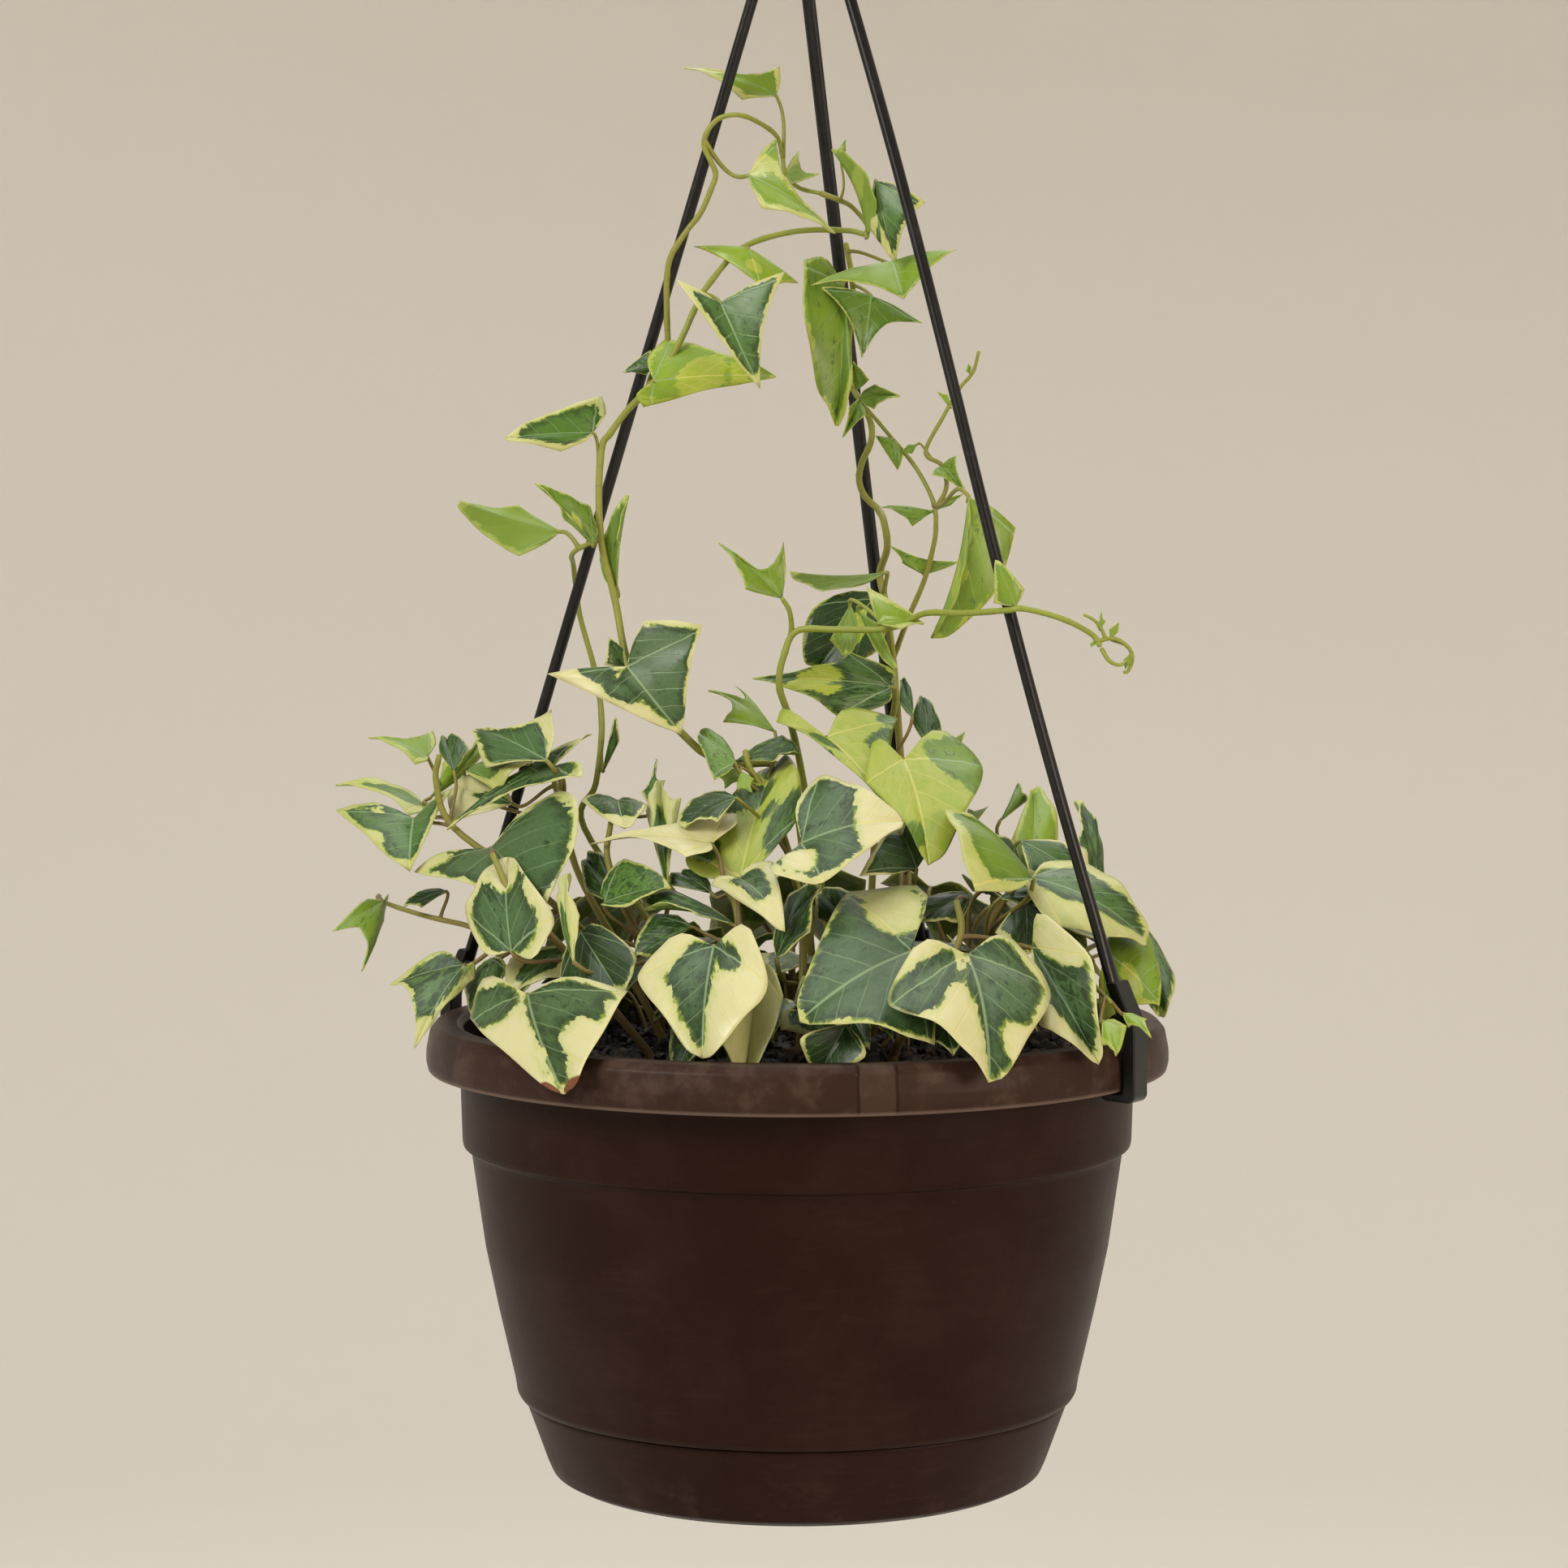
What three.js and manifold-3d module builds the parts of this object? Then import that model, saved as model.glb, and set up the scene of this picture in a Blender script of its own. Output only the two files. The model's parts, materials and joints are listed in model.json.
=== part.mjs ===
// Hanging plastic pot with a clip-on drip tray, three hanger strands and a variegated climbing plant.
// Millimetres. +Z is up, the drip tray's flat underside lies on Z = 0 and the pot's axis is the Z axis.

import * as THREE from 'three';
import { mergeVertices } from 'three/addons/utils/BufferGeometryUtils.js';
import Module from 'manifold-3d';

const wasm = await Module();
wasm.setup();

// Driving sizes
const GAP = 0.3;
const MESH_TOLERANCE = 0.005;
const TURN_STEPS = 28;
const RIM_RADIUS = 125;
const RIM_TOP = 152;
const TRAY_RIM_Z = 26.7;
const FLOOR_Z = 12.2;
const SOIL_CENTRE_Z = 144.5;
const SOIL_EDGE_Z = 138;
const STRAND_AZIMUTHS = { left: 161, middle: 68.5, right: -32 };
const STRAND_WIDTH = 4.7;
const STRAND_DEPTH = 3.8;
const STRAND_FOOT = { radius: 121, z: 168 };
const CLIP_WIDTH = 9.5;
const HUB_Z = 528;
const HUB_HEIGHT = 14;
const HUB_RADIUS = 12.5;
const SEAT_CLEARANCE = 0.5;
const HOOK_WIRE = 2.4;
const HOOK_BEND = 16.5;
const HOOK_CENTRE_Z = 573;
const BLADE = 0.7;
const ROOT_Z = 128;
const STEM_SIDES = 4;
const STEM_STEPS = 1;
const STALK_HALF = 0.65;
const BUD_STALK_HALF = 0.45;

// Everything on the plant was placed from the front: x and z are read at the pot's axis,
// and the depth y then slides the point along the line of sight.
const EYE_DISTANCE = 1290;
const EYE_HEIGHT = 307;

function seen([x, z, y]) {
  const k = (EYE_DISTANCE + y) / EYE_DISTANCE;
  return new THREE.Vector3(x * k, y, EYE_HEIGHT + (z - EYE_HEIGHT) * k);
}

function polar(radius, azimuth, z) {
  const a = THREE.MathUtils.degToRad(azimuth);
  return new THREE.Vector3(radius * Math.cos(a), radius * Math.sin(a), z);
}

// A closed geometry becomes a solid, turned inside out first if its faces point inwards.
function solid(geometry) {
  const bare = geometry.clone();
  bare.deleteAttribute('normal');
  bare.deleteAttribute('uv');
  const merged = mergeVertices(bare, 1e-4);
  const position = merged.attributes.position.array;
  const index = Array.from(merged.index.array);
  const triangles = [];
  let volume = 0;
  for (let i = 0; i < index.length; i += 3) {
    const [a, b, c] = [index[i], index[i + 1], index[i + 2]];
    if (a === b || b === c || c === a) continue;
    triangles.push(a, b, c);
    const [p, q, r] = [a, b, c].map((v) => new THREE.Vector3().fromArray(position, v * 3));
    volume += p.dot(q.cross(r));
  }
  if (volume < 0) triangles.reverse();
  const mesh = new wasm.Mesh({
    numProp: 3,
    vertProperties: new Float32Array(position),
    triVerts: new Uint32Array(triangles),
    tolerance: MESH_TOLERANCE,
  });
  return new wasm.Manifold(mesh);
}

function fused(geometries) {
  return geometries.map(solid).reduce((whole, piece) => whole.add(piece));
}

function geometryOf(body) {
  const mesh = body.getMesh();
  const geometry = new THREE.BufferGeometry();
  geometry.setAttribute('position', new THREE.BufferAttribute(mesh.vertProperties, mesh.numProp));
  geometry.setIndex(new THREE.BufferAttribute(mesh.triVerts, 1));
  return geometry;
}

function turned(profile) {
  const points = profile.map(([r, z]) => new THREE.Vector2(r, z));
  return new THREE.LatheGeometry(points, TURN_STEPS).rotateX(Math.PI / 2);
}

function tube(curve, radius, sides, steps) {
  const section = new THREE.Shape();
  for (let i = 0; i < sides; i += 1) {
    const a = (2 * Math.PI * i) / sides;
    const [u, v] = [radius * Math.cos(a), radius * Math.sin(a)];
    if (i === 0) section.moveTo(u, v);
    else section.lineTo(u, v);
  }
  return new THREE.ExtrudeGeometry(section, { steps, extrudePath: curve, bevelEnabled: false });
}

// Pot: foot ring, snap bead that carries the tray, shoulder, tapering wall, collar and rolled lip
const INNER_WALL = [[86.2, 25.6], [86.6, 28.4], [92.7, 33], [107.5, 106.5], [110.5, 112], [111.6, 135]];
const DRAIN_HOLES = { count: 4, radius: 4, ring: 35 };

function potProfile() {
  const foot = [[0, 10.4], [60, 10.4], [60.4, 2.3], [63, 2.3], [63.4, 10.4], [82.4, 10.4]];
  const bead = [[87.3, 21.5], [88.7, 23.2], [88.7, 23.8], [87.9, 24.6]];
  const body = [[87.9, 27], [93.2, 27], [94.6, 31.5], [100.7, 57.3], [104.9, 77], [109.4, 107]];
  const collar = [[110.3, 109], [112.5, 111.6], [113.5, 135.5], [114.2, 148.4]];
  const lip = [[120.9, 148.4], [121.9, 137], [124.3, 136.5], [RIM_RADIUS, 139.4], [RIM_RADIUS, 143],
    [123.8, 149.4], [121.6, RIM_TOP], [114.4, RIM_TOP], [112.4, 150.4]];
  const inside = [...INNER_WALL].reverse();
  return [...foot, ...bead, ...body, ...collar, ...lip, ...inside, [80.6, FLOOR_Z], [0, FLOOR_Z]];
}

function pot() {
  let body = solid(turned(potProfile()));
  for (let i = 0; i < DRAIN_HOLES.count; i += 1) {
    const place = polar(DRAIN_HOLES.ring, 45 + (360 * i) / DRAIN_HOLES.count, 11);
    const drill = new THREE.CylinderGeometry(DRAIN_HOLES.radius, DRAIN_HOLES.radius, 10, 12);
    drill.rotateX(Math.PI / 2).translate(place.x, place.y, place.z);
    body = body.subtract(solid(drill));
  }
  return body;
}

// Drip tray: flat foot, flared wall and an inward bead that snaps over the pot's bead
function tray() {
  const outside = [[0, 0], [78.5, 0], [82.4, 2], [84.2, 6], [91.4, 25.4], [91.2, TRAY_RIM_Z]];
  const inside = [[88.3, TRAY_RIM_Z], [88.3, 25], [89.3, 24.1], [82.4, 6], [80.2, 2], [0, 2]];
  return solid(turned([...outside, ...inside]));
}

// Potting soil fills the pot down to its floor, with a plain blind hole for each root.
function soil(roots) {
  const wall = [[80.2, FLOOR_Z + GAP], ...INNER_WALL.slice(0, -1).map(([r, z]) => [r - 1.4 * GAP, z])];
  const top = [[111.2, SOIL_EDGE_Z], [98, 141], [62, 143.6], [0, SOIL_CENTRE_Z]];
  let body = solid(turned([[0, FLOOR_Z + GAP], ...wall, ...top]));
  for (const root of roots) {
    const depth = 30;
    const radius = root.radius + PEG_EXTRA + 0.7;
    const drill = new THREE.CylinderGeometry(radius, radius, depth, 6);
    drill.rotateX(Math.PI / 2).translate(root.x, root.y, ROOT_Z - GAP + depth / 2);
    body = body.subtract(solid(drill));
  }
  return body;
}

// Hanger strand: an oval rod from the hub down to a clip that hooks under the rolled lip
const HUB_SEATS = { left: [-4.2, 1.6], middle: [-0.3, 4.8], right: [7, -3] };
const STRAND_BOW = { left: 0, middle: 0, right: 1.4 };
const CLIP_PROFILE = [[119.2, 171.5], [122.9, 172], [129.9, 157], [129.9, 134.9], [128.4, 133.2],
  [119, 133.6], [117.3, 135], [117.5, 136.2], [125.5, 136.2], [125.5, 155.5]];

function ovalShape(width, depth) {
  const shape = new THREE.Shape();
  const sides = 8;
  for (let i = 0; i < sides; i += 1) {
    const a = (2 * Math.PI * i) / sides;
    const [u, v] = [(width / 2) * Math.cos(a), (depth / 2) * Math.sin(a)];
    if (i === 0) shape.moveTo(u, v);
    else shape.lineTo(u, v);
  }
  return shape;
}

function strandEnds(name) {
  const [x, y] = HUB_SEATS[name];
  const top = new THREE.Vector3(x, y, HUB_Z + 5.7);
  const foot = polar(STRAND_FOOT.radius, STRAND_AZIMUTHS[name], STRAND_FOOT.z);
  return { top, foot };
}

function strandRod(name) {
  const { top, foot } = strandEnds(name);
  const run = new THREE.Vector3().subVectors(top, foot);
  const length = run.length();
  const along = run.normalize();
  const across = polar(1, STRAND_AZIMUTHS[name] + 90, 0);
  const outward = new THREE.Vector3().crossVectors(along, across).normalize();
  const side = new THREE.Vector3().crossVectors(outward, along).normalize();
  const rod = new THREE.ExtrudeGeometry(ovalShape(STRAND_WIDTH, STRAND_DEPTH), {
    depth: length,
    steps: 6,
    bevelEnabled: false,
  });
  const place = new THREE.Matrix4().makeBasis(side, outward, along).setPosition(foot);
  rod.applyMatrix4(place);
  const at = rod.attributes.position;
  for (let i = 0; i < at.count; i += 1) {
    const t = (at.getZ(i) - foot.z) / (top.z - foot.z);
    const bow = STRAND_BOW[name] * Math.sin(2 * Math.PI * THREE.MathUtils.clamp(t, 0, 1));
    at.setX(i, at.getX(i) - bow);
  }
  return rod;
}

function clip(azimuth) {
  const shape = new THREE.Shape(CLIP_PROFILE.map(([r, z]) => new THREE.Vector2(r, z)));
  const leg = new THREE.ExtrudeGeometry(shape, { depth: CLIP_WIDTH, bevelEnabled: false });
  leg.translate(0, 0, -CLIP_WIDTH / 2);
  const outward = polar(1, azimuth, 0);
  const up = new THREE.Vector3(0, 0, 1);
  const across = new THREE.Vector3().crossVectors(outward, up);
  return leg.applyMatrix4(new THREE.Matrix4().makeBasis(outward, up, across));
}

function strand(name) {
  return fused([strandRod(name), clip(STRAND_AZIMUTHS[name])]);
}

// Hook: a round wire hook that rises from the cone-shaped hub in which the strands end
function hook() {
  const hub = turned([[0, HUB_Z], [HUB_RADIUS - 0.8, HUB_Z], [HUB_RADIUS, HUB_Z + 1.2],
    [8.5, HUB_Z + HUB_HEIGHT - 1.5], [6.5, HUB_Z + HUB_HEIGHT], [0, HUB_Z + HUB_HEIGHT]]);
  const shank = [HUB_Z + HUB_HEIGHT - 3, HUB_Z + HUB_HEIGHT + 5];
  const path = shank.map((z) => new THREE.Vector3(0, 0, z));
  const [first, last] = [-55, 205];
  const bends = 12;
  for (let i = 0; i <= bends; i += 1) {
    const a = THREE.MathUtils.degToRad(first + ((last - first) * i) / bends);
    path.push(new THREE.Vector3(HOOK_BEND * Math.cos(a), 0, HOOK_CENTRE_Z + HOOK_BEND * Math.sin(a)));
  }
  const wire = tube(new THREE.CatmullRomCurve3(path, false, 'catmullrom', 0.5), HOOK_WIRE, 8, 20);
  let body = fused([hub, wire]);
  for (const name of Object.keys(STRAND_AZIMUTHS)) {
    const { top, foot } = strandEnds(name);
    const along = new THREE.Vector3().subVectors(top, foot).normalize();
    const radius = STRAND_WIDTH / 2 + SEAT_CLEARANCE;
    const seat = new THREE.CylinderGeometry(radius, radius, 20, 8);
    seat.applyQuaternion(new THREE.Quaternion().setFromUnitVectors(new THREE.Vector3(0, 1, 0), along));
    const middle = top.clone().addScaledVector(along, GAP - 10);
    seat.translate(middle.x, middle.y, middle.z);
    body = body.subtract(solid(seat));
  }
  return body;
}

// Stems of each leafy shoot: radius, then points as seen from the front with their depth.
// A stem whose first point lies below the soil's surface stands in a hole of its own.
const STEMS = {
  outer_left: [
    [1.3, [-45.5, 131.5, -12], [-58, 167, -8], [-88.5, 196, 0], [-116, 216.5, 10], [-122, 231.5, 12],
      [-121, 241, 10]],
    [1, [-80, 189, -4], [-99.5, 181, 4], [-114, 184, 14], [-127, 187, 22], [-139, 191, 28],
      [-141.5, 193, 28]],
  ],
  upper_left: [
    [1.3, [-33.5, 131.5, 14], [-55.5, 170, 22], [-73.5, 200, 26], [-80, 224.5, 24], [-83, 235.5, 22]],
  ],
  front_left: [
    [1.4, [-50, 130.5, -54], [-63, 156, -50], [-80, 176.5, -44], [-95, 191.5, -36], [-103, 207.5, -26]],
  ],
  mid_left: [
    [1.3, [-28, 131.5, -30], [-41.5, 161.5, -38], [-57, 186.5, -36], [-64, 205.5, -24], [-63, 218, -14]],
  ],
  centre_front: [
    [1.4, [-14.5, 130.5, -62], [-15.5, 153.5, -74], [-19, 172.5, -66], [-20.5, 189, -56],
      [-24.5, 197, -50]],
  ],
  centre_top: [
    [1.4, [1, 131.5, -30], [2, 161.5, -42], [1, 191.5, -30], [-7.5, 222, -8], [-15.5, 235.5, -6],
      [-17.5, 242.5, -4]],
  ],
  right_centre: [
    [1.4, [25.5, 131.5, -6], [29.5, 164.5, -8], [35.5, 191.5, -4], [35, 216.5, 8], [29.5, 235.5, 22],
      [21.5, 248, 26]],
  ],
  right_front: [
    [1.4, [32.5, 130.5, -58], [38, 150.5, -70], [50, 167, -72], [55.5, 181, -62], [54, 191.5, -50]],
  ],
  right_outer: [
    [1.3, [46, 131.5, -16], [60, 163, -26], [66.5, 186.5, -24], [77, 200, -14], [84.5, 205.5, -8]],
    [1, [66.5, 186.5, -24], [87.5, 176.5, -36], [98, 165.5, -60], [106, 157.5, -79]],
  ],
  vine_left: [
    [1.3, [7.5, 131.5, 4], [5, 172.5, 8], [1, 216.5, 18], [-4.5, 236.5, 16], [-21, 238, 6],
      [-31, 241.5, 0], [-39, 248.5, -2], [-50, 260, 2], [-57.5, 273.5, 6], [-61.5, 293.5, 12],
      [-66, 312, 12], [-67, 329, 14], [-66, 345, 16], [-63, 350, 15], [-57, 358, 12], [-47, 368, 6],
      [-39.5, 381, 4], [-34.5, 392, 6], [-30, 400, 10], [-18.5, 412.5, 16], [-1.5, 418, 18],
      [16, 418.5, 20], [23.5, 417, 18]],
    [1.1, [-21, 131, 24], [-44.5, 178, 34], [-72, 216.5, 38], [-68, 231.5, 36], [-66, 252, 38],
      [-68.5, 270, 44], [-73.5, 288.5, 46], [-75.5, 304.5, 42], [-76, 309, 25], [-71.5, 312, 14],
      [-66, 314, 12]],
    [1, [-51, 361.5, 8], [-49, 369.5, 12], [-44, 375.5, 11], [-44, 389.5, 10], [-44, 402, 9],
      [-42.5, 410, 8], [-37.5, 418, 7], [-32.5, 424.5, 6], [-29, 432.5, 5], [-27.5, 437.5, 5],
      [-29.5, 442.5, 4], [-31.5, 447.5, 4], [-30, 452.5, 3], [-26, 456.5, 3], [-19.5, 457.5, 1],
      [-13, 455, 6], [-7, 450.5, 12], [-5, 444, 16], [-4, 438, 16], [0.5, 433, 16], [8, 431, 12]],
    [0.9, [8, 431, 12], [13.5, 429, 12], [18.5, 426.5, 20], [23.5, 420.5, 20], [23.5, 417, 18]],
  ],
  vine_middle: [
    [1.3, [36.5, 131.5, 40], [38, 181, 52], [35.5, 233, 58], [32.5, 271.5, 54], [30, 292, 58],
      [28, 302, 62], [30.5, 311, 52], [29.5, 319.5, 50], [27.5, 324, 57], [23, 328.5, 58], [21, 334, 57],
      [22, 340, 54], [25, 347, 50], [25, 353, 50], [22, 360, 44], [18, 367.5, 46], [17.5, 381, 36],
      [19, 392, 38], [18.5, 403, 36], [16.5, 414, 34]],
    [0.9, [32.5, 273.5, 54], [37.5, 287, 46], [43, 300, 40], [46, 311, 36], [47, 318.5, 34],
      [46, 327, 34], [40, 338.5, 38], [31, 349.5, 42], [23, 359, 44]],
    [0.8, [46.5, 323.5, 34], [50.5, 331.5, 34], [49, 339, 32], [43.5, 343.5, 32], [49.5, 355.5, 30],
      [55, 365, 28], [59.5, 370.5, 26], [61.5, 377.5, 24]],
  ],
  right_runner: [
    [1.2, [13, 131.5, 30], [10.5, 181, 38], [2, 233, 34], [-2.5, 253, 16], [-6, 264.5, 9],
      [-4.5, 274.5, 8], [0, 283, 8], [13, 283.5, 4], [27, 283.5, 0], [35, 285, -6], [43.5, 289, -14],
      [57, 289, -36], [71, 290, -53], [77, 290.5, -55], [90, 287, -52], [99.5, 282, -46],
      [102.5, 278, -46]],
    [1, [-4.5, 275, 8], [-2, 282.5, 9], [-2.5, 289.5, 6], [-5, 294, 4]],
    [0.7, [101.5, 279.5, -46], [107, 280.5, -46], [112, 277.5, -44], [113.5, 273.5, -44],
      [112, 269.5, -46], [110.5, 269, -46]],
    [0.7, [103, 277, -46], [105.5, 273, -48], [109, 271.5, -48], [111.5, 273, -46]],
    [0.6, [104.5, 280, -46], [102.5, 284.5, -47], [100, 287, -48], [97, 288.5, -48]],
  ],
  centre_back: [
    [1.3, [21.5, 131.5, 24], [24, 172.5, 36], [27, 222, 48], [31.5, 249.5, 46], [33.5, 263, 40],
      [31.5, 282.5, 46], [29.5, 296, 46]],
  ],
};

// Leaves of each shoot: notch, right lobe, tip and left lobe as seen from the front with their
// depth, clockwise round the upper face, the reach of the two ears, the swell of the two sides,
// the arch along and across, the stem that bears the leaf and the share of its length at which it
// does so and, for a stalk that takes a roundabout way, a point that pulls it there.
const LEAVES = {
  outer_left: [
    [[[-125, 240.5, 47], [-129, 238, 42], [-145, 247, 55], [-123, 249, 60]],
      [0.1, 0.1], [1.1, 0.55], [0.1, 0.06], [0, 0.87]],
    [[[-116, 235.5, 26], [-121, 242, 35], [-118.5, 246.5, 42], [-111, 243.5, 34]],
      [0.1, 0.1], [1.2, 1.2], [0.06, 0.05], [0, 0.81]],
    [[[-124, 226.5, 32], [-119.5, 238.5, 41], [-108.5, 246, 52], [-112, 236, 49]],
      [0, 0], [1.1, 1.1], [0.1, 0.1], [0, 0.84]],
    [[[-126, 224, 31], [-131, 221, 22], [-156, 231, 39], [-133, 229.5, 43]],
      [0.12, 0.05], [1, 1], [0.08, 0.05], [0, 0.81]],
    [[[-129.5, 219.5, 16], [-116.5, 230, 26], [-131, 202, -7], [-156, 222, 21]],
      [0, 0.2], [1.15, 1.15], [0.06, 0.05], [0, 0.79]],
    [[[-140, 191.5, 12], [-139.5, 186.5, 14], [-147, 168, -14], [-157, 181.5, -5]],
      [0.2, 0.2], [1, 0.75], [0.06, 0.05], [1, 1]],
    [[[-118.5, 195, 22], [-127, 189.5, 16], [-133, 190, 16], [-126, 195.5, 22]],
      [0.1, 0.1], [1.1, 1.1], [0.06, 0.05], [1, 0.66]],
  ],
  upper_left: [
    [[[-84.5, 239, -1], [-105.5, 237, 14], [-108.5, 250, 33], [-83, 256.5, 23]],
      [0.05, 0.1], [1.05, 0.75], [0.05, 0.05], [0, 0.88]],
    [[[-112.5, 235.5, 34], [-101.5, 238, 33], [-89, 237.5, 19], [-101, 228, 10]],
      [0.1, 0.1], [1.1, 1.2], [0.1, 0.1], [0, 0.83], [-94, 221, 0]],
    [[[-83, 237, 10], [-72.5, 233.5, -6], [-118.5, 216, 7], [-69.5, 248.5, 24]],
      [0.12, 0.12], [0.9, 1], [0.05, 0.05], [0, 0.83]],
    [[[-96, 224.5, 16], [-116.5, 218.5, 21], [-115.5, 230, 34], [-103, 234, 32]],
      [0.1, 0.1], [1.1, 1.1], [0.06, 0.05], [0, 0.95]],
  ],
  front_left: [
    [[[-103.5, 209.5, -1], [-81, 229.5, 4], [-85, 190.5, -40], [-129.5, 201.5, -2]],
      [0, 0.1], [1.5, 1.2], [0.07, 0.05], [0, 1]],
    [[[-96.5, 174.5, -54], [-113, 186.5, -30], [-97.5, 206.5, -19], [-80.5, 185, -54]],
      [0.24, 0.24], [1.05, 1.08], [0.06, 0.05], [0, 0.43]],
    [[[-112.5, 170, -36], [-109, 165, -38], [-129.5, 142, -69], [-138, 163.5, -43]],
      [0.1, 0.25], [1.1, 0.9], [0.08, 0.05], [0, 0.66]],
    [[[-103.5, 172, -27], [-97, 169, -35], [-107, 148, -50], [-112.5, 163, -32]],
      [0.1, 0.1], [1.1, 1.1], [0.06, 0.05], [0, 0.6]],
    [[[-91, 160, -68], [-57.5, 161.5, -87], [-79, 126.5, -113], [-110.5, 152, -58]],
      [0.12, 0.3], [1.22, 1.18], [0.08, 0.05], [0, 0.24]],
    [[[-79, 176, -42], [-80, 166, -53], [-96, 160.5, -47], [-97, 172, -33]],
      [0.1, 0.1], [1.1, 1.1], [0.06, 0.05], [0, 0.33]],
  ],
  mid_left: [
    [[[-73, 181, -48], [-55, 175.5, -63], [-60, 160.5, -77], [-81, 162.5, -63]],
      [0.25, 0.1], [1.25, 1.1], [0.06, 0.05], [0, 0.43]],
    [[[-75.5, 171, -72], [-79, 186.5, -50], [-76.5, 200.5, -39], [-73, 186.5, -60]],
      [0, 0], [1.1, 1.1], [0.06, 0.05], [0, 0.37]],
    [[[-60.5, 225.5, -5], [-50, 224, -11], [-58.5, 216.5, -25], [-74, 226, 3]],
      [0.25, 0.25], [1.25, 1.3], [0.06, 0.05], [0, 0.97]],
    [[[-65, 191, -45], [-59.5, 206, -28], [-42.5, 196, -50], [-56.5, 189.5, -55]],
      [0.2, 0.25], [1.1, 1.15], [0.06, 0.05], [0, 0.46]],
    [[[-44, 196.5, -39], [-51, 222, -8], [-45.5, 232, 8], [-39, 226, -8]],
      [0, 0], [1, 0.9], [0.05, 0.05], [0, 0.4]],
    [[[-48.5, 224.5, 4], [-52.5, 228.5, 10], [-47.5, 240, 20], [-44.5, 232.5, 11]],
      [0.1, 0.1], [0.7, 0.7], [0.05, 0.05], [0, 1]],
    [[[-60, 191, -30], [-71.5, 195, -19], [-71, 206, -8], [-63, 206, -12]],
      [0.1, 0.1], [1.1, 1.1], [0.06, 0.05], [0, 0.45]],
  ],
  centre_front: [
    [[[-29, 211, -39], [-37.5, 206, -51], [-70, 211, -22], [-20.5, 221.5, -22]],
      [0.1, 0.1], [0.9, 0.75], [0.07, 0.05], [0, 1]],
    [[[-19.5, 199, -59], [-8, 205, -47], [-4, 181.5, -83], [-30.5, 197, -56]],
      [0.1, 0.1], [1.05, 1.35], [0.12, 0.1], [0, 0.73]],
    [[[-28, 176.5, -82], [-8, 164, -98], [-32, 138.5, -108], [-55.5, 166.5, -83]],
      [0.34, 0.22], [1.2, 1.1], [0.08, 0.05], [0, 0.36]],
    [[[-13.5, 171, -78], [-4.5, 159.5, -91], [-17.5, 131.5, -97], [-29.5, 150, -98]],
      [0.1, 0.1], [1.2, 1.1], [0.05, 0.05], [0, 0.26]],
    [[[-29, 194.5, -39], [-44.5, 197, -32], [-39.5, 201, -29], [-31.5, 201.5, -31]],
      [0.1, 0.1], [1.1, 1.1], [0.06, 0.05], [0, 0.93]],
    [[[-21, 183.5, -64], [-34, 186.5, -62], [-51.5, 188.5, -50], [-40, 193.5, -42]],
      [0, 0], [1.1, 1.1], [0.08, 0.05], [0, 0.48]],
    [[[-35.5, 183, -55], [-50, 172, -62], [-54.5, 172.5, -60], [-48.5, 187.5, -46]],
      [0.1, 0.1], [1.1, 1.1], [0.06, 0.05], [0, 0.58]],
  ],
  centre_top: [
    [[[-19, 199.5, -42], [-40, 205, -31], [-7, 238, 7], [1, 218, -23]],
      [0.1, 0.1], [1.05, 1.25], [0.06, 0.05], [0, 0.35]],
    [[[1.5, 211, -56], [6, 234.5, -26], [36, 218.5, -46], [7, 196, -76]],
      [0.12, 0.38], [1.05, 1.2], [0.08, 0.05], [0, 0.38]],
    [[[-20.5, 226.5, -28], [-27, 218.5, -40], [-38, 216.5, -35], [-31.5, 228, -18]],
      [0.1, 0.1], [1.05, 1.25], [0.06, 0.05], [0, 0.62]],
    [[[-21, 238.5, -14], [-28, 232.5, -22], [-33, 248.5, -1], [-24.5, 246, -2]],
      [0.1, 0.1], [1.2, 1.15], [0.06, 0.05], [0, 0.8]],
    [[[-21, 236.5, -8], [-28, 234.5, -9], [-24.5, 229.5, -15], [-18.5, 232.5, -13]],
      [0.1, 0.1], [0.8, 0.8], [0.05, 0.05], [0, 0.92]],
    [[[-20.5, 239, -2], [-6, 247.5, 9], [1, 241.5, -2], [-8, 238.5, -8]],
      [0, 0], [1.05, 1.05], [0.06, 0.05], [0, 0.83]],
    [[[-7.5, 249, 11], [-25, 252.5, 13], [-30, 263, 30], [-21, 264.5, 34]],
      [0, 0], [0.8, 0.6], [0.08, 0.05], [0, 0.86]],
    [[[-19, 235.5, -13], [-20.5, 229.5, -20], [-15, 228, -22], [-14.5, 233, -17]],
      [0.1, 0.1], [0.8, 0.8], [0.05, 0.05], [0, 0.91]],
    [[[-7, 172, -77], [-4.5, 189.5, -52], [8, 196.5, -50], [4.5, 181, -72]],
      [0.1, 0.1], [1.05, 1.1], [0.06, 0.05], [0, 0.19]],
    [[[17.5, 183, -54], [6, 185.5, -52], [7.5, 194.5, -43], [18.5, 194.5, -42]],
      [0.1, 0.1], [1.1, 1.1], [0.06, 0.05], [0, 0.21]],
  ],
  right_centre: [
    [[[10, 247, -1], [34, 253, 10], [32, 221, -30], [-7, 252.5, 5]],
      [0.25, 0.25], [0.95, 0.9], [0.07, 0.05], [0, 0.75]],
    [[[36, 239.5, -14], [64, 238, -4], [44.5, 204, -50], [21.5, 231.5, -25]],
      [0.3, 0.3], [1.15, 1.05], [0.07, 0.05], [0, 0.61]],
    [[[41.5, 239, 9], [60.5, 238.5, 16], [54.5, 232.5, 7], [57, 249, 26]],
      [0, 0.1], [1, 1], [0.06, 0.05], [0, 0.71]],
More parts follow.
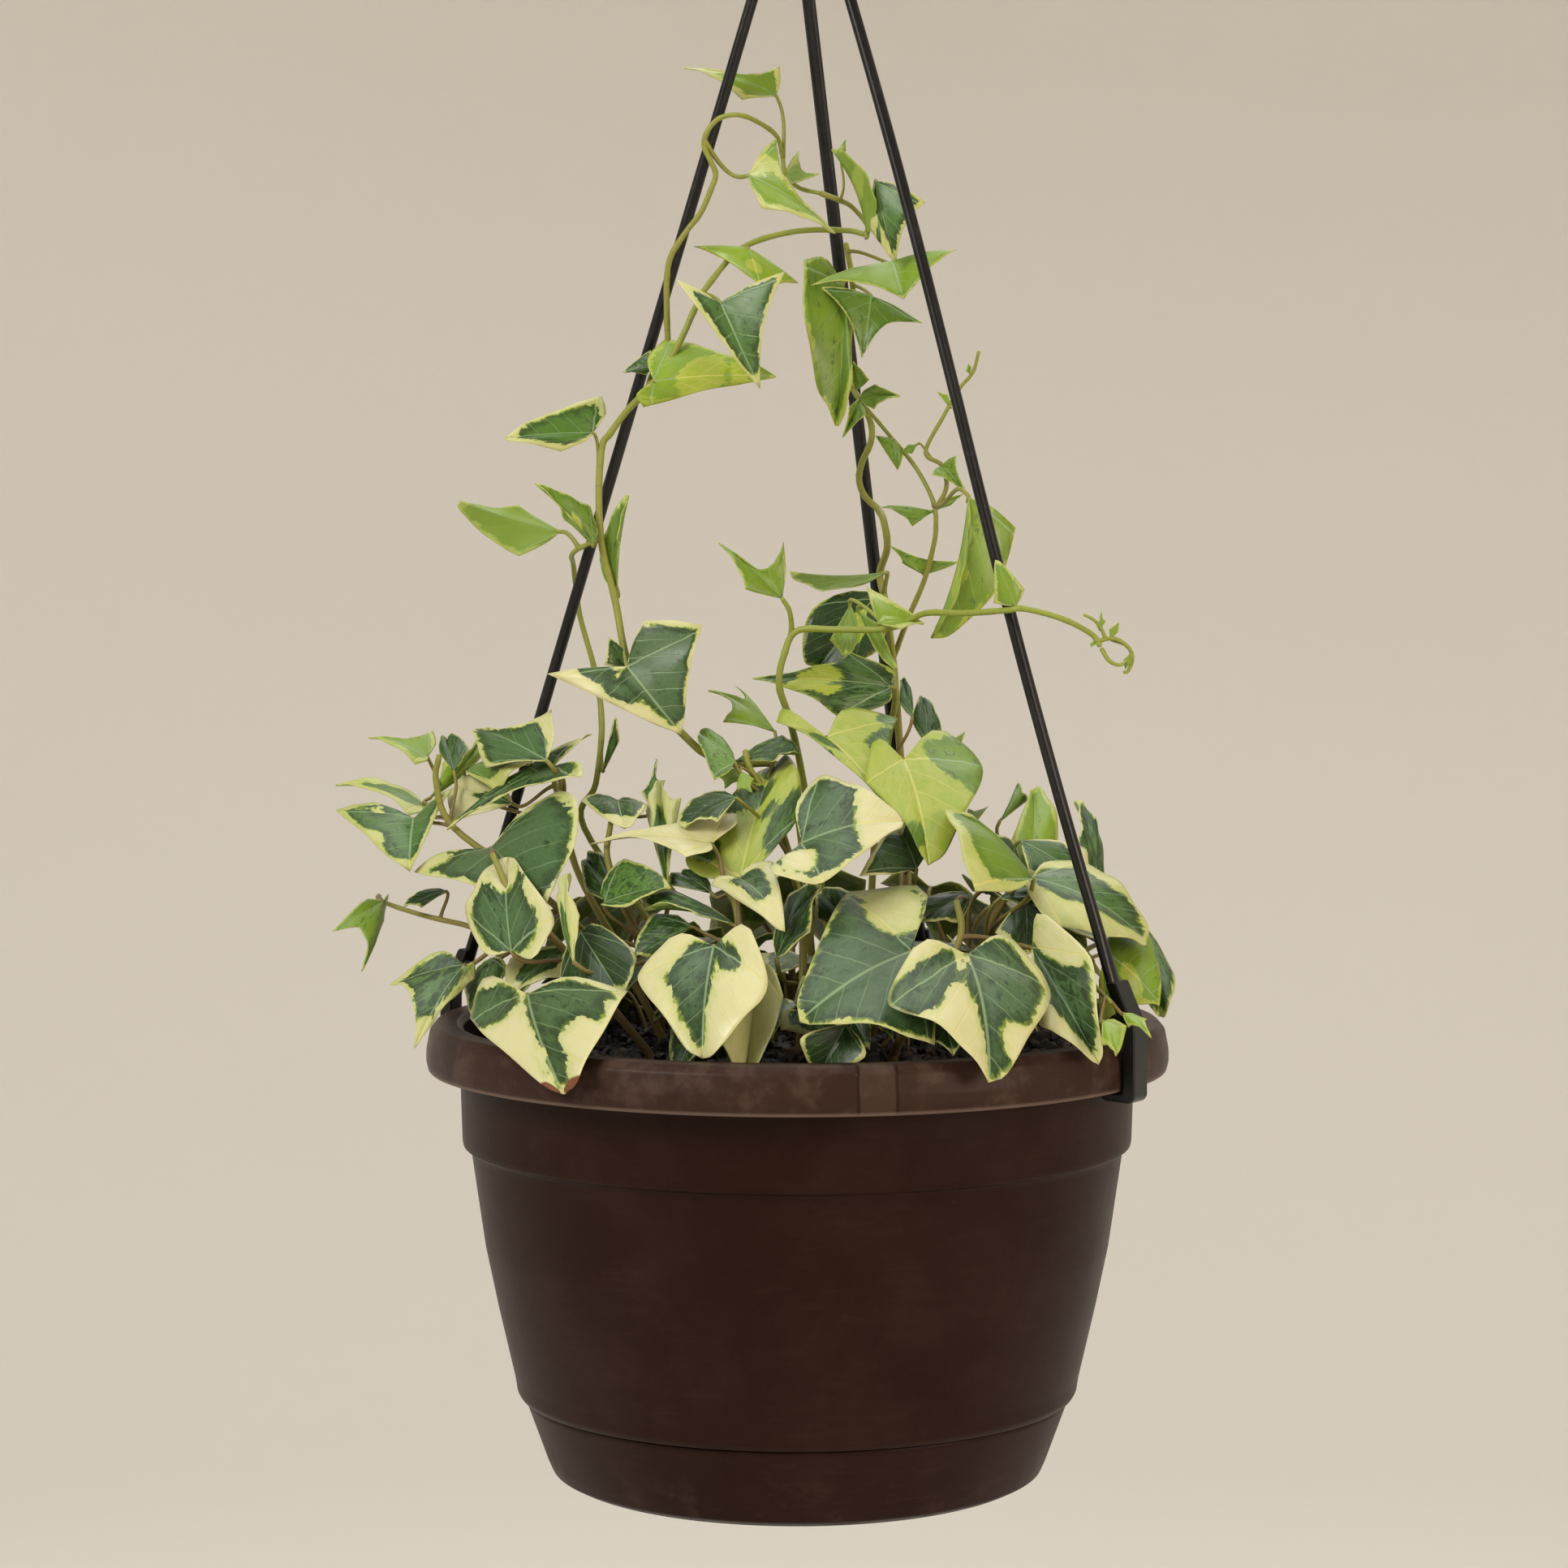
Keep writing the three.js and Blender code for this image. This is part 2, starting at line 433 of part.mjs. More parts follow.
    [[[56.5, 218, -20], [61, 218.5, -17], [64.5, 223.5, -10], [58, 223, -14]],
      [0, 0], [1, 1], [0.06, 0.05], [0, 0.49]],
    [[[40.5, 202.5, -41], [21, 200, -53], [34, 216, -29], [46, 221, -19]],
      [0.1, 0.2], [1.15, 1.1], [0.06, 0.05], [0, 0.32]],
    [[[39, 254, 22], [34.5, 258.5, 26], [35.5, 266.5, 35], [39, 261, 30]],
      [0.1, 0.1], [1.15, 1.15], [0.06, 0.05], [0, 0.85]],
    [[[44, 245, 32], [38.5, 252.5, 39], [42.5, 260.5, 48], [49, 249.5, 39]],
      [0.1, 0.1], [1.15, 1.15], [0.06, 0.05], [0, 0.83]],
  ],
  right_front: [
    [[[38.5, 174.5, -74], [46.5, 142.5, -111], [1, 151, -107], [17.5, 195, -49]],
      [0.1, 0.42], [1.1, 1.12], [0.07, 0.05], [0, 0.28]],
    [[[57.5, 173.5, -82], [87, 162, -75], [65, 130.5, -120], [27, 155, -113]],
      [0.28, 0.28], [1.12, 1], [0.08, 0.05], [0, 0.43]],
    [[[46, 158.5, -87], [60.5, 145, -95], [53, 139.5, -108], [28.5, 149, -102]],
      [0.1, 0.1], [1, 1], [0.06, 0.05], [0, 0.25]],
    [[[79.5, 176, -56], [100, 174, -73], [102, 136.5, -88], [81, 149, -85]],
      [0.32, 0], [1.1, 1.05], [0.06, 0.05], [0, 0.75]],
    [[[16.5, 149.5, -99], [24.5, 139.5, -108], [8, 134.5, -100], [0.5, 146, -104]],
      [0.1, 0.1], [1.2, 1.15], [0.06, 0.05], [0, 0.21]],
    [[[58.5, 194, -23], [55, 183.5, -36], [41.5, 184.5, -41], [42.5, 193, -31]],
      [0.1, 0.1], [1.1, 1.1], [0.06, 0.05], [0, 1]],
  ],
  right_outer: [
    [[[79, 199.5, -37], [96.5, 204.5, -12], [118, 177.5, -38], [86.5, 183, -53]],
      [0.1, 0.15], [1.1, 1.3], [0.1, 0.05], [0, 0.54]],
    [[[104.5, 174.5, -37], [108.5, 194.5, -8], [122.5, 156.5, -52], [102.5, 149, -57]],
      [0, 0.1], [1.4, 1], [0.07, 0.05], [1, 0.59]],
    [[[116, 183.5, -9], [127.5, 167, -27], [122.5, 153, -43], [113.5, 158.5, -37]],
      [0.1, 0.1], [1.2, 1.1], [0.06, 0.05], [1, 0.53]],
    [[[103.5, 151, -89], [111.5, 149.5, -85], [108, 139.5, -103], [103, 143, -98]],
      [0.1, 0.1], [1.1, 1.1], [0.06, 0.05], [1, 0.94]],
    [[[110.5, 153.5, -77], [118.5, 151.5, -79], [120, 145.5, -90], [112, 149, -82]],
      [0.1, 0.1], [0.9, 0.9], [0.06, 0.05], [1, 0.98]],
    [[[103, 191, -8], [94.5, 207.5, 0], [94, 225, 21], [103, 208, 12]],
      [0, 0], [1.1, 1.1], [0.05, 0.05], [0, 0.98]],
    [[[78.5, 199.5, -17], [72, 211, -8], [79.5, 229, 20], [88.5, 211, 2]],
      [0.1, 0.1], [1.1, 1.15], [0.06, 0.05], [0, 0.68]],
    [[[68.5, 218.5, 3], [72.5, 222, 9], [75, 232, 21], [78.5, 226, 17]],
      [0, 0], [0.9, 0.9], [0.06, 0.05], [0, 0.9]],
    [[[80, 199, -46], [60, 194.5, -68], [51, 222.5, -36], [63, 210, -38]],
      [0.1, 0.1], [1.2, 1], [0.1, 0.05], [0, 0.53]],
    [[[75, 201, -21], [64, 201.5, -27], [61, 212.5, -17], [72.5, 212.5, -10]],
      [0.1, 0.1], [1.1, 1.1], [0.06, 0.05], [0, 0.61]],
    [[[75.5, 212, -13], [96, 210.5, 0], [94.5, 200, -13], [78.5, 200, -24]],
      [0.05, 0], [1.15, 1.1], [0.06, 0.05], [0, 0.81]],
    [[[77, 191, -28], [86, 183.5, -30], [77, 173.5, -47], [67, 181, -45]],
      [0.1, 0.1], [1.15, 1.15], [0.06, 0.05], [0, 0.45]],
    [[[68.5, 192.5, -36], [79, 197, -24], [85.5, 192.5, -25], [77, 190.5, -33]],
      [0.1, 0.1], [1, 1], [0.06, 0.05], [0, 0.45]],
  ],
  vine_left: [
    [[[-69, 350, 14], [-80, 343.5, 10], [-99, 348, 10], [-66, 362.5, 18]],
      [0.1, 0.1], [1.1, 1.15], [0.06, 0.05], [0, 0.62]],
    [[[-80, 316.5, 24], [-94, 325.5, 28], [-114, 327, 20], [-94, 308.5, 20]],
      [0, 0], [1.05, 1.15], [0.06, 0.05], [1, 0.95]],
    [[[-69, 312, 6], [-79, 320.5, 2], [-88.5, 333, 2], [-70, 325, 10]],
      [0, 0.1], [1, 1], [0.06, 0.05], [1, 0.99]],
    [[[-61, 295, 14], [-67, 307, 17], [-57, 329, 14], [-59.5, 312.5, 11]],
      [0, 0], [1.1, 0.9], [0.05, 0.05], [0, 0.54]],
    [[[-57.5, 271, -2], [-32, 285, -4], [-39, 248, -8], [-84.5, 268.5, 0]],
      [0.36, 0.05], [1.02, 1.08], [0.06, 0.05], [0, 0.47]],
    [[[-58, 271, 4], [-65, 271.5, 0], [-63.5, 281, 4], [-58.5, 277, 4]],
      [0, 0], [1.1, 1], [0.04, 0.05], [0, 0.47]],
    [[[-65.5, 235.5, 34], [-63.5, 245.5, 32], [-61.5, 254, 32], [-60, 246, 32]],
      [0, 0], [1, 1.1], [0.05, 0.05], [1, 0.62]],
    [[[-7, 464, 20], [-18.5, 462.5, 16], [-38, 473.5, 20], [-6, 474, 26]],
      [0.05, 0.05], [1.1, 0.55], [0.1, 0.05], [2, 0.87], [-4, 455, 14]],
    [[[-16.5, 437, 2], [-7, 450, 6], [13, 417.5, -2], [-12, 426, -6]],
      [0.05, 0.05], [0.62, 1.1], [0.1, 0.05], [2, 0.6], [-23.5, 435.5, 10]],
    [[[-4, 437.5, 16], [-3.5, 434, 6], [7.5, 437.5, 10], [0.5, 445.5, 14]],
      [0, 0.1], [0.9, 0.6], [0.06, 0.05], [2, 0.93]],
    [[[24, 416.5, 11], [26.5, 428.5, 1], [12, 446, 3], [22, 429, 9]],
      [0, 0], [1.1, 1], [0.08, 0.05], [3, 0.94]],
    [[[15, 442.5, 8], [13, 445, 8], [16.5, 449.5, 8], [16.5, 445.5, 8]],
      [0, 0], [1, 1], [0.04, 0.05], [3, 0.27], [17.5, 434.5, 10]],
    [[[26.5, 435, 8], [43.5, 428, 2], [33.5, 408, 6], [25, 418.5, 8]],
      [0.1, 0.1], [0.95, 1.05], [0.07, 0.05], [3, 0.88], [25, 427.5, 14]],
    [[[-26, 394, -4], [-4, 404.5, -8], [-12.5, 365, -8], [-41, 402, -4]],
      [0.05, 0.05], [0.92, 1.1], [0.08, 0.05], [0, 0.82]],
    [[[-16.5, 412.5, 12], [0.5, 400.5, 16], [-12.5, 400, 6], [-35, 413, 18]],
      [0, 0], [1.1, 1], [0.06, 0.05], [0, 0.88]],
    [[[-48.5, 367.5, -1], [-44.5, 382, 11], [-7, 369, 5], [-52, 358.5, 1]],
      [0.1, 0.1], [1.05, 1.1], [0.07, 0.05], [0, 0.71]],
    [[[-48.5, 372.5, 5], [-51, 369.5, 7], [-59, 370.5, 7], [-49.5, 378, 11]],
      [0, 0], [1, 1], [0.04, 0.05], [0, 0.75]],
  ],
  vine_middle: [
    [[[58, 328.5, -4], [73.5, 318, 2], [45.5, 280.5, -4], [57, 309.5, -8]],
      [0.05, 0], [1.3, 1], [0.08, 0.05], [1, 0.58], [51.5, 323, 16]],
    [[[43, 302, 40], [35.5, 306, 40], [31.5, 312, 40], [55.5, 306.5, 40]],
      [0, 0], [0.9, 0.8], [0.05, 0.05], [1, 0.37]],
    [[[46, 323.5, 36], [39, 318.5, 37], [28.5, 325, 40], [39, 322.5, 43]],
      [0, 0], [1, 0.9], [0.05, 0.05], [1, 0.55]],
    [[[47, 324, 34], [50, 328, 34], [56.5, 329.5, 34], [52, 325.5, 34]],
      [0, 0], [1, 1], [0.04, 0.05], [1, 0.56]],
    [[[32.5, 348, 38], [36, 342.5, 35], [34, 337.5, 35], [26.5, 349, 38]],
      [0.1, 0], [1.15, 1.1], [0.06, 0.05], [1, 0.86]],
    [[[40.5, 346, 34], [39, 343, 34], [35.5, 343.5, 34], [37.5, 346, 34]],
      [0, 0], [1.1, 1.1], [0.04, 0.05], [2, 0.33], [41, 348, 33]],
    [[[49, 339, 32], [54, 342.5, 28], [57.5, 329.5, 26], [45.5, 336, 28]],
      [0, 0], [0.85, 0.9], [0.05, 0.05], [2, 0.3]],
    [[[20, 364.5, 40], [18, 369.5, 34], [19, 374, 32], [24.5, 368, 34]],
      [0, 0], [1, 1.2], [0.05, 0.05], [0, 0.82]],
    [[[21.5, 362, 42], [26.5, 366.5, 38], [35, 362.5, 34], [26, 358, 34]],
      [0.1, 0.1], [1, 1], [0.06, 0.05], [0, 0.81]],
    [[[21.5, 361.5, 42], [23.5, 356, 34], [15.5, 348.5, 30], [17.5, 358.5, 34]],
      [0, 0], [1.05, 1], [0.06, 0.05], [0, 0.8]],
    [[[52, 358.5, 29], [50, 360.5, 28], [47.5, 364, 28], [51, 363, 28]],
      [0, 0], [1, 1], [0.04, 0.05], [2, 0.66]],
    [[[58.5, 370, 26], [57, 371, 25], [58, 373.5, 25], [59, 372.5, 25]],
      [0, 0], [1, 1], [0.04, 0.05], [2, 0.87]],
    [[[32.5, 408, 16], [54, 412, 6], [36, 395.5, 2], [4.5, 400, 6]],
      [0.05, 0.05], [1.05, 0.95], [0.06, 0.05], [0, 0.99]],
    [[[25, 396.5, 28], [42.5, 387, 24], [22, 375.5, 22], [7.5, 399.5, 20]],
      [0, 0], [0.75, 0.9], [0.06, 0.05], [0, 0.95]],
    [[[15.5, 400, 30], [18, 375.5, 22], [13, 352.5, 18], [2, 408.5, 22]],
      [0, 0.1], [1.1, 1.5], [0.09, 0.05], [0, 0.96]],
  ],
  right_runner: [
    [[[-5, 294, 6], [-17.5, 297, -2], [-26.5, 313, 4], [-4.5, 313.5, 8]],
      [0, 0], [1, 0.42], [0.05, 0.05], [1, 0.92]],
    [[[18, 292, 14], [11, 280, 12], [16.5, 275, 10], [21.5, 282, 8]],
      [0, 0], [1.1, 1.1], [0.05, 0.05], [0, 0.64]],
    [[[20.5, 290, 12], [26.5, 277, 4], [34, 270.5, 6], [28.5, 284.5, 8]],
      [0, 0], [1.1, 1.1], [0.05, 0.05], [0, 0.64]],
    [[[27.5, 285.5, -6], [23.5, 298, -2], [43, 285.5, -8], [35.5, 283.5, -12]],
      [0, 0], [1.05, 1.1], [0.08, 0.05], [0, 0.67]],
    [[[74, 291.5, -55], [66.5, 292.5, -53], [67, 307, -53], [77, 297, -53]],
      [0, 0], [1.05, 1.15], [0.08, 0.05], [0, 0.89]],
    [[[106, 280.5, -46], [105.5, 283.5, -46], [109, 286, -46], [108.5, 282.5, -46]],
      [0, 0], [1.1, 1.1], [0.04, 0.05], [2, 0.52]],
    [[[112.5, 275, -46], [110.5, 273.5, -46], [111, 270, -46], [113, 272.5, -46]],
      [0, 0], [1.1, 1.1], [0.04, 0.05], [2, 0.83]],
    [[[102.5, 283.5, -47], [101.5, 284.5, -47], [103, 290, -47], [104.5, 286.5, -47]],
      [0, 0], [0.8, 0.8], [0.04, 0.05], [4, 0.58]],
    [[[101.5, 279, -46], [99.5, 277.5, -46], [99, 278.5, -46], [100.5, 280, -46]],
      [0, 0], [1, 1], [0.04, 0.05], [0, 0.99]],
  ],
  centre_back: [
    [[[32, 264, 26], [14.5, 253, 16], [-15, 267, 18], [18, 276, 28]],
      [0.15, 0.15], [1, 0.85], [0.06, 0.05], [0, 0.84]],
    [[[26, 294, 40], [29.5, 277, 34], [7.5, 271, 34], [6, 292.5, 38]],
      [0.2, 0.2], [1.2, 1.3], [0.06, 0.05], [0, 0.97]],
    [[[30, 302.5, 42], [14.5, 301, 42], [-2.5, 303, 36], [13, 297, 34]],
      [0, 0], [1, 1.05], [0.05, 0.05], [0, 1]],
  ],
};

function catmull(points) {
  return new THREE.CatmullRomCurve3(points, false, 'catmullrom', 0.5);
}

// The soil's surface lies between its centre's height and this one wherever a stem enters it.
const SURFACE_Z = 140;
const PEG_TOP_Z = 150;
const PEG_EXTRA = 0.2;

function stemCurve(points) {
  const spots = points.map(seen);
  if (spots[0].z <= SURFACE_Z) spots[0].setZ(PEG_TOP_Z - 3);
  return catmull(spots);
}

// The straight root of a stem that stands in the soil
function rootPeg([radius, first]) {
  const { x, y } = seen(first);
  const line = new THREE.LineCurve3(new THREE.Vector3(x, y, ROOT_Z), new THREE.Vector3(x, y, PEG_TOP_Z));
  return tube(line, radius + PEG_EXTRA, STEM_SIDES, 1);
}

// The half outline of a leaf, as steps towards the lobe (a) and along the midrib (b)
const SIDE_CURVES = {
  bud: { midrib: [0.5], swell: [[0.45, 0.5]] },
  young: { midrib: [0.45], swell: [[0.6, 0.34], [0.24, 0.74]] },
  grown: { midrib: [0.33, 0.66], swell: [[0.68, 0.27], [0.42, 0.54], [0.17, 0.82]] },
};
const BUD_REACH = 14;
const YOUNG_REACH = 33;

function sideOutline(ear, swell, curve) {
  const start = ear > 0.06 ? [[0.5, -ear]] : [];
  const sides = curve.swell.map(([a, b]) => [a * swell, Math.min(b * swell, 0.93)]);
  return [...start, [1, 0], ...sides];
}

// Triangles between the midrib and one half's outline, advancing along both from the notch to the tip
function zipped(rib, outline) {
  const triangles = [];
  let [i, j] = [0, 0];
  while (i < rib.length - 1) {
    const step = j < outline.length - 1 && outline[j + 1].b <= rib[i + 1].b;
    if (step) {
      triangles.push([rib[i].at, outline[j].at, outline[j + 1].at]);
      j += 1;
    } else {
      triangles.push([rib[i].at, outline[j].at, rib[i + 1].at]);
      i += 1;
    }
  }
  return triangles;
}

function bladeFrame([notch, right, tip, left]) {
  const spine = new THREE.Vector3().subVectors(tip, notch);
  const across = new THREE.Vector3().subVectors(right, left);
  const normal = new THREE.Vector3().crossVectors(spine, across).normalize();
  return { spine, normal, reach: spine.length() };
}

// One leaf: a thin blade about its middle surface and, in the same skin, the stalk that grows from
// its notch back to the stem
function leafBody(from, corners, ears, swells, [bow, cup], pull) {
  const [notch, right, , left] = corners;
  const { spine, normal, reach } = bladeFrame(corners);
  const kind = reach < BUD_REACH ? 'bud' : reach < YOUNG_REACH ? 'young' : 'grown';
  const curve = SIDE_CURVES[kind];
  const stalkHalf = kind === 'bud' ? BUD_STALK_HALF : STALK_HALF;
  const across = new THREE.Vector3().crossVectors(normal, spine).normalize();
  const place = (edge, a, b) => {
    const [u, v] = [THREE.MathUtils.clamp(a, 0, 1), THREE.MathUtils.clamp(b, 0, 1)];
    const rise = bow * reach * 4 * v * (1 - v) + cup * edge.length() * 4 * u * (1 - u);
    const point = notch.clone().addScaledVector(edge, a).addScaledVector(spine, b);
    return point.addScaledVector(normal, rise);
  };
  const points = [1, -1].map((side) => notch.clone().addScaledVector(across, side * stalkHalf));
  const ribSteps = [...curve.midrib, 1];
  const rib = ribSteps.map((b, i) => ({ at: points.length + i, b }));
  points.push(...ribSteps.map((b) => place(spine, 0, b)));
  const halves = [right, left].map((lobe, side) => {
    const edge = new THREE.Vector3().subVectors(lobe, notch);
    const steps = sideOutline(ears[side], swells[side], curve);
    const outline = steps.map(([, b], i) => ({ at: points.length + i, b }));
    points.push(...steps.map(([a, b]) => place(edge, a, b)));
    const triangles = zipped([{ at: side, b: 0 }, ...rib], outline);
    return side === 0 ? triangles : triangles.map((corner) => corner.reverse());
  });
  const skin = thickened(points, [[1, 0, rib[0].at], ...halves.flat()]);
  addStalk(skin, stalkCurve(from, corners, pull), across, stalkHalf);
  const geometry = new THREE.BufferGeometry();
  geometry.setAttribute('position', new THREE.Float32BufferAttribute(skin.position, 3));
  geometry.setIndex(skin.index);
  return geometry;
}

// Two like faces, half the blade's thickness to each side of the middle surface, and their rim,
// which stays open between the first two points, where the stalk begins
function thickened(points, triangles) {
  const normals = points.map(() => new THREE.Vector3());
  const edges = new Map();
  for (const corners of triangles) {
    const [p, q, r] = corners.map((c) => points[c]);
    const facing = new THREE.Vector3().subVectors(q, p).cross(new THREE.Vector3().subVectors(r, p));
    corners.forEach((c, i) => {
      normals[c].add(facing);
      edges.set(`${c} ${corners[(i + 1) % 3]}`, [c, corners[(i + 1) % 3]]);
    });
  }
  const count = points.length;
  const position = [];
  for (const offset of [BLADE / 2, -BLADE / 2]) {
    points.forEach((p, i) => {
      position.push(...p.clone().addScaledVector(normals[i].clone().normalize(), offset).toArray());
    });
  }
  const index = triangles.flatMap(([a, b, c]) => [a, b, c, count + a, count + c, count + b]);
  for (const [a, b] of edges.values()) {
    if (edges.has(`${b} ${a}`) || (a === 1 && b === 0)) continue;
    index.push(a, count + a, b, b, count + a, count + b);
  }
  return { position, index, mouth: [1, count + 1, count, 0] };
}

// The stalk leaves the stem, rises and meets the notch from behind.
function stalkCurve(from, corners, pull) {
  const [notch] = corners;
  const { spine, normal } = bladeFrame(corners);
  const span = from.distanceTo(notch);
  const arrival = spine.clone().normalize().multiplyScalar(0.45).addScaledVector(normal, 0.8).normalize();
  const bend = notch.clone().addScaledVector(arrival, -0.35 * span);
  const rise = from.clone().lerp(notch, 0.3).add(new THREE.Vector3(0, 0, 0.12 * span));
  return new THREE.CubicBezierCurve3(from, pull ?? rise, bend, notch);
}

function addStalk({ position, index, mouth }, curve, across, half) {
  const steps = curve.getLength() > 26 ? 3 : 2;
  let ring = mouth;
  for (let i = 1; i <= steps; i += 1) {
    const t = 1 - i / steps;
    const along = curve.getTangent(t);
    const side = across.clone().addScaledVector(along, -across.dot(along)).normalize();
    const back = new THREE.Vector3().crossVectors(along, side);
    const size = i === steps ? 0.7 * half : half;
    const start = position.length / 3;
    for (const [u, v] of [[-1, -1], [-1, 1], [1, 1], [1, -1]]) {
      const corner = curve.getPoint(t).addScaledVector(side, u * size).addScaledVector(back, v * size);
      position.push(...corner.toArray());
    }
    const next = [start, start + 1, start + 2, start + 3];
    ring.forEach((a, k) => {
      const [b, c, d] = [ring[(k + 1) % 4], next[(k + 1) % 4], next[k]];
      index.push(a, b, c, a, c, d);
    });
    ring = next;
  }
  index.push(ring[0], ring[1], ring[2], ring[0], ring[2], ring[3]);
}

// A place on a stem's faceted tube, as a share of its length
function onStem(samples, share) {
  const place = share * (samples.length - 1);
  const i = Math.min(Math.floor(place), samples.length - 2);
  return samples[i].clone().lerp(samples[i + 1], place - i);
}

function shoot(stems, leaves) {
  const pieces = [];
  const lines = stems.map(([radius, ...points]) => {
    const curve = stemCurve(points);
    const steps = Math.round(STEM_STEPS * (points.length + 1));
    pieces.push(tube(curve, radius, STEM_SIDES, steps));
    if (seen(points[0]).z <= SURFACE_Z) pieces.push(rootPeg([radius, points[0]]));
    return curve.getSpacedPoints(steps);
  });
  for (const [corners, ears, swells, arch, [stem, share], pull] of leaves) {
    const from = onStem(lines[stem], share);
    pieces.push(leafBody(from, corners.map(seen), ears, swells, arch, pull && seen(pull)));
  }
  return fused(pieces);
}

// Shoots on the far side grow by one rule: leaves climb out along a stem, alternately to its left
// and right, on a dome over the soil, and hang outwards. The draws are seeded.
const BACK_PLANS = [
  { name: 'back_left', azimuth: 135, near: 90, far: 114, spread: 10, count: 4 },
  { name: 'back_middle', azimuth: 92, near: 70, far: 114, spread: 10, count: 5 },
  { name: 'back_right', azimuth: 47, near: 91, far: 113, spread: 12, count: 4 },
  { name: 'side_right', azimuth: 8, near: 74, far: 94, spread: 8, count: 4 },
];
const BACK_SEED = 4916;
const DOME = { top: 200, fall: 0.0022 };
const BACK_LEAF = { least: 34, most: 41 };

function draws(seed) {
  let state = seed;
  return (least, most) => {
    state = (state * 16807) % 2147483647;
    return least + ((most - least) * state) / 2147483647;
  };
}

function domeHeight(radius) {
  return DOME.top - DOME.fall * radius * radius;
}

// The inverse of seen(): the place that a point takes when it is looked at from the front
function fromFront(point) {
  const k = (EYE_DISTANCE + point.y) / EYE_DISTANCE;
  return [point.x / k, EYE_HEIGHT + (point.z - EYE_HEIGHT) / k, point.y];
}

function backShoot({ name, azimuth, near, far, spread, count }, draw) {
  const root = near - 22;
  const line = [0, 0.35, 0.7, 1].map((t) => THREE.MathUtils.lerp(root + 6, far - 6, t));
  const foot = polar(root, azimuth, ROOT_Z);
  const course = line.map((r, i) => polar(r, azimuth, domeHeight(r) - 22 + 2 * i));
  const stems = [[1.3, fromFront(foot), ...course.map(fromFront)]];
  const leaves = [];
  for (let i = 0; i < count; i += 1) {
    const along = i / (count - 1);
    const side = i % 2 === 0 ? 1 : -1;
    const radius = THREE.MathUtils.lerp(near, far, along) + draw(-2, 2);
    const heading = azimuth + side * spread * draw(0.6, 1);
    const length = draw(BACK_LEAF.least, BACK_LEAF.most);
    const slope = THREE.MathUtils.degToRad(draw(32, 42));
    const twist = THREE.MathUtils.degToRad(side * draw(5, 25));
    const out = polar(1, heading, 0);
    const up = new THREE.Vector3(0, 0, 1);
    const normal = out.clone().multiplyScalar(Math.sin(slope)).addScaledVector(up, Math.cos(slope));
    const down = out.clone().multiplyScalar(Math.cos(slope)).addScaledVector(up, -Math.sin(slope));
    const spine = down.applyAxisAngle(normal, twist);
    const across = new THREE.Vector3().crossVectors(spine, normal);
    const middle = out.clone().multiplyScalar(radius).addScaledVector(up, domeHeight(radius) + draw(-2, 2));
    const notch = middle.addScaledVector(spine, -0.3 * length);
    const lobe = (reach, drop) => notch.clone().addScaledVector(across, reach * length)
      .addScaledVector(spine, drop * length);
    const corners = [notch, lobe(-0.5, 0.12), lobe(0, 1), lobe(0.5, 0.12)].map(fromFront);
    leaves.push([corners, [0.22, 0.22], [1.1, 1.1], [0.06, 0.05], [0, 0.45 + 0.5 * along]]);
  }
  return { name, stems, leaves };
}

const backDraw = draws(BACK_SEED);
const BACK_SHOOTS = BACK_PLANS.map((plan) => backShoot(plan, backDraw));

const MATERIALS = {
  pot: new THREE.MeshStandardMaterial({ color: '#33231c', roughness: 0.45, metalness: 0 }),
  tray: new THREE.MeshStandardMaterial({ color: '#2e201a', roughness: 0.5, metalness: 0 }),
  hanger: new THREE.MeshStandardMaterial({ color: '#1d1d1e', roughness: 0.4, metalness: 0 }),
  soil: new THREE.MeshStandardMaterial({ color: '#241811', roughness: 0.95, metalness: 0 }),
  leaf: new THREE.MeshStandardMaterial({ color: '#8f9a5c', roughness: 0.5, metalness: 0 }),
};

const group = new THREE.Group();

function addPart(name, body, material) {
  const mesh = new THREE.Mesh(geometryOf(body), material);
  mesh.name = name;
  group.add(mesh);
}

function roots() {
  const found = [];
  for (const stems of [...Object.values(STEMS), ...BACK_SHOOTS.map((plan) => plan.stems)]) {
    for (const [radius, first] of stems) {
      const spot = seen(first);
      if (spot.z <= SURFACE_Z) found.push({ x: spot.x, y: spot.y, radius });
    }
  }
  return found;
}

addPart('drip_tray', tray(), MATERIALS.tray);
addPart('pot', pot(), MATERIALS.pot);
addPart('soil', soil(roots()), MATERIALS.soil);
addPart('hanger_hook', hook(), MATERIALS.hanger);
for (const name of Object.keys(STRAND_AZIMUTHS)) {
  addPart(`hanger_strand_${name}`, strand(name), MATERIALS.hanger);
}
for (const [name, stems] of Object.entries(STEMS)) {
  addPart(`shoot_${name}`, shoot(stems, LEAVES[name]), MATERIALS.leaf);
}
for (const plan of BACK_SHOOTS) {
  addPart(`shoot_${plan.name}`, shoot(plan.stems, plan.leaves), MATERIALS.leaf);
}

export default group;
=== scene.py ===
"""Looks of a hanging pot with a variegated climbing plant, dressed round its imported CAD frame.

Every piece stands where its CAD node stands. The leaf and stem lists are in millimetres and the
same as in the part's source; meshes are in metres. Leaves, stems and stalks are finer here, with
veins, waved margins and painted variegation, and the pot, tray and hanger are turned smooth.
"""
import json
import math

import bmesh
import bpy
import numpy as np
from bpy.props import (
    FloatProperty,
    FloatVectorProperty,
    IntProperty,
    PointerProperty,
)
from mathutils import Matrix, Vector
from mathutils.bvhtree import BVHTree

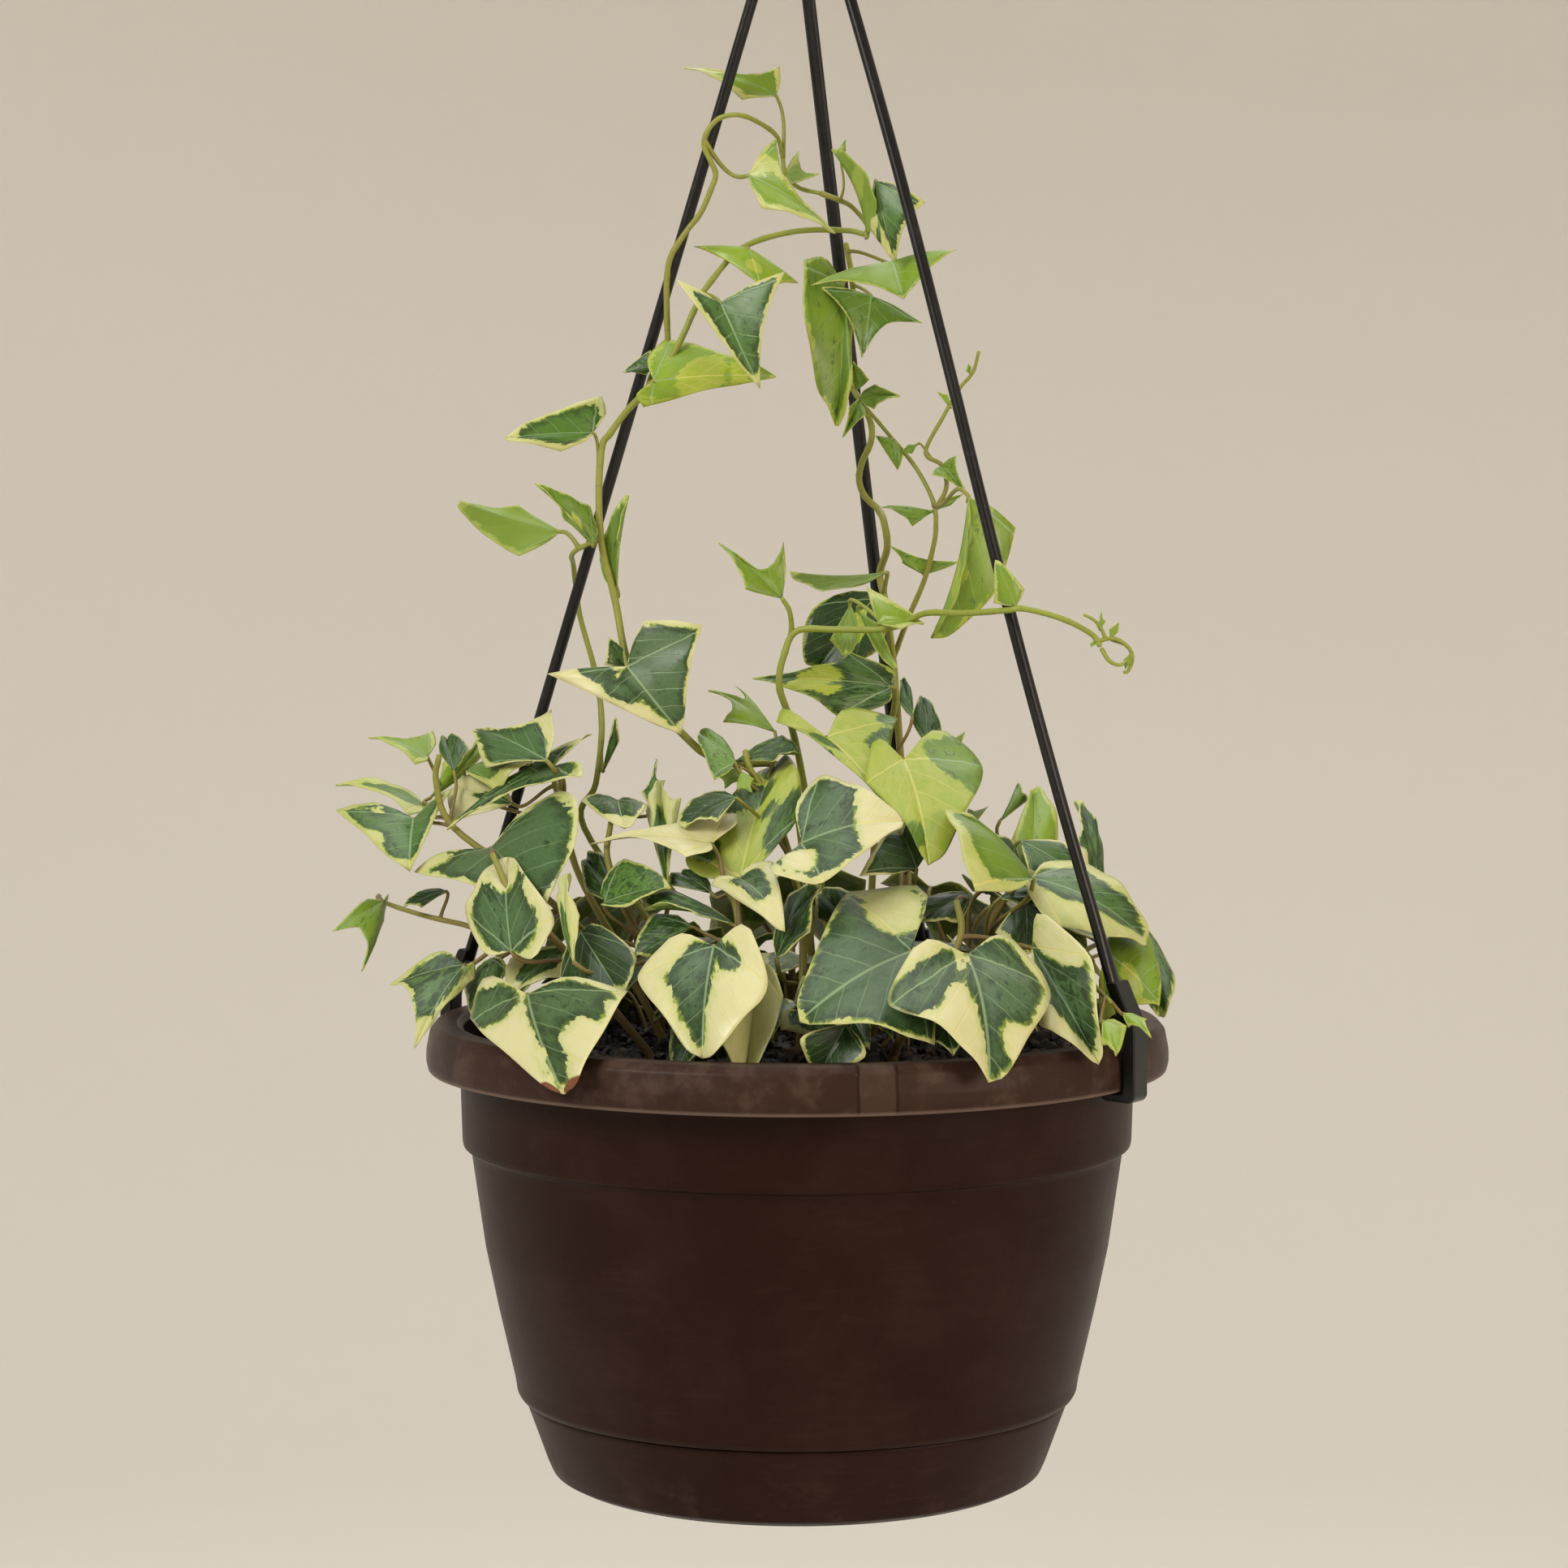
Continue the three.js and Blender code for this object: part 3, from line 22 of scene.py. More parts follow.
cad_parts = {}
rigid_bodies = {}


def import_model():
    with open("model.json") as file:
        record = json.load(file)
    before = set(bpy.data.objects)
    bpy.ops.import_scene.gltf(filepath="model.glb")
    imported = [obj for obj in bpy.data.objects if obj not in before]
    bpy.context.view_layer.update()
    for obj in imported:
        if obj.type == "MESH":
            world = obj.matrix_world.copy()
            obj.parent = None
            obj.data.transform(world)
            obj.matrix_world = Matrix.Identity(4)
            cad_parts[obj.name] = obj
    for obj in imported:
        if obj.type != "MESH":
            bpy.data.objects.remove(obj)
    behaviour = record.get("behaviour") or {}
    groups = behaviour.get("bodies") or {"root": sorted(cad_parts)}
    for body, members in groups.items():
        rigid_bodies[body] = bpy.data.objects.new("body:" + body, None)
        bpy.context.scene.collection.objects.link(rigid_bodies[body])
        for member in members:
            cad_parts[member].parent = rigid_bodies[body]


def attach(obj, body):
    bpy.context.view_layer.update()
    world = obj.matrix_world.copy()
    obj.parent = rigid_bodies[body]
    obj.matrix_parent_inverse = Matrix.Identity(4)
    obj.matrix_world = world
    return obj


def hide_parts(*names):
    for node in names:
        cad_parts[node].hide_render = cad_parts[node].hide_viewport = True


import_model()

bl_info = {
    "name": "Hanging Ivy Pot",
    "version": (1, 0, 0),
    "blender": (4, 5, 0),
    "location": "View3D > Sidebar > Ivy Pot",
    "description": "Dresses a hanging pot with its hanger and a variegated climbing plant",
    "category": "Object",
}

MM = 0.001
UP = np.array([0.0, 0.0, 1.0])

# The camera as the photo shows it: millimetres in the frame, pixels on the photo
EYE_DISTANCE = 1290.0
EYE_HEIGHT = 307.0
PHOTO_SIDE = 1932
FOCAL_PIXELS = 4700.0
AXIS_PIXEL = 982.0
EYE_PIXEL = 690.0
SENSOR = 36.0
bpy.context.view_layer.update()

# Vertex attributes that the leaf material reads, with their widths
NOTES = {"blade": 3, "paint": 3, "form": 3}

# Leaves come in three kinds by their length; rows and columns are those of one half
BUD_REACH = 14
YOUNG_REACH = 33
FULL_REACH = 40
LEAF_GRID = {"bud": (8, 3), "young": (16, 6), "grown": (28, 10)}
LOBE_ROUNDING = {"bud": (0, 0), "young": (2, 2), "grown": (6, 3)}
BLADE_SHARES = {"bud": 0.36, "young": 0.5, "grown": 0.5}
STALK_RADII = {"bud": 0.42, "young": 0.62, "grown": 0.78}
WAVE = 0.55
VEIN_DEPTH = 0.3
CUP = 0.05
BLADE = 0.7

# Heights of the stems' feet, of the soil and of the pegs that the stems stand in
ROOT_Z = 128
SURFACE_Z = 140
PEG_TOP_Z = 150

# Seeded draws: multiplier and cycle of the generator
DRAW_FACTOR = 16807
DRAW_CYCLE = 2147483647
GOLDEN_ANGLE = 137.5

# The shoots on the far side climb over a dome
DOME = {"top": 200, "fall": 0.0022}
BACK_LEAF = (34, 41)
BACK_SEED = 4916
# Name, azimuth, radius of the first and of the last leaf, spread to both sides, number of leaves
BACK_PLANS = [
    ("back_left", 135, 90, 114, 10, 4),
    ("back_middle", 92, 70, 114, 10, 5),
    ("back_right", 47, 91, 113, 12, 4),
    ("side_right", 8, 74, 94, 8, 4),
]
# A look: green tone, dark share, cream tone, cream margin on the left, on the right, at the tip
# and at the notch, patches (across, along, size, green +1 or cream -1), dry tip, rounded lobes
BACK_LOOKS = [
    (0.25, 0.4, 0.2, 0.16, 0.3, 0.2, 0.08, (), 0, 0),
    (0.6, 0.2, 0.55, 0.22, 0.16, 0.15, 0.1, (), 0, 0),
    (0.15, 0.5, 0.15, 0.12, 0.5, 0.25, 0.06, ((-0.5, 0.2, 0.2, -1),), 0, 1),
    (0.35, 0.3, 0.3, 0.2, 0.2, 0.2, 0.1, (), 0, 0),
]

# Low shaded leaves between the shoots: nearest and farthest from the axis, and mean height, in mm
UNDERGROWTH = {
    "seed": 271, "count": 58, "tries": 12, "near": 14, "front": 62, "far": 92, "height": 167,
}
# Looks of the low leaves, mostly deep green: partly their own colour, partly painted shade, since
# the bed between the shoots lies in shade
SHADED_LOOKS = [
    (0.3, 0.8, 0.3, 0.08, 0.08, 0.06, 0.04, (), 0, 0),
    (0.2, 0.6, 0.2, 0.14, 0.1, 0.1, 0.05, (), 0, 0),
    (0.4, 0.9, 0.5, 0.06, 0.06, 0.04, 0.03, (), 0, 0),
    (0.45, 0.4, 0.4, 0.3, 0.12, 0.15, 0.08, (), 0, 0),
]

# Stems and stalks: 0 is fresh green, 0.5 olive, 1 purple-brown
STALK_SHADE = {"front": 0.75, "back": 0.7, "undergrowth": 0.6}
STALK_SHADES = {
    "vine_left": 0.35, "vine_middle": 0.4, "right_runner": 0.2, "centre_top": 0.5,
    "centre_back": 0.4, "outer_left": 0.6, "upper_left": 0.55, "right_outer": 0.6,
}

# Each shoot's stems, read from the front: [radius, point, point, ...], and each point is
# [x, z, depth]
STEMS = {
    "outer_left": [
        [1.3, [-45.5, 131.5, -12], [-58, 167, -8], [-88.5, 196, 0], [-116, 216.5, 10],
         [-122, 231.5, 12], [-121, 241, 10]],
        [1, [-80, 189, -4], [-99.5, 181, 4], [-114, 184, 14], [-127, 187, 22], [-139, 191, 28],
         [-141.5, 193, 28]],
    ],
    "upper_left": [
        [1.3, [-33.5, 131.5, 14], [-55.5, 170, 22], [-73.5, 200, 26], [-80, 224.5, 24],
         [-83, 235.5, 22]],
    ],
    "front_left": [
        [1.4, [-50, 130.5, -54], [-63, 156, -50], [-80, 176.5, -44], [-95, 191.5, -36],
         [-103, 207.5, -26]],
    ],
    "mid_left": [
        [1.3, [-28, 131.5, -30], [-41.5, 161.5, -38], [-57, 186.5, -36], [-64, 205.5, -24],
         [-63, 218, -14]],
    ],
    "centre_front": [
        [1.4, [-14.5, 130.5, -62], [-15.5, 153.5, -74], [-19, 172.5, -66], [-20.5, 189, -56],
         [-24.5, 197, -50]],
    ],
    "centre_top": [
        [1.4, [1, 131.5, -30], [2, 161.5, -42], [1, 191.5, -30], [-7.5, 222, -8],
         [-15.5, 235.5, -6], [-17.5, 242.5, -4]],
    ],
    "right_centre": [
        [1.4, [25.5, 131.5, -6], [29.5, 164.5, -8], [35.5, 191.5, -4], [35, 216.5, 8],
         [29.5, 235.5, 22], [21.5, 248, 26]],
    ],
    "right_front": [
        [1.4, [32.5, 130.5, -58], [38, 150.5, -70], [50, 167, -72], [55.5, 181, -62],
         [54, 191.5, -50]],
    ],
    "right_outer": [
        [1.3, [46, 131.5, -16], [60, 163, -26], [66.5, 186.5, -24], [77, 200, -14],
         [84.5, 205.5, -8]],
        [1, [66.5, 186.5, -24], [87.5, 176.5, -36], [98, 165.5, -60], [106, 157.5, -79]],
    ],
    "vine_left": [
        [1.3, [7.5, 131.5, 4], [5, 172.5, 8], [1, 216.5, 18], [-4.5, 236.5, 16], [-21, 238, 6],
         [-31, 241.5, 0], [-39, 248.5, -2], [-50, 260, 2], [-57.5, 273.5, 6], [-61.5, 293.5, 12],
         [-66, 312, 12], [-67, 329, 14], [-66, 345, 16], [-63, 350, 15], [-57, 358, 12],
         [-47, 368, 6], [-39.5, 381, 4], [-34.5, 392, 6], [-30, 400, 10], [-18.5, 412.5, 16],
         [-1.5, 418, 18], [16, 418.5, 20], [23.5, 417, 18]],
        [1.1, [-21, 131, 24], [-44.5, 178, 34], [-72, 216.5, 38], [-68, 231.5, 36], [-66, 252, 38],
         [-68.5, 270, 44], [-73.5, 288.5, 46], [-75.5, 304.5, 42], [-76, 309, 25], [-71.5, 312, 14],
         [-66, 314, 12]],
        [1, [-51, 361.5, 8], [-49, 369.5, 12], [-44, 375.5, 11], [-44, 389.5, 10], [-44, 402, 9],
         [-42.5, 410, 8], [-37.5, 418, 7], [-32.5, 424.5, 6], [-29, 432.5, 5], [-27.5, 437.5, 5],
         [-29.5, 442.5, 4], [-31.5, 447.5, 4], [-30, 452.5, 3], [-26, 456.5, 3], [-19.5, 457.5, 1],
         [-13, 455, 6], [-7, 450.5, 12], [-5, 444, 16], [-4, 438, 16], [0.5, 433, 16],
         [8, 431, 12]],
        [0.9, [8, 431, 12], [13.5, 429, 12], [18.5, 426.5, 20], [23.5, 420.5, 20], [23.5, 417, 18]],
    ],
    "vine_middle": [
        [1.3, [36.5, 131.5, 40], [38, 181, 52], [35.5, 233, 58], [32.5, 271.5, 54], [30, 292, 58],
         [28, 302, 62], [30.5, 311, 52], [29.5, 319.5, 50], [27.5, 324, 57], [23, 328.5, 58],
         [21, 334, 57], [22, 340, 54], [25, 347, 50], [25, 353, 50], [22, 360, 44], [18, 367.5, 46],
         [17.5, 381, 36], [19, 392, 38], [18.5, 403, 36], [16.5, 414, 34]],
        [0.9, [32.5, 273.5, 54], [37.5, 287, 46], [43, 300, 40], [46, 311, 36], [47, 318.5, 34],
         [46, 327, 34], [40, 338.5, 38], [31, 349.5, 42], [23, 359, 44]],
        [0.8, [46.5, 323.5, 34], [50.5, 331.5, 34], [49, 339, 32], [43.5, 343.5, 32],
         [49.5, 355.5, 30], [55, 365, 28], [59.5, 370.5, 26], [61.5, 377.5, 24]],
    ],
    "right_runner": [
        [1.2, [13, 131.5, 30], [10.5, 181, 38], [2, 233, 34], [-2.5, 253, 16], [-6, 264.5, 9],
         [-4.5, 274.5, 8], [0, 283, 8], [13, 283.5, 4], [27, 283.5, 0], [35, 285, -6],
         [43.5, 289, -14], [57, 289, -36], [71, 290, -53], [77, 290.5, -55], [90, 287, -52],
         [99.5, 282, -46], [102.5, 278, -46]],
        [1, [-4.5, 275, 8], [-2, 282.5, 9], [-2.5, 289.5, 6], [-5, 294, 4]],
        [0.7, [101.5, 279.5, -46], [107, 280.5, -46], [112, 277.5, -44], [113.5, 273.5, -44],
         [112, 269.5, -46], [110.5, 269, -46]],
        [0.7, [103, 277, -46], [105.5, 273, -48], [109, 271.5, -48], [111.5, 273, -46]],
        [0.6, [104.5, 280, -46], [102.5, 284.5, -47], [100, 287, -48], [97, 288.5, -48]],
    ],
    "centre_back": [
        [1.3, [21.5, 131.5, 24], [24, 172.5, 36], [27, 222, 48], [31.5, 249.5, 46], [33.5, 263, 40],
         [31.5, 282.5, 46], [29.5, 296, 46]],
    ],
}

# Each shoot's leaves, read from the front: notch, right lobe, tip and left lobe, each as
# x, z and depth; right and left ear, right and left swell, bow, stem and share of its length where
# the stalk starts; the first seven values of a look; and what else a leaf has
LEAVES = {
    "outer_left": [
        [[-125, 240.5, 47, -129, 238, 42, -145, 247, 55, -123, 249, 60],
         [0.1, 0.1, 1.1, 0.55, 0.1, 0, 0.87], [0.85, 0.05, 0.8, 0.25, 0.4, 0.2, 0.2],
         {"cup": 0.06}],
        [[-116, 235.5, 26, -121, 242, 35, -118.5, 246.5, 42, -111, 243.5, 34],
         [0.1, 0.1, 1.2, 1.2, 0.06, 0, 0.81], [0.45, 0.6, 0.6, 0.06, 0.06, 0.1, 0.06]],
        [[-124, 226.5, 32, -119.5, 238.5, 41, -108.5, 246, 52, -112, 236, 49],
         [0, 0, 1.1, 1.1, 0.1, 0, 0.84], [0.9, 0, 0.8, 0.3, 0.2, 0.1, 0.06], {"cup": 0.1}],
        [[-126, 224, 31, -131, 221, 22, -156, 231, 39, -133, 229.5, 43],
         [0.12, 0.05, 1, 1, 0.08, 0, 0.81], [0.6, 0.15, 0.6, 0.7, 0.45, 0.3, 0.2]],
        [[-129.5, 219.5, 16, -116.5, 230, 26, -131, 202, -7, -156, 222, 21],
         [0, 0.2, 1.15, 1.15, 0.06, 0, 0.79], [0.35, 0.25, 0.6, 0.12, 0.2, 0.15, 0.06],
         {"patches": [[-0.5, 0.58, 0.16, -1], [-0.45, -0.05, 0.1, -1]]}],
        [[-140, 191.5, 12, -139.5, 186.5, 14, -147, 168, -14, -157, 181.5, -5],
         [0.2, 0.2, 1, 0.75, 0.06, 1, 1], [0.8, 0.35, 0.9, 0.06, 0.08, 0.1, 0.06]],
        [[-118.5, 195, 22, -127, 189.5, 16, -133, 190, 16, -126, 195.5, 22],
         [0.1, 0.1, 1.1, 1.1, 0.06, 1, 0.66], [0.35, 0.9, 0.4, 0.1, 0.1, 0.1, 0.06]],
    ],
    "upper_left": [
        [[-84.5, 239, -1, -105.5, 237, 14, -108.5, 250, 33, -83, 256.5, 23],
         [0.05, 0.1, 1.05, 0.75, 0.05, 0, 0.88], [0.2, 0.2, 0.2, 0.42, 0.15, 0.08, 0.05]],
        [[-112.5, 235.5, 34, -101.5, 238, 33, -89, 237.5, 19, -101, 228, 10],
         [0.1, 0.1, 1.1, 1.2, 0.1, 0, 0.83], [0.6, 0.2, 0.7, 0.25, 0.3, 0.2, 0.2],
         {"cup": 0.1, "pull": [-94, 221, 0]}],
        [[-83, 237, 10, -72.5, 233.5, -6, -118.5, 216, 7, -69.5, 248.5, 24],
         [0.12, 0.12, 0.9, 1, 0.05, 0, 0.83], [0.25, 0.45, 0.3, 0.3, 0.12, 0.1, 0.06]],
        [[-96, 224.5, 16, -116.5, 218.5, 21, -115.5, 230, 34, -103, 234, 32],
         [0.1, 0.1, 1.1, 1.1, 0.06, 0, 0.95], [0.3, 0, 0.15, 0.9, 0.7, 0.5, 0.3]],
    ],
    "front_left": [
        [[-103.5, 209.5, -1, -81, 229.5, 4, -85, 190.5, -40, -129.5, 201.5, -2],
         [0, 0.1, 1.5, 1.2, 0.07, 0, 1], [0.15, 0.2, 0.3, 0.1, 0.1, 0.06, 0.05],
         {"patches": [[0.62, -0.12, 0.15, -1], [0.3, -0.1, 0.08, -1], [-0.72, -0.03, 0.13, -1]]}],
        [[-96.5, 174.5, -54, -113, 186.5, -30, -97.5, 206.5, -19, -80.5, 185, -54],
         [0.24, 0.24, 1.05, 1.08, 0.06, 0, 0.43], [0.15, 0.3, 0.12, 0.32, 0.2, 0.46, 0.05],
         {"patches": [[-0.22, 0.6, 0.09, 1], [-0.2, 0.74, 0.06, 1], [0.15, 0.66, 0.16, -1],
          [-0.05, 0.85, 0.1, -1]], "rounded": 1}],
        [[-112.5, 170, -36, -109, 165, -38, -129.5, 142, -69, -138, 163.5, -43],
         [0.1, 0.25, 1.1, 0.9, 0.08, 0, 0.66], [0.35, 0.5, 0.4, 0.12, 0.5, 0.3, 0.08]],
        [[-103.5, 172, -27, -97, 169, -35, -107, 148, -50, -112.5, 163, -32],
         [0.1, 0.1, 1.1, 1.1, 0.06, 0, 0.6], [0.2, 0.4, 0.3, 0.1, 0.1, 0.1, 0.06], {"rounded": 1}],
        [[-91, 160, -68, -57.5, 161.5, -87, -79, 126.5, -113, -110.5, 152, -58],
         [0.12, 0.3, 1.22, 1.18, 0.08, 0, 0.24], [0.15, 0.3, 0.05, 0.93, 0.12, 0.05, 0.05],
         {"patches": [[-0.62, 0.02, 0.22, 1], [0.55, 0.64, 0.24, -1],
          [0.28, 0.86, 0.1, -1]], "dry": 1}],
        [[-79, 176, -42, -80, 166, -53, -96, 160.5, -47, -97, 172, -33],
         [0.1, 0.1, 1.1, 1.1, 0.06, 0, 0.33], [0.4, 0.35, 0.3, 0.55, 0.35, 0.2, 0.1]],
    ],
    "mid_left": [
        [[-73, 181, -48, -55, 175.5, -63, -60, 160.5, -77, -81, 162.5, -63],
         [0.25, 0.1, 1.25, 1.1, 0.06, 0, 0.43], [0.2, 0.95, 0.3, 0.05, 0.05, 0.1, 0.06],
         {"rounded": 1}],
        [[-75.5, 171, -72, -79, 186.5, -50, -76.5, 200.5, -39, -73, 186.5, -60],
         [0, 0, 1.1, 1.1, 0.06, 0, 0.37], [0.5, 0, 0.45, 0.75, 0.6, 0.5, 0.2]],
        [[-60.5, 225.5, -5, -50, 224, -11, -58.5, 216.5, -25, -74, 226, 3],
         [0.25, 0.25, 1.25, 1.3, 0.06, 0, 0.97], [0.3, 0.6, 0.2, 0.14, 0.14, 0.3, 0.06],
         {"rounded": 1}],
        [[-65, 191, -45, -59.5, 206, -28, -42.5, 196, -50, -56.5, 189.5, -55],
         [0.2, 0.25, 1.1, 1.15, 0.06, 0, 0.46], [0.5, 0.45, 0.55, 0.12, 0.1, 0.1, 0.06],
         {"rounded": 1}],
        [[-44, 196.5, -39, -51, 222, -8, -45.5, 232, 8, -39, 226, -8], [0, 0, 1, 0.9, 0.05, 0, 0.4],
         [0.5, 0.1, 0.45, 0.62, 0.55, 0.4, 0.2]],
        [[-48.5, 224.5, 4, -52.5, 228.5, 10, -47.5, 240, 20, -44.5, 232.5, 11],
         [0.1, 0.1, 0.7, 0.7, 0.05, 0, 1], [0.5, 0.3, 0.5, 0.2, 0.2, 0.1, 0.06]],
        [[-60, 191, -30, -71.5, 195, -19, -71, 206, -8, -63, 206, -12],
         [0.1, 0.1, 1.1, 1.1, 0.06, 0, 0.45], [0.4, 0.6, 0.4, 0.12, 0.12, 0.1, 0.06]],
    ],
    "centre_front": [
        [[-29, 211, -39, -37.5, 206, -51, -70, 211, -22, -20.5, 221.5, -22],
         [0.1, 0.1, 0.9, 0.75, 0.07, 0, 1], [0.3, 0, 0.1, 1.3, 0.9, 0.5, 0.3]],
        [[-19.5, 199, -59, -8, 205, -47, -4, 181.5, -83, -30.5, 197, -56],
         [0.1, 0.1, 1.05, 1.35, 0.12, 0, 0.73], [0.15, 0.35, 0.15, 0.5, 0.5, 0.4, 0.2],
         {"rounded": 1, "cup": 0.1}],
        [[-28, 176.5, -82, -8, 164, -98, -32, 138.5, -108, -55.5, 166.5, -83],
         [0.34, 0.22, 1.2, 1.1, 0.08, 0, 0.36], [0.1, 0.35, 0.12, 0.42, 0.9, 0.1, 0.1],
         {"patches": [[0.3, 0.04, 0.13, 1], [0.1, 0, 0.1, 1], [-0.16, 0.2, 0.16, 1],
          [-0.12, 0.42, 0.15, 1], [-0.1, 0.62, 0.09, 1]], "rounded": 1}],
        [[-13.5, 171, -78, -4.5, 159.5, -91, -17.5, 131.5, -97, -29.5, 150, -98],
         [0.1, 0.1, 1.2, 1.1, 0.05, 0, 0.26], [0.5, 0, 0.35, 1.2, 1.1, 0.4, 0.2]],
        [[-29, 194.5, -39, -44.5, 197, -32, -39.5, 201, -29, -31.5, 201.5, -31],
         [0.1, 0.1, 1.1, 1.1, 0.06, 0, 0.93], [0.35, 0.6, 0.4, 0.12, 0.12, 0.1, 0.06]],
        [[-21, 183.5, -64, -34, 186.5, -62, -51.5, 188.5, -50, -40, 193.5, -42],
         [0, 0, 1.1, 1.1, 0.08, 0, 0.48], [0.35, 0.6, 0.4, 0.12, 0.12, 0.1, 0.06]],
        [[-35.5, 183, -55, -50, 172, -62, -54.5, 172.5, -60, -48.5, 187.5, -46],
         [0.1, 0.1, 1.1, 1.1, 0.06, 0, 0.58], [0.35, 0.6, 0.4, 0.12, 0.12, 0.1, 0.06]],
    ],
    "centre_top": [
        [[-19, 199.5, -42, -40, 205, -31, -7, 238, 7, 1, 218, -23],
         [0.1, 0.1, 1.05, 1.25, 0.06, 0, 0.35], [0.52, 0.5, 0.95, 1.3, 1.3, 0.1, 0],
         {"patches": [[-0.75, 0.1, 0.22, 1], [0, 0.62, 0.13, 1], [-0.2, 0.88, 0.14, 1],
          [0.35, 0.5, 0.1, 1], [0.6, 0.12, 0.1, 1], [-0.3, 0.35, 0.08, 1]], "rounded": 1}],
        [[1.5, 211, -56, 6, 234.5, -26, 36, 218.5, -46, 7, 196, -76],
         [0.12, 0.38, 1.05, 1.2, 0.08, 0, 0.38], [0.12, 0.3, 0.08, 0.12, 0.12, 0.5, 0.03],
         {"patches": [[-0.42, -0.08, 0.17, -1], [-0.55, 0.3, 0.14, 1]], "rounded": 1}],
        [[-20.5, 226.5, -28, -27, 218.5, -40, -38, 216.5, -35, -31.5, 228, -18],
         [0.1, 0.1, 1.05, 1.25, 0.06, 0, 0.62], [0.3, 0.7, 0.35, 0.1, 0.1, 0.1, 0.06]],
        [[-21, 238.5, -14, -28, 232.5, -22, -33, 248.5, -1, -24.5, 246, -2],
         [0.1, 0.1, 1.2, 1.15, 0.06, 0, 0.8], [0.6, 0.35, 0.7, 0.05, 0.05, 0.04, 0.03]],
        [[-21, 236.5, -8, -28, 234.5, -9, -24.5, 229.5, -15, -18.5, 232.5, -13],
         [0.1, 0.1, 0.8, 0.8, 0.05, 0, 0.92], [0.6, 0.35, 0.7, 0.05, 0.05, 0.04, 0.03]],
        [[-20.5, 239, -2, -6, 247.5, 9, 1, 241.5, -2, -8, 238.5, -8],
         [0, 0, 1.05, 1.05, 0.06, 0, 0.83], [0.45, 0.6, 0.6, 0.03, 0.03, 0.03, 0.03]],
        [[-7.5, 249, 11, -25, 252.5, 13, -30, 263, 30, -21, 264.5, 34],
         [0, 0, 0.8, 0.6, 0.08, 0, 0.86], [0.85, 0.15, 0.9, 0.08, 0.08, 0.05, 0.04]],
        [[-19, 235.5, -13, -20.5, 229.5, -20, -15, 228, -22, -14.5, 233, -17],
         [0.1, 0.1, 0.8, 0.8, 0.05, 0, 0.91], [0.85, 0.15, 0.9, 0.08, 0.08, 0.05, 0.04]],
        [[-7, 172, -77, -4.5, 189.5, -52, 8, 196.5, -50, 4.5, 181, -72],
         [0.1, 0.1, 1.05, 1.1, 0.06, 0, 0.19], [0.3, 0.6, 0.3, 0.12, 0.12, 0.1, 0.06]],
        [[17.5, 183, -54, 6, 185.5, -52, 7.5, 194.5, -43, 18.5, 194.5, -42],
         [0.1, 0.1, 1.1, 1.1, 0.06, 0, 0.21], [0.3, 0.6, 0.3, 0.12, 0.12, 0.1, 0.06]],
    ],
    "right_centre": [
        [[10, 247, -1, 34, 253, 10, 32, 221, -30, -7, 252.5, 5],
         [0.25, 0.25, 0.95, 0.9, 0.07, 0, 0.75], [0.55, 0.4, 0.95, 1.3, 1.3, 0.2, 0.2],
         {"patches": [[0.62, 0.35, 0.22, 1], [0.95, 0, 0.14, 1], [-0.3, 0.2, 0.12, 1],
          [-0.55, 0.45, 0.1, 1]]}],
        [[36, 239.5, -14, 64, 238, -4, 44.5, 204, -50, 21.5, 231.5, -25],
         [0.3, 0.3, 1.15, 1.05, 0.07, 0, 0.61], [0.7, 0.3, 1, 1.3, 1.3, 0.2, 0.2],
         {"patches": [[0.75, 0.02, 0.28, 1], [0.82, 0.3, 0.14, 1], [0.45, -0.08, 0.12, 1],
          [-0.2, 0.75, 0.12, 1]], "rounded": 1}],
        [[41.5, 239, 9, 60.5, 238.5, 16, 54.5, 232.5, 7, 57, 249, 26],
         [0, 0.1, 1, 1, 0.06, 0, 0.71], [0.2, 0.9, 0.3, 0.06, 0.06, 0.1, 0.06]],
        [[56.5, 218, -20, 61, 218.5, -17, 64.5, 223.5, -10, 58, 223, -14],
         [0, 0, 1, 1, 0.06, 0, 0.49], [0.2, 0.9, 0.3, 0.06, 0.06, 0.1, 0.06]],
        [[40.5, 202.5, -41, 21, 200, -53, 34, 216, -29, 46, 221, -19],
         [0.1, 0.2, 1.15, 1.1, 0.06, 0, 0.32], [0.12, 0.3, 0.1, 0.12, 0.12, 0.2, 0.06], {"dry": 1}],
        [[39, 254, 22, 34.5, 258.5, 26, 35.5, 266.5, 35, 39, 261, 30],
         [0.1, 0.1, 1.15, 1.15, 0.06, 0, 0.85], [0.25, 0.45, 0.3, 0.04, 0.04, 0.04, 0.06]],
        [[44, 245, 32, 38.5, 252.5, 39, 42.5, 260.5, 48, 49, 249.5, 39],
         [0.1, 0.1, 1.15, 1.15, 0.06, 0, 0.83], [0.25, 0.45, 0.3, 0.04, 0.04, 0.04, 0.06]],
    ],
    "right_front": [
        [[38.5, 174.5, -74, 46.5, 142.5, -111, 1, 151, -107, 17.5, 195, -49],
         [0.1, 0.42, 1.1, 1.12, 0.07, 0, 0.28], [0.1, 0.25, 0.35, 0.07, 0.05, 0.04, 0.03],
         {"patches": [[-0.5, -0.1, 0.22, -1]]}],
        [[57.5, 173.5, -82, 87, 162, -75, 65, 130.5, -120, 27, 155, -113],
         [0.28, 0.28, 1.12, 1, 0.08, 0, 0.43], [0.15, 0.35, 0.12, 0.85, 0.14, 0.04, 0.03],
         {"patches": [[-0.33, 0.04, 0.17, 1], [-0.56, 0.08, 0.22, 1], [-0.8, 0.08, 0.16, 1],
          [0.45, 0.7, 0.18, -1], [0.8, 0.42, 0.14, -1]], "rounded": 1}],
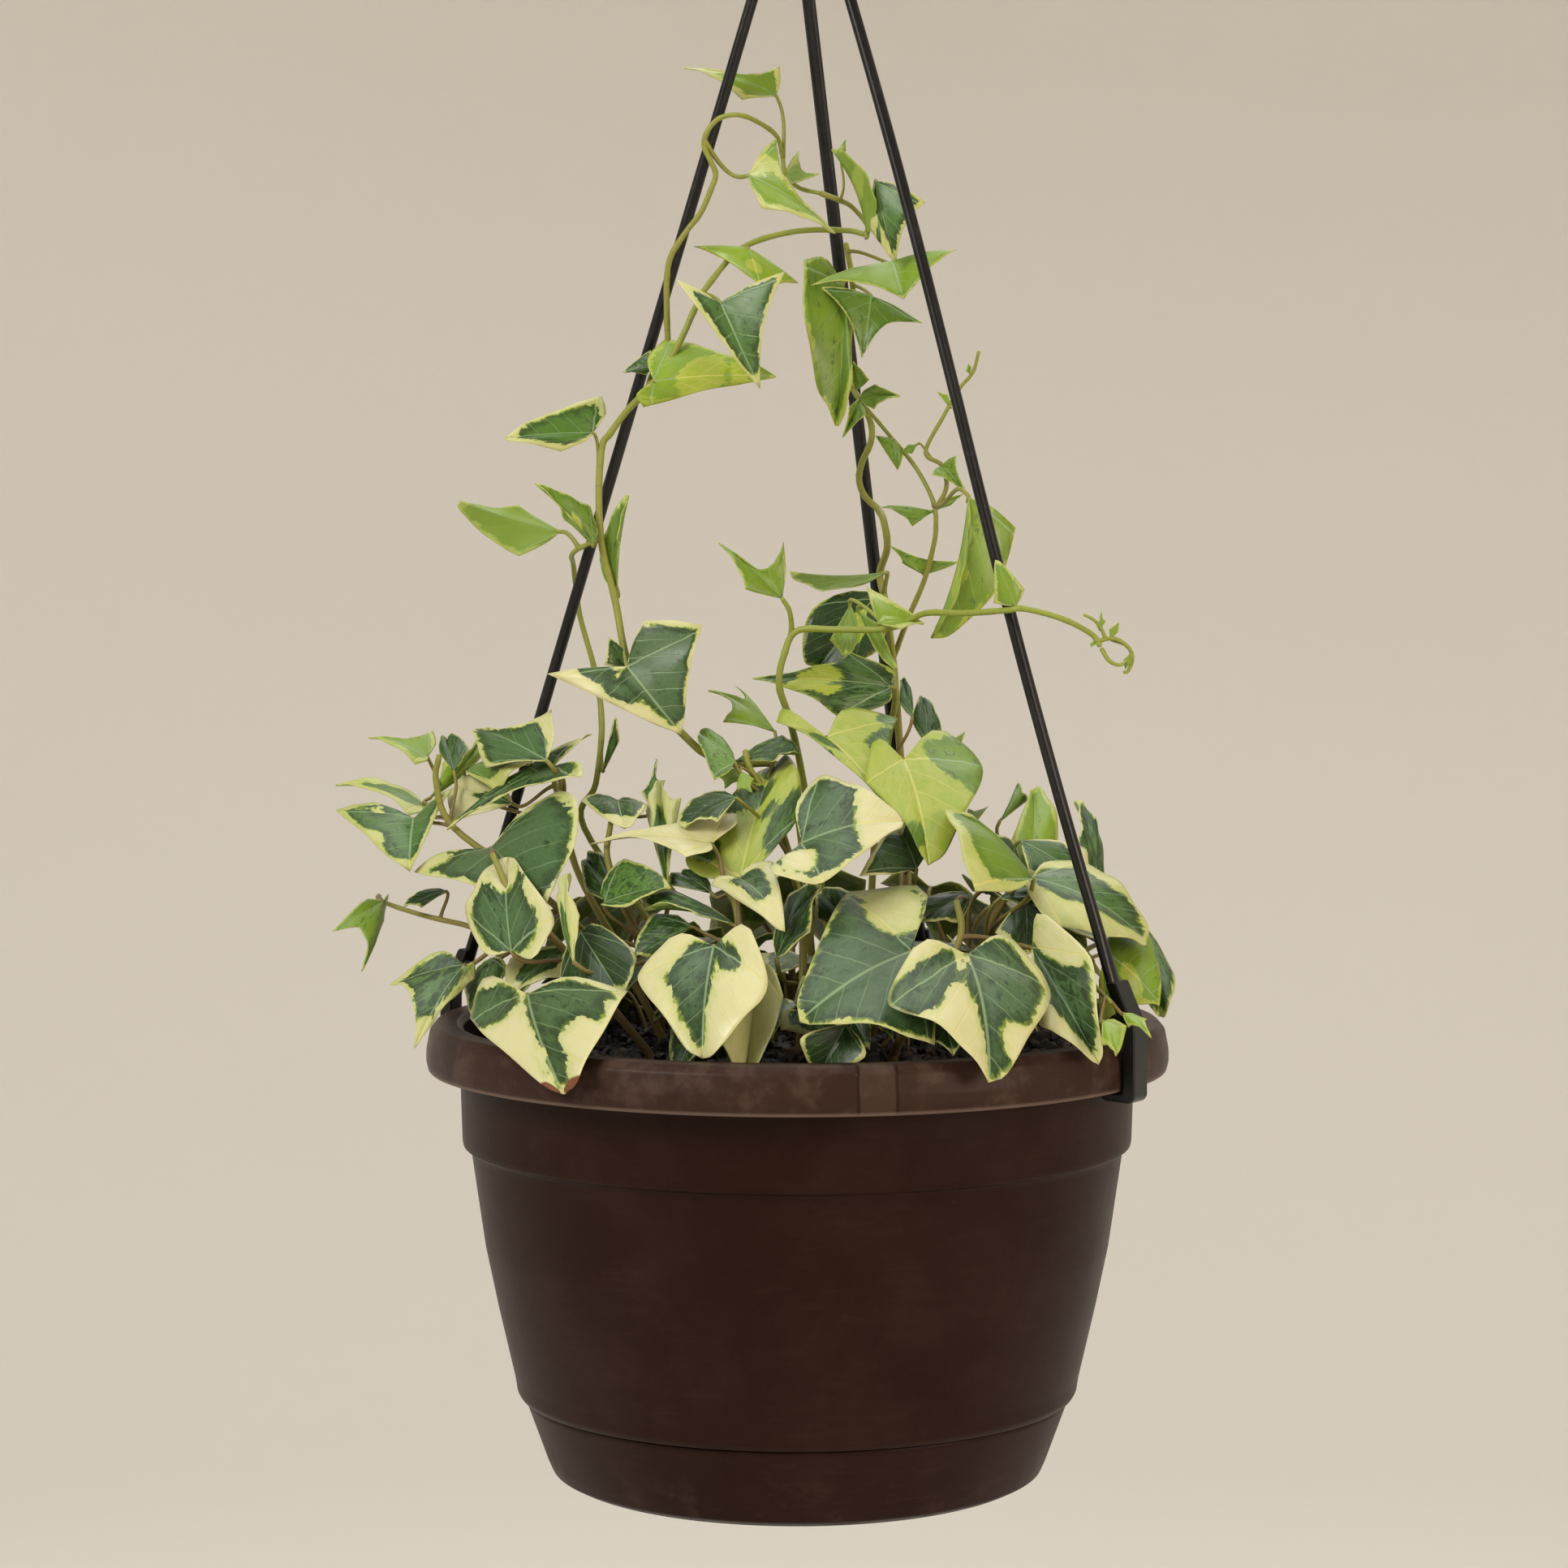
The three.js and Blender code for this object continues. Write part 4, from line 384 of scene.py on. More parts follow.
        [[46, 158.5, -87, 60.5, 145, -95, 53, 139.5, -108, 28.5, 149, -102],
         [0.1, 0.1, 1, 1, 0.06, 0, 0.25], [0.25, 0.8, 0.25, 0.1, 0.1, 0.1, 0.06]],
        [[79.5, 176, -56, 100, 174, -73, 102, 136.5, -88, 81, 149, -85],
         [0.32, 0, 1.1, 1.05, 0.06, 0, 0.75], [0.15, 0.5, 0.15, 0.5, 0.15, 0.1, 0.3],
         {"patches": [[0.5, -0.02, 0.2, -1]], "rounded": 1}],
        [[16.5, 149.5, -99, 24.5, 139.5, -108, 8, 134.5, -100, 0.5, 146, -104],
         [0.1, 0.1, 1.2, 1.15, 0.06, 0, 0.21], [0.25, 0.75, 0.3, 0.12, 0.12, 0.1, 0.06],
         {"rounded": 1}],
        [[58.5, 194, -23, 55, 183.5, -36, 41.5, 184.5, -41, 42.5, 193, -31],
         [0.1, 0.1, 1.1, 1.1, 0.06, 0, 1], [0.25, 0.75, 0.3, 0.12, 0.12, 0.1, 0.06],
         {"rounded": 1}],
    ],
    "right_outer": [
        [[79, 199.5, -37, 96.5, 204.5, -12, 118, 177.5, -38, 86.5, 183, -53],
         [0.1, 0.15, 1.1, 1.3, 0.1, 0, 0.54], [0.3, 0.3, 0.45, 0.62, 0.4, 0.05, 0.2],
         {"patches": [[0.1, 0.6, 0.22, 1]]}],
        [[104.5, 174.5, -37, 108.5, 194.5, -8, 122.5, 156.5, -52, 102.5, 149, -57],
         [0, 0.1, 1.4, 1, 0.07, 1, 0.59], [0.8, 0.2, 1, 0.3, 0.03, 0.05, 0.2],
         {"patches": [[-0.1, 0.45, 0.22, -1]]}],
        [[116, 183.5, -9, 127.5, 167, -27, 122.5, 153, -43, 113.5, 158.5, -37],
         [0.1, 0.1, 1.2, 1.1, 0.06, 1, 0.53], [0.5, 0.45, 0.5, 0.08, 0.08, 0.1, 0.06]],
        [[103.5, 151, -89, 111.5, 149.5, -85, 108, 139.5, -103, 103, 143, -98],
         [0.1, 0.1, 1.1, 1.1, 0.06, 1, 0.94], [0.9, 0, 0.9, 0.3, 0.3, 0.1, 0.06]],
        [[110.5, 153.5, -77, 118.5, 151.5, -79, 120, 145.5, -90, 112, 149, -82],
         [0.1, 0.1, 0.9, 0.9, 0.06, 1, 0.98], [0.9, 0, 0.9, 0.3, 0.3, 0.1, 0.06]],
        [[103, 191, -8, 94.5, 207.5, 0, 94, 225, 21, 103, 208, 12], [0, 0, 1.1, 1.1, 0.05, 0, 0.98],
         [0.3, 0.5, 0.35, 0.06, 0.06, 0.1, 0.06]],
        [[78.5, 199.5, -17, 72, 211, -8, 79.5, 229, 20, 88.5, 211, 2],
         [0.1, 0.1, 1.1, 1.15, 0.06, 0, 0.68], [0.85, 0.25, 0.9, 0.15, 0.22, 0.08, 0.05]],
        [[68.5, 218.5, 3, 72.5, 222, 9, 75, 232, 21, 78.5, 226, 17], [0, 0, 0.9, 0.9, 0.06, 0, 0.9],
         [0.6, 0.2, 0.6, 0.12, 0.12, 0.1, 0.06]],
        [[80, 199, -46, 60, 194.5, -68, 51, 222.5, -36, 63, 210, -38],
         [0.1, 0.1, 1.2, 1, 0.1, 0, 0.53], [0.7, 0.15, 0.6, 0.38, 0.3, 0.1, 0.12],
         {"patches": [[0.1, 0.5, 0.1, 1]]}],
        [[75, 201, -21, 64, 201.5, -27, 61, 212.5, -17, 72.5, 212.5, -10],
         [0.1, 0.1, 1.1, 1.1, 0.06, 0, 0.61], [0.15, 0.7, 0.3, 0.1, 0.1, 0.1, 0.06]],
        [[75.5, 212, -13, 96, 210.5, 0, 94.5, 200, -13, 78.5, 200, -24],
         [0.05, 0, 1.15, 1.1, 0.06, 0, 0.81], [0.2, 0.3, 0.15, 0.15, 0.45, 0.3, 0.2]],
        [[77, 191, -28, 86, 183.5, -30, 77, 173.5, -47, 67, 181, -45],
         [0.1, 0.1, 1.15, 1.15, 0.06, 0, 0.45], [0.25, 0.75, 0.3, 0.12, 0.12, 0.1, 0.06]],
        [[68.5, 192.5, -36, 79, 197, -24, 85.5, 192.5, -25, 77, 190.5, -33],
         [0.1, 0.1, 1, 1, 0.06, 0, 0.45], [0.25, 0.75, 0.3, 0.12, 0.12, 0.1, 0.06]],
    ],
    "vine_left": [
        [[-69, 350, 14, -80, 343.5, 10, -99, 348, 10, -66, 362.5, 18],
         [0.1, 0.1, 1.1, 1.15, 0.06, 0, 0.62], [0.5, 0.2, 0.35, 0.2, 0.3, 0.15, 0.1]],
        [[-80, 316.5, 24, -94, 325.5, 28, -114, 327, 20, -94, 308.5, 20],
         [0, 0, 1.05, 1.15, 0.06, 1, 0.95], [0.78, 0.15, 0.6, 0.12, 0.05, 0.1, 0.05]],
        [[-69, 312, 6, -79, 320.5, 2, -88.5, 333, 2, -70, 325, 10], [0, 0.1, 1, 1, 0.06, 1, 0.99],
         [0.7, 0.35, 0.85, 0.05, 0.05, 0.05, 0.04], {"patches": [[0.1, 0.3, 0.12, -1]]}],
        [[-61, 295, 14, -67, 307, 17, -57, 329, 14, -59.5, 312.5, 11],
         [0, 0, 1.1, 0.9, 0.05, 0, 0.54], [0.7, 0.3, 0.85, 0.08, 0.06, 0.1, 0.06]],
        [[-57.5, 271, -2, -32, 285, -4, -39, 248, -8, -84.5, 268.5, 0],
         [0.36, 0.05, 1.02, 1.08, 0.06, 0, 0.47], [0.15, 0.22, 0.12, 0.78, 0.08, 0.12, 0.02],
         {"patches": [[0.75, 0.75, 0.12, -1], [-0.4, 0.02, 0.2, 1], [-0.28, 0.34, 0.2, 1]]}],
        [[-58, 271, 4, -65, 271.5, 0, -63.5, 281, 4, -58.5, 277, 4], [0, 0, 1.1, 1, 0.04, 0, 0.47],
         [0.4, 0.45, 0.5, 0.12, 0.12, 0.1, 0.06]],
        [[-65.5, 235.5, 34, -63.5, 245.5, 32, -61.5, 254, 32, -60, 246, 32],
         [0, 0, 1, 1.1, 0.05, 1, 0.62], [0.4, 0.45, 0.5, 0.12, 0.12, 0.1, 0.06]],
        [[-7, 464, 20, -18.5, 462.5, 16, -38, 473.5, 20, -6, 474, 26],
         [0.05, 0.05, 1.1, 0.55, 0.1, 2, 0.87], [0.8, 0.1, 0.5, 0.3, 0.3, 0.42, 0.1],
         {"pull": [-4, 455, 14]}],
        [[-16.5, 437, 2, -7, 450, 6, 13, 417.5, -2, -12, 426, -6],
         [0.05, 0.05, 0.62, 1.1, 0.1, 2, 0.6], [0.85, 0.2, 0.55, 0.22, 0.75, 0.15, 0.1],
         {"patches": [[0.75, 0.1, 0.12, 1]], "pull": [-23.5, 435.5, 10]}],
        [[-4, 437.5, 16, -3.5, 434, 6, 7.5, 437.5, 10, 0.5, 445.5, 14],
         [0, 0.1, 0.9, 0.6, 0.06, 2, 0.93], [0.8, 0.1, 0.5, 0.5, 0.4, 0.1, 0.06]],
        [[24, 416.5, 11, 26.5, 428.5, 1, 12, 446, 3, 22, 429, 9], [0, 0, 1.1, 1, 0.08, 3, 0.94],
         [0.75, 0.3, 0.9, 0.06, 0.06, 0.05, 0.04], {"patches": [[0.2, 0.5, 0.14, -1]]}],
        [[15, 442.5, 8, 13, 445, 8, 16.5, 449.5, 8, 16.5, 445.5, 8], [0, 0, 1, 1, 0.04, 3, 0.27],
         [0.75, 0.3, 0.9, 0.06, 0.06, 0.05, 0.04],
         {"patches": [[0.2, 0.5, 0.14, -1]], "pull": [17.5, 434.5, 10]}],
        [[26.5, 435, 8, 43.5, 428, 2, 33.5, 408, 6, 25, 418.5, 8],
         [0.1, 0.1, 0.95, 1.05, 0.07, 3, 0.88], [0.4, 0.15, 0.5, 0.62, 0.12, 0.15, 0.1],
         {"patches": [[-0.5, 0.4, 0.1, 1]], "pull": [25, 427.5, 14]}],
        [[-26, 394, -4, -4, 404.5, -8, -12.5, 365, -8, -41, 402, -4],
         [0.05, 0.05, 0.92, 1.1, 0.08, 0, 0.82], [0.35, 0.25, 0.3, 0.3, 0.14, 0.14, 0.05],
         {"patches": [[0.5, 0.5, 0.1, -1]]}],
        [[-16.5, 412.5, 12, 0.5, 400.5, 16, -12.5, 400, 6, -35, 413, 18],
         [0, 0, 1.1, 1, 0.06, 0, 0.88], [0.95, 0.1, 1, 0.2, 0.12, 0.1, 0.05],
         {"patches": [[0, 0.5, 0.2, -1]]}],
        [[-48.5, 367.5, -1, -44.5, 382, 11, -7, 369, 5, -52, 358.5, 1],
         [0.1, 0.1, 1.05, 1.1, 0.07, 0, 0.71], [0.9, 0.15, 1, 0.12, 0.12, 0.05, 0.05],
         {"patches": [[0, 0.4, 0.2, -1], [0.1, 0.7, 0.1, -1]]}],
        [[-48.5, 372.5, 5, -51, 369.5, 7, -59, 370.5, 7, -49.5, 378, 11],
         [0, 0, 1, 1, 0.04, 0, 0.75], [0.5, 0.6, 0.5, 0.12, 0.12, 0.1, 0.06]],
    ],
    "vine_middle": [
        [[58, 328.5, -4, 73.5, 318, 2, 45.5, 280.5, -4, 57, 309.5, -8],
         [0.05, 0, 1.3, 1, 0.08, 1, 0.58], [0.8, 0.3, 1, 0.22, 0.03, 0.05, 0.05],
         {"patches": [[-0.1, 0.5, 0.12, -1]], "pull": [51.5, 323, 16]}],
        [[43, 302, 40, 35.5, 306, 40, 31.5, 312, 40, 55.5, 306.5, 40],
         [0, 0, 0.9, 0.8, 0.05, 1, 0.37], [0.75, 0.35, 0.9, 0.07, 0.07, 0.05, 0.04]],
        [[46, 323.5, 36, 39, 318.5, 37, 28.5, 325, 40, 39, 322.5, 43],
         [0, 0, 1, 0.9, 0.05, 1, 0.55], [0.75, 0.35, 0.9, 0.07, 0.07, 0.05, 0.04]],
        [[47, 324, 34, 50, 328, 34, 56.5, 329.5, 34, 52, 325.5, 34], [0, 0, 1, 1, 0.04, 1, 0.56],
         [0.75, 0.35, 0.9, 0.07, 0.07, 0.05, 0.04]],
        [[32.5, 348, 38, 36, 342.5, 35, 34, 337.5, 35, 26.5, 349, 38],
         [0.1, 0, 1.15, 1.1, 0.06, 1, 0.86], [0.75, 0.35, 0.9, 0.07, 0.07, 0.05, 0.04]],
        [[40.5, 346, 34, 39, 343, 34, 35.5, 343.5, 34, 37.5, 346, 34],
         [0, 0, 1.1, 1.1, 0.04, 2, 0.33], [0.75, 0.35, 0.9, 0.07, 0.07, 0.05, 0.04],
         {"pull": [41, 348, 33]}],
        [[49, 339, 32, 54, 342.5, 28, 57.5, 329.5, 26, 45.5, 336, 28],
         [0, 0, 0.85, 0.9, 0.05, 2, 0.3], [0.75, 0.35, 0.9, 0.07, 0.07, 0.05, 0.04]],
        [[20, 364.5, 40, 18, 369.5, 34, 19, 374, 32, 24.5, 368, 34], [0, 0, 1, 1.2, 0.05, 0, 0.82],
         [0.75, 0.35, 0.9, 0.07, 0.07, 0.05, 0.04]],
        [[21.5, 362, 42, 26.5, 366.5, 38, 35, 362.5, 34, 26, 358, 34],
         [0.1, 0.1, 1, 1, 0.06, 0, 0.81], [0.75, 0.35, 0.9, 0.07, 0.07, 0.05, 0.04]],
        [[21.5, 361.5, 42, 23.5, 356, 34, 15.5, 348.5, 30, 17.5, 358.5, 34],
         [0, 0, 1.05, 1, 0.06, 0, 0.8], [0.75, 0.35, 0.9, 0.07, 0.07, 0.05, 0.04]],
        [[52, 358.5, 29, 50, 360.5, 28, 47.5, 364, 28, 51, 363, 28], [0, 0, 1, 1, 0.04, 2, 0.66],
         [0.95, 0, 0.8, 0.1, 0.1, 0.1, 0.06]],
        [[58.5, 370, 26, 57, 371, 25, 58, 373.5, 25, 59, 372.5, 25], [0, 0, 1, 1, 0.04, 2, 0.87],
         [0.95, 0, 0.8, 0.1, 0.1, 0.1, 0.06]],
        [[32.5, 408, 16, 54, 412, 6, 36, 395.5, 2, 4.5, 400, 6],
         [0.05, 0.05, 1.05, 0.95, 0.06, 0, 0.99], [0.8, 0.12, 0.9, 0.07, 0.07, 0.05, 0.05]],
        [[25, 396.5, 28, 42.5, 387, 24, 22, 375.5, 22, 7.5, 399.5, 20],
         [0, 0, 0.75, 0.9, 0.06, 0, 0.95], [0.6, 0.25, 0.8, 0.06, 0.06, 0.05, 0.04]],
        [[15.5, 400, 30, 18, 375.5, 22, 13, 352.5, 18, 2, 408.5, 22],
         [0, 0.1, 1.1, 1.5, 0.09, 0, 0.96], [0.75, 0.3, 0.95, 0.03, 0.35, 0.05, 0.03]],
    ],
    "right_runner": [
        [[-5, 294, 6, -17.5, 297, -2, -26.5, 313, 4, -4.5, 313.5, 8],
         [0, 0, 1, 0.42, 0.05, 1, 0.92], [0.8, 0.2, 0.85, 0.12, 0.06, 0.06, 0.05]],
        [[18, 292, 14, 11, 280, 12, 16.5, 275, 10, 21.5, 282, 8], [0, 0, 1.1, 1.1, 0.05, 0, 0.64],
         [0.7, 0.3, 0.9, 0.12, 0.12, 0.1, 0.06]],
        [[20.5, 290, 12, 26.5, 277, 4, 34, 270.5, 6, 28.5, 284.5, 8],
         [0, 0, 1.1, 1.1, 0.05, 0, 0.64], [0.7, 0.3, 0.9, 0.12, 0.12, 0.1, 0.06]],
        [[27.5, 285.5, -6, 23.5, 298, -2, 43, 285.5, -8, 35.5, 283.5, -12],
         [0, 0, 1.05, 1.1, 0.08, 0, 0.67], [0.9, 0, 0.7, 0.4, 0.3, 0.1, 0.06]],
        [[74, 291.5, -55, 66.5, 292.5, -53, 67, 307, -53, 77, 297, -53],
         [0, 0, 1.05, 1.15, 0.08, 0, 0.89], [0.8, 0.1, 0.6, 0.25, 0.25, 0.1, 0.06]],
        [[106, 280.5, -46, 105.5, 283.5, -46, 109, 286, -46, 108.5, 282.5, -46],
         [0, 0, 1.1, 1.1, 0.04, 2, 0.52], [0.9, 0, 0.7, 0.1, 0.1, 0.1, 0.06]],
        [[112.5, 275, -46, 110.5, 273.5, -46, 111, 270, -46, 113, 272.5, -46],
         [0, 0, 1.1, 1.1, 0.04, 2, 0.83], [0.9, 0, 0.7, 0.1, 0.1, 0.1, 0.06]],
        [[102.5, 283.5, -47, 101.5, 284.5, -47, 103, 290, -47, 104.5, 286.5, -47],
         [0, 0, 0.8, 0.8, 0.04, 4, 0.58], [0.9, 0, 0.7, 0.1, 0.1, 0.1, 0.06]],
        [[101.5, 279, -46, 99.5, 277.5, -46, 99, 278.5, -46, 100.5, 280, -46],
         [0, 0, 1, 1, 0.04, 0, 0.99], [0.9, 0, 0.7, 0.1, 0.1, 0.1, 0.06]],
    ],
    "centre_back": [
        [[32, 264, 26, 14.5, 253, 16, -15, 267, 18, 18, 276, 28],
         [0.15, 0.15, 1, 0.85, 0.06, 0, 0.84], [0.3, 0.4, 1, 0.04, 0.04, 0.04, 0.04],
         {"patches": [[0.12, 0.55, 0.13, -1], [-0.2, 0.42, 0.1, -1], [0.3, 0.35, 0.08, -1]]}],
        [[26, 294, 40, 29.5, 277, 34, 7.5, 271, 34, 6, 292.5, 38],
         [0.2, 0.2, 1.2, 1.3, 0.06, 0, 0.97], [0.3, 0.8, 1, 0.04, 0.04, 0.04, 0.04],
         {"patches": [[0.1, 0.35, 0.2, -1]], "rounded": 1}],
        [[30, 302.5, 42, 14.5, 301, 42, -2.5, 303, 36, 13, 297, 34], [0, 0, 1, 1.05, 0.05, 0, 1],
         [0.25, 0.5, 0.3, 0.05, 0.05, 0.1, 0.06]],
    ],
}


def seen(point):
    """A point read from the front, slid along its line of sight to its depth."""
    x, z, y = point
    k = (EYE_DISTANCE + y) / EYE_DISTANCE
    return np.array([x * k, y, EYE_HEIGHT + (z - EYE_HEIGHT) * k])


def from_front(point):
    """The reverse of seen(): where a point of the model shows from the front, with its depth."""
    k = (EYE_DISTANCE + point[1]) / EYE_DISTANCE
    return [point[0] / k, EYE_HEIGHT + (point[2] - EYE_HEIGHT) / k, point[1]]


def polar(radius, azimuth, z):
    """A point from its distance to the axis, its azimuth in degrees and its height."""
    a = math.radians(azimuth)
    return np.array([radius * math.cos(a), radius * math.sin(a), z])


def unit(vector):
    """The vector at length 1."""
    return vector / np.linalg.norm(vector)


def smoothstep(low, high, value):
    """0 below low, 1 above high, with a soft rise between."""
    t = np.clip((value - low) / (high - low), 0, 1)
    return t * t * (3 - 2 * t)


def draws(seed):
    """Seeded even draws, the same numbers that the part's source draws."""
    state = seed

    def draw(least, most):
        nonlocal state
        state = (state * DRAW_FACTOR) % DRAW_CYCLE
        return least + (most - least) * state / DRAW_CYCLE

    return draw


def dome_height(radius):
    """Height of the dome at a distance from the axis."""
    return DOME["top"] - DOME["fall"] * radius * radius


def turn_about(vector, axis, angle):
    """The vector turned about a unit axis by an angle in radians."""
    cross = np.cross(axis, vector)
    kept = axis * axis.dot(vector) * (1 - math.cos(angle))
    return vector * math.cos(angle) + cross * math.sin(angle) + kept


def slanted(heading, slope, twist):
    """Outward, spine and across directions of a blade that slopes outwards, from degrees."""
    out = polar(1, heading, 0)
    slope = math.radians(slope)
    normal = out * math.sin(slope) + UP * math.cos(slope)
    down = out * math.cos(slope) - UP * math.sin(slope)
    spine = turn_about(down, normal, math.radians(twist))
    return out, spine, np.cross(spine, normal)


def blade_corners(notch, spine, across, length, half, back):
    """Notch, right lobe, tip and left lobe of a generated leaf, as they show from the front."""
    spots = [(0, 0), (-half, back), (0, 1), (half, back)]
    return [from_front(notch + across * a * length + spine * b * length) for a, b in spots]


def back_shoot(plan, draw):
    """A shoot on the far side: leaves climb out along a stem over a dome and hang outwards."""
    name, azimuth, near, far, spread, count = plan
    root = near - 22
    radii = [root + 6 + t * (far - root - 12) for t in (0, 0.35, 0.7, 1)]
    course = [polar(r, azimuth, dome_height(r) - 22 + 2 * i) for i, r in enumerate(radii)]
    stems = [[1.3, from_front(polar(root, azimuth, ROOT_Z)), *[from_front(p) for p in course]]]
    leaves = []
    for i in range(count):
        along = i / (count - 1)
        side = 1 if i % 2 == 0 else -1
        radius = near + (far - near) * along + draw(-2, 2)
        heading = azimuth + side * spread * draw(0.6, 1)
        length = draw(*BACK_LEAF)
        out, spine, across = slanted(heading, draw(32, 42), side * draw(5, 25))
        middle = out * radius + UP * (dome_height(radius) + draw(-2, 2))
        notch = middle - spine * 0.3 * length
        corners = blade_corners(notch, spine, across, length, 0.5, 0.12)
        stalk_place = [0, 0.45 + 0.5 * along]
        look = BACK_LOOKS[i % len(BACK_LOOKS)]
        leaves.append([corners, [0.22, 0.22], [1.1, 1.1], [0.06, 0.05], stalk_place, None, look])
    return name, stems, leaves


class Skin:
    """Collects the vertices, faces and vertex attributes of one piece."""

    def __init__(self):
        self.points = []
        self.faces = []
        self.notes = {key: [] for key in NOTES}
        self.count = 0

    def add(self, points, faces, **notes):
        points = np.asarray(points, float)
        self.points.append(points)
        self.faces.extend([tuple(v + self.count for v in face) for face in faces])
        for key, width in NOTES.items():
            value = notes.get(key)
            if value is None:
                value = np.zeros((len(points), width))
            self.notes[key].append(np.broadcast_to(value, (len(points), width)))
        self.count += len(points)

    def piece(self, name, material):
        mesh = bpy.data.meshes.new(name)
        points = np.concatenate(self.points) * MM
        mesh.from_pydata(points.tolist(), [], self.faces)
        for key in NOTES:
            layer = mesh.attributes.new(key, "FLOAT_VECTOR", "POINT")
            values = np.concatenate(self.notes[key]).astype(np.float32)
            layer.data.foreach_set("vector", values.ravel())
        mesh.materials.append(material)
        mesh.shade_smooth()
        thing = bpy.data.objects.new(name, mesh)
        bpy.context.scene.collection.objects.link(thing)
        return thing


def catmull_points(points, per_span):
    """Even samples of the same uniform Catmull-Rom curve that the solids follow."""
    pts = [2 * points[0] - points[1], *points, 2 * points[-1] - points[-2]]
    samples = []
    for i in range(len(points) - 1):
        p0, p1, p2, p3 = pts[i : i + 4]
        square = 2 * p0 - 5 * p1 + 4 * p2 - p3
        cube = 3 * p1 - p0 - 3 * p2 + p3
        for step in range(per_span):
            t = step / per_span
            samples.append(0.5 * (2 * p1 + (p2 - p0) * t + square * t**2 + cube * t**3))
    samples.append(points[-1])
    return np.array(samples)


def at_share(samples, share):
    """The point at a share of a sampled line's length."""
    steps = np.linalg.norm(np.diff(samples, axis=0), axis=1)
    length = np.concatenate([[0], np.cumsum(steps)])
    place = share * length[-1]
    return np.array([np.interp(place, length, samples[:, k]) for k in range(3)])


def bands(rows, around, first=0, inward=False):
    """Quads between rings of points that follow one another."""
    faces = []
    for i in range(rows - 1):
        for k in range(around):
            a, b = first + i * around + k, first + i * around + (k + 1) % around
            c, d = b + around, a + around
            faces.append((a, d, c, b) if inward else (a, b, c, d))
    return faces


def tube(skin, line, radii, sides, tint):
    """A round tube along a line, closed by low cones, with a tint for each sample."""
    line = np.asarray(line)
    tangents = np.gradient(line, axis=0)
    tangents /= np.linalg.norm(tangents, axis=1)[:, None]
    side = unit(np.cross(tangents[0], [0.3, 0.2, 1.0]))
    angles = np.arange(sides) * 2 * math.pi / sides
    points, tones = [], []
    rows = len(line)
    for i in range(rows):
        side = unit(side - tangents[i] * side.dot(tangents[i]))
        other = np.cross(tangents[i], side)
        ring = np.outer(np.cos(angles), side) + np.outer(np.sin(angles), other)
        points.append(line[i] + ring * radii[i])
        tones.append(np.tile(tint[i], (sides, 1)))
    faces = bands(rows, sides)
    start = rows * sides
    last = start - sides
    for k in range(sides):
        after = (k + 1) % sides
        faces.append((start, after, k))
        faces.append((start + 1, last + k, last + after))
    caps = [line[0] - tangents[0] * radii[0] * 0.5, line[-1] + tangents[-1] * radii[-1] * 0.6]
    points = np.concatenate([*points, caps])
    tones = np.concatenate([*tones, [tint[0], tint[-1]]])
    arc = np.concatenate([[0], np.cumsum(np.linalg.norm(np.diff(line, axis=0), axis=1))])
    blade = np.zeros((len(points), 3))
    blade[:start, 1] = np.repeat(arc, sides)
    skin.add(points, faces, blade=blade, paint=tones, form=np.array([0.0, 0.0, 1.0]))


# One half's outline as steps towards the lobe (a) and along the midrib (b), by the leaf's size
SIDE_CURVES = {
    "bud": [(0.45, 0.5)],
    "young": [(0.6, 0.34), (0.24, 0.74)],
    "grown": [(0.68, 0.27), (0.42, 0.54), (0.17, 0.82)],
}


def half_outline(ear, swell, kind, steps, rounded_lobe):
    """Smooth half outline from the notch round the ear to the pointed lobe and on to the tip."""
    flank = [(a * swell, min(b * swell, 0.93)) for a, b in SIDE_CURVES[kind]]
    upper = [(0.0, 0.0), (0.5, -ear) if ear > 0.06 else (0.5, -0.03), (1.0, 0.0)]
    lower = [(1.0, 0.0), *flank, (0.0, 1.0)]

    def smooth(knots, count, power):
        knots = [np.array([a, b, 0.0]) for a, b in knots]
        fine = catmull_points(knots, 24)
        share = np.linspace(0, 1, count)
        share = 0.5 + 0.5 * np.sign(share - 0.5) * np.abs(2 * share - 1) ** power
        return np.array([at_share(fine, s)[:2] for s in share])

    top_count = max(4, round(steps * 0.34))
    top = smooth(upper, top_count, 0.9)
    low = smooth(lower, steps - top_count + 2, 0.92)
    outline = np.concatenate([top, low[1:]])
    turn = top_count - 1
    passes, reach = LOBE_ROUNDING[kind] if rounded_lobe else (0, 0)
    near = slice(max(1, turn - reach), turn + reach + 1)
    for _ in range(passes):
        before = outline[near.start - 1 : near.stop - 1]
        after = outline[near.start + 1 : near.stop + 1]
        outline[near] = 0.5 * outline[near] + 0.25 * before + 0.25 * after
    return outline, turn


def blade_net(rows, cols):
    """Faces of the two halves' grids, joined along the midrib, at the notch and at the tip.

    Also gives the numbers of the grid points that stay.
    """
    size = (rows + 1) * (cols + 1)
    link = np.arange(2 * size)
    link[size:].reshape(rows + 1, cols + 1)[:, 0] = np.arange(rows + 1) * (cols + 1)
    for base in (0, size):
        link[base + 1 : base + cols + 1] = 0
        last = base + rows * (cols + 1)
        link[last : last + cols + 1] = rows * (cols + 1)
    keep, order = np.unique(link, return_inverse=True)
    faces = []
    for base in (0, size):
        for i in range(rows):
            for j in range(cols):
                p = base + i * (cols + 1) + j
                quad = (p, p + 1, p + cols + 2, p + cols + 1)
                quad = [int(order[v]) for v in (quad if base else quad[::-1])]
                face = tuple(dict.fromkeys(quad))
                if len(face) > 2:
                    faces.append(face)
    return keep, faces


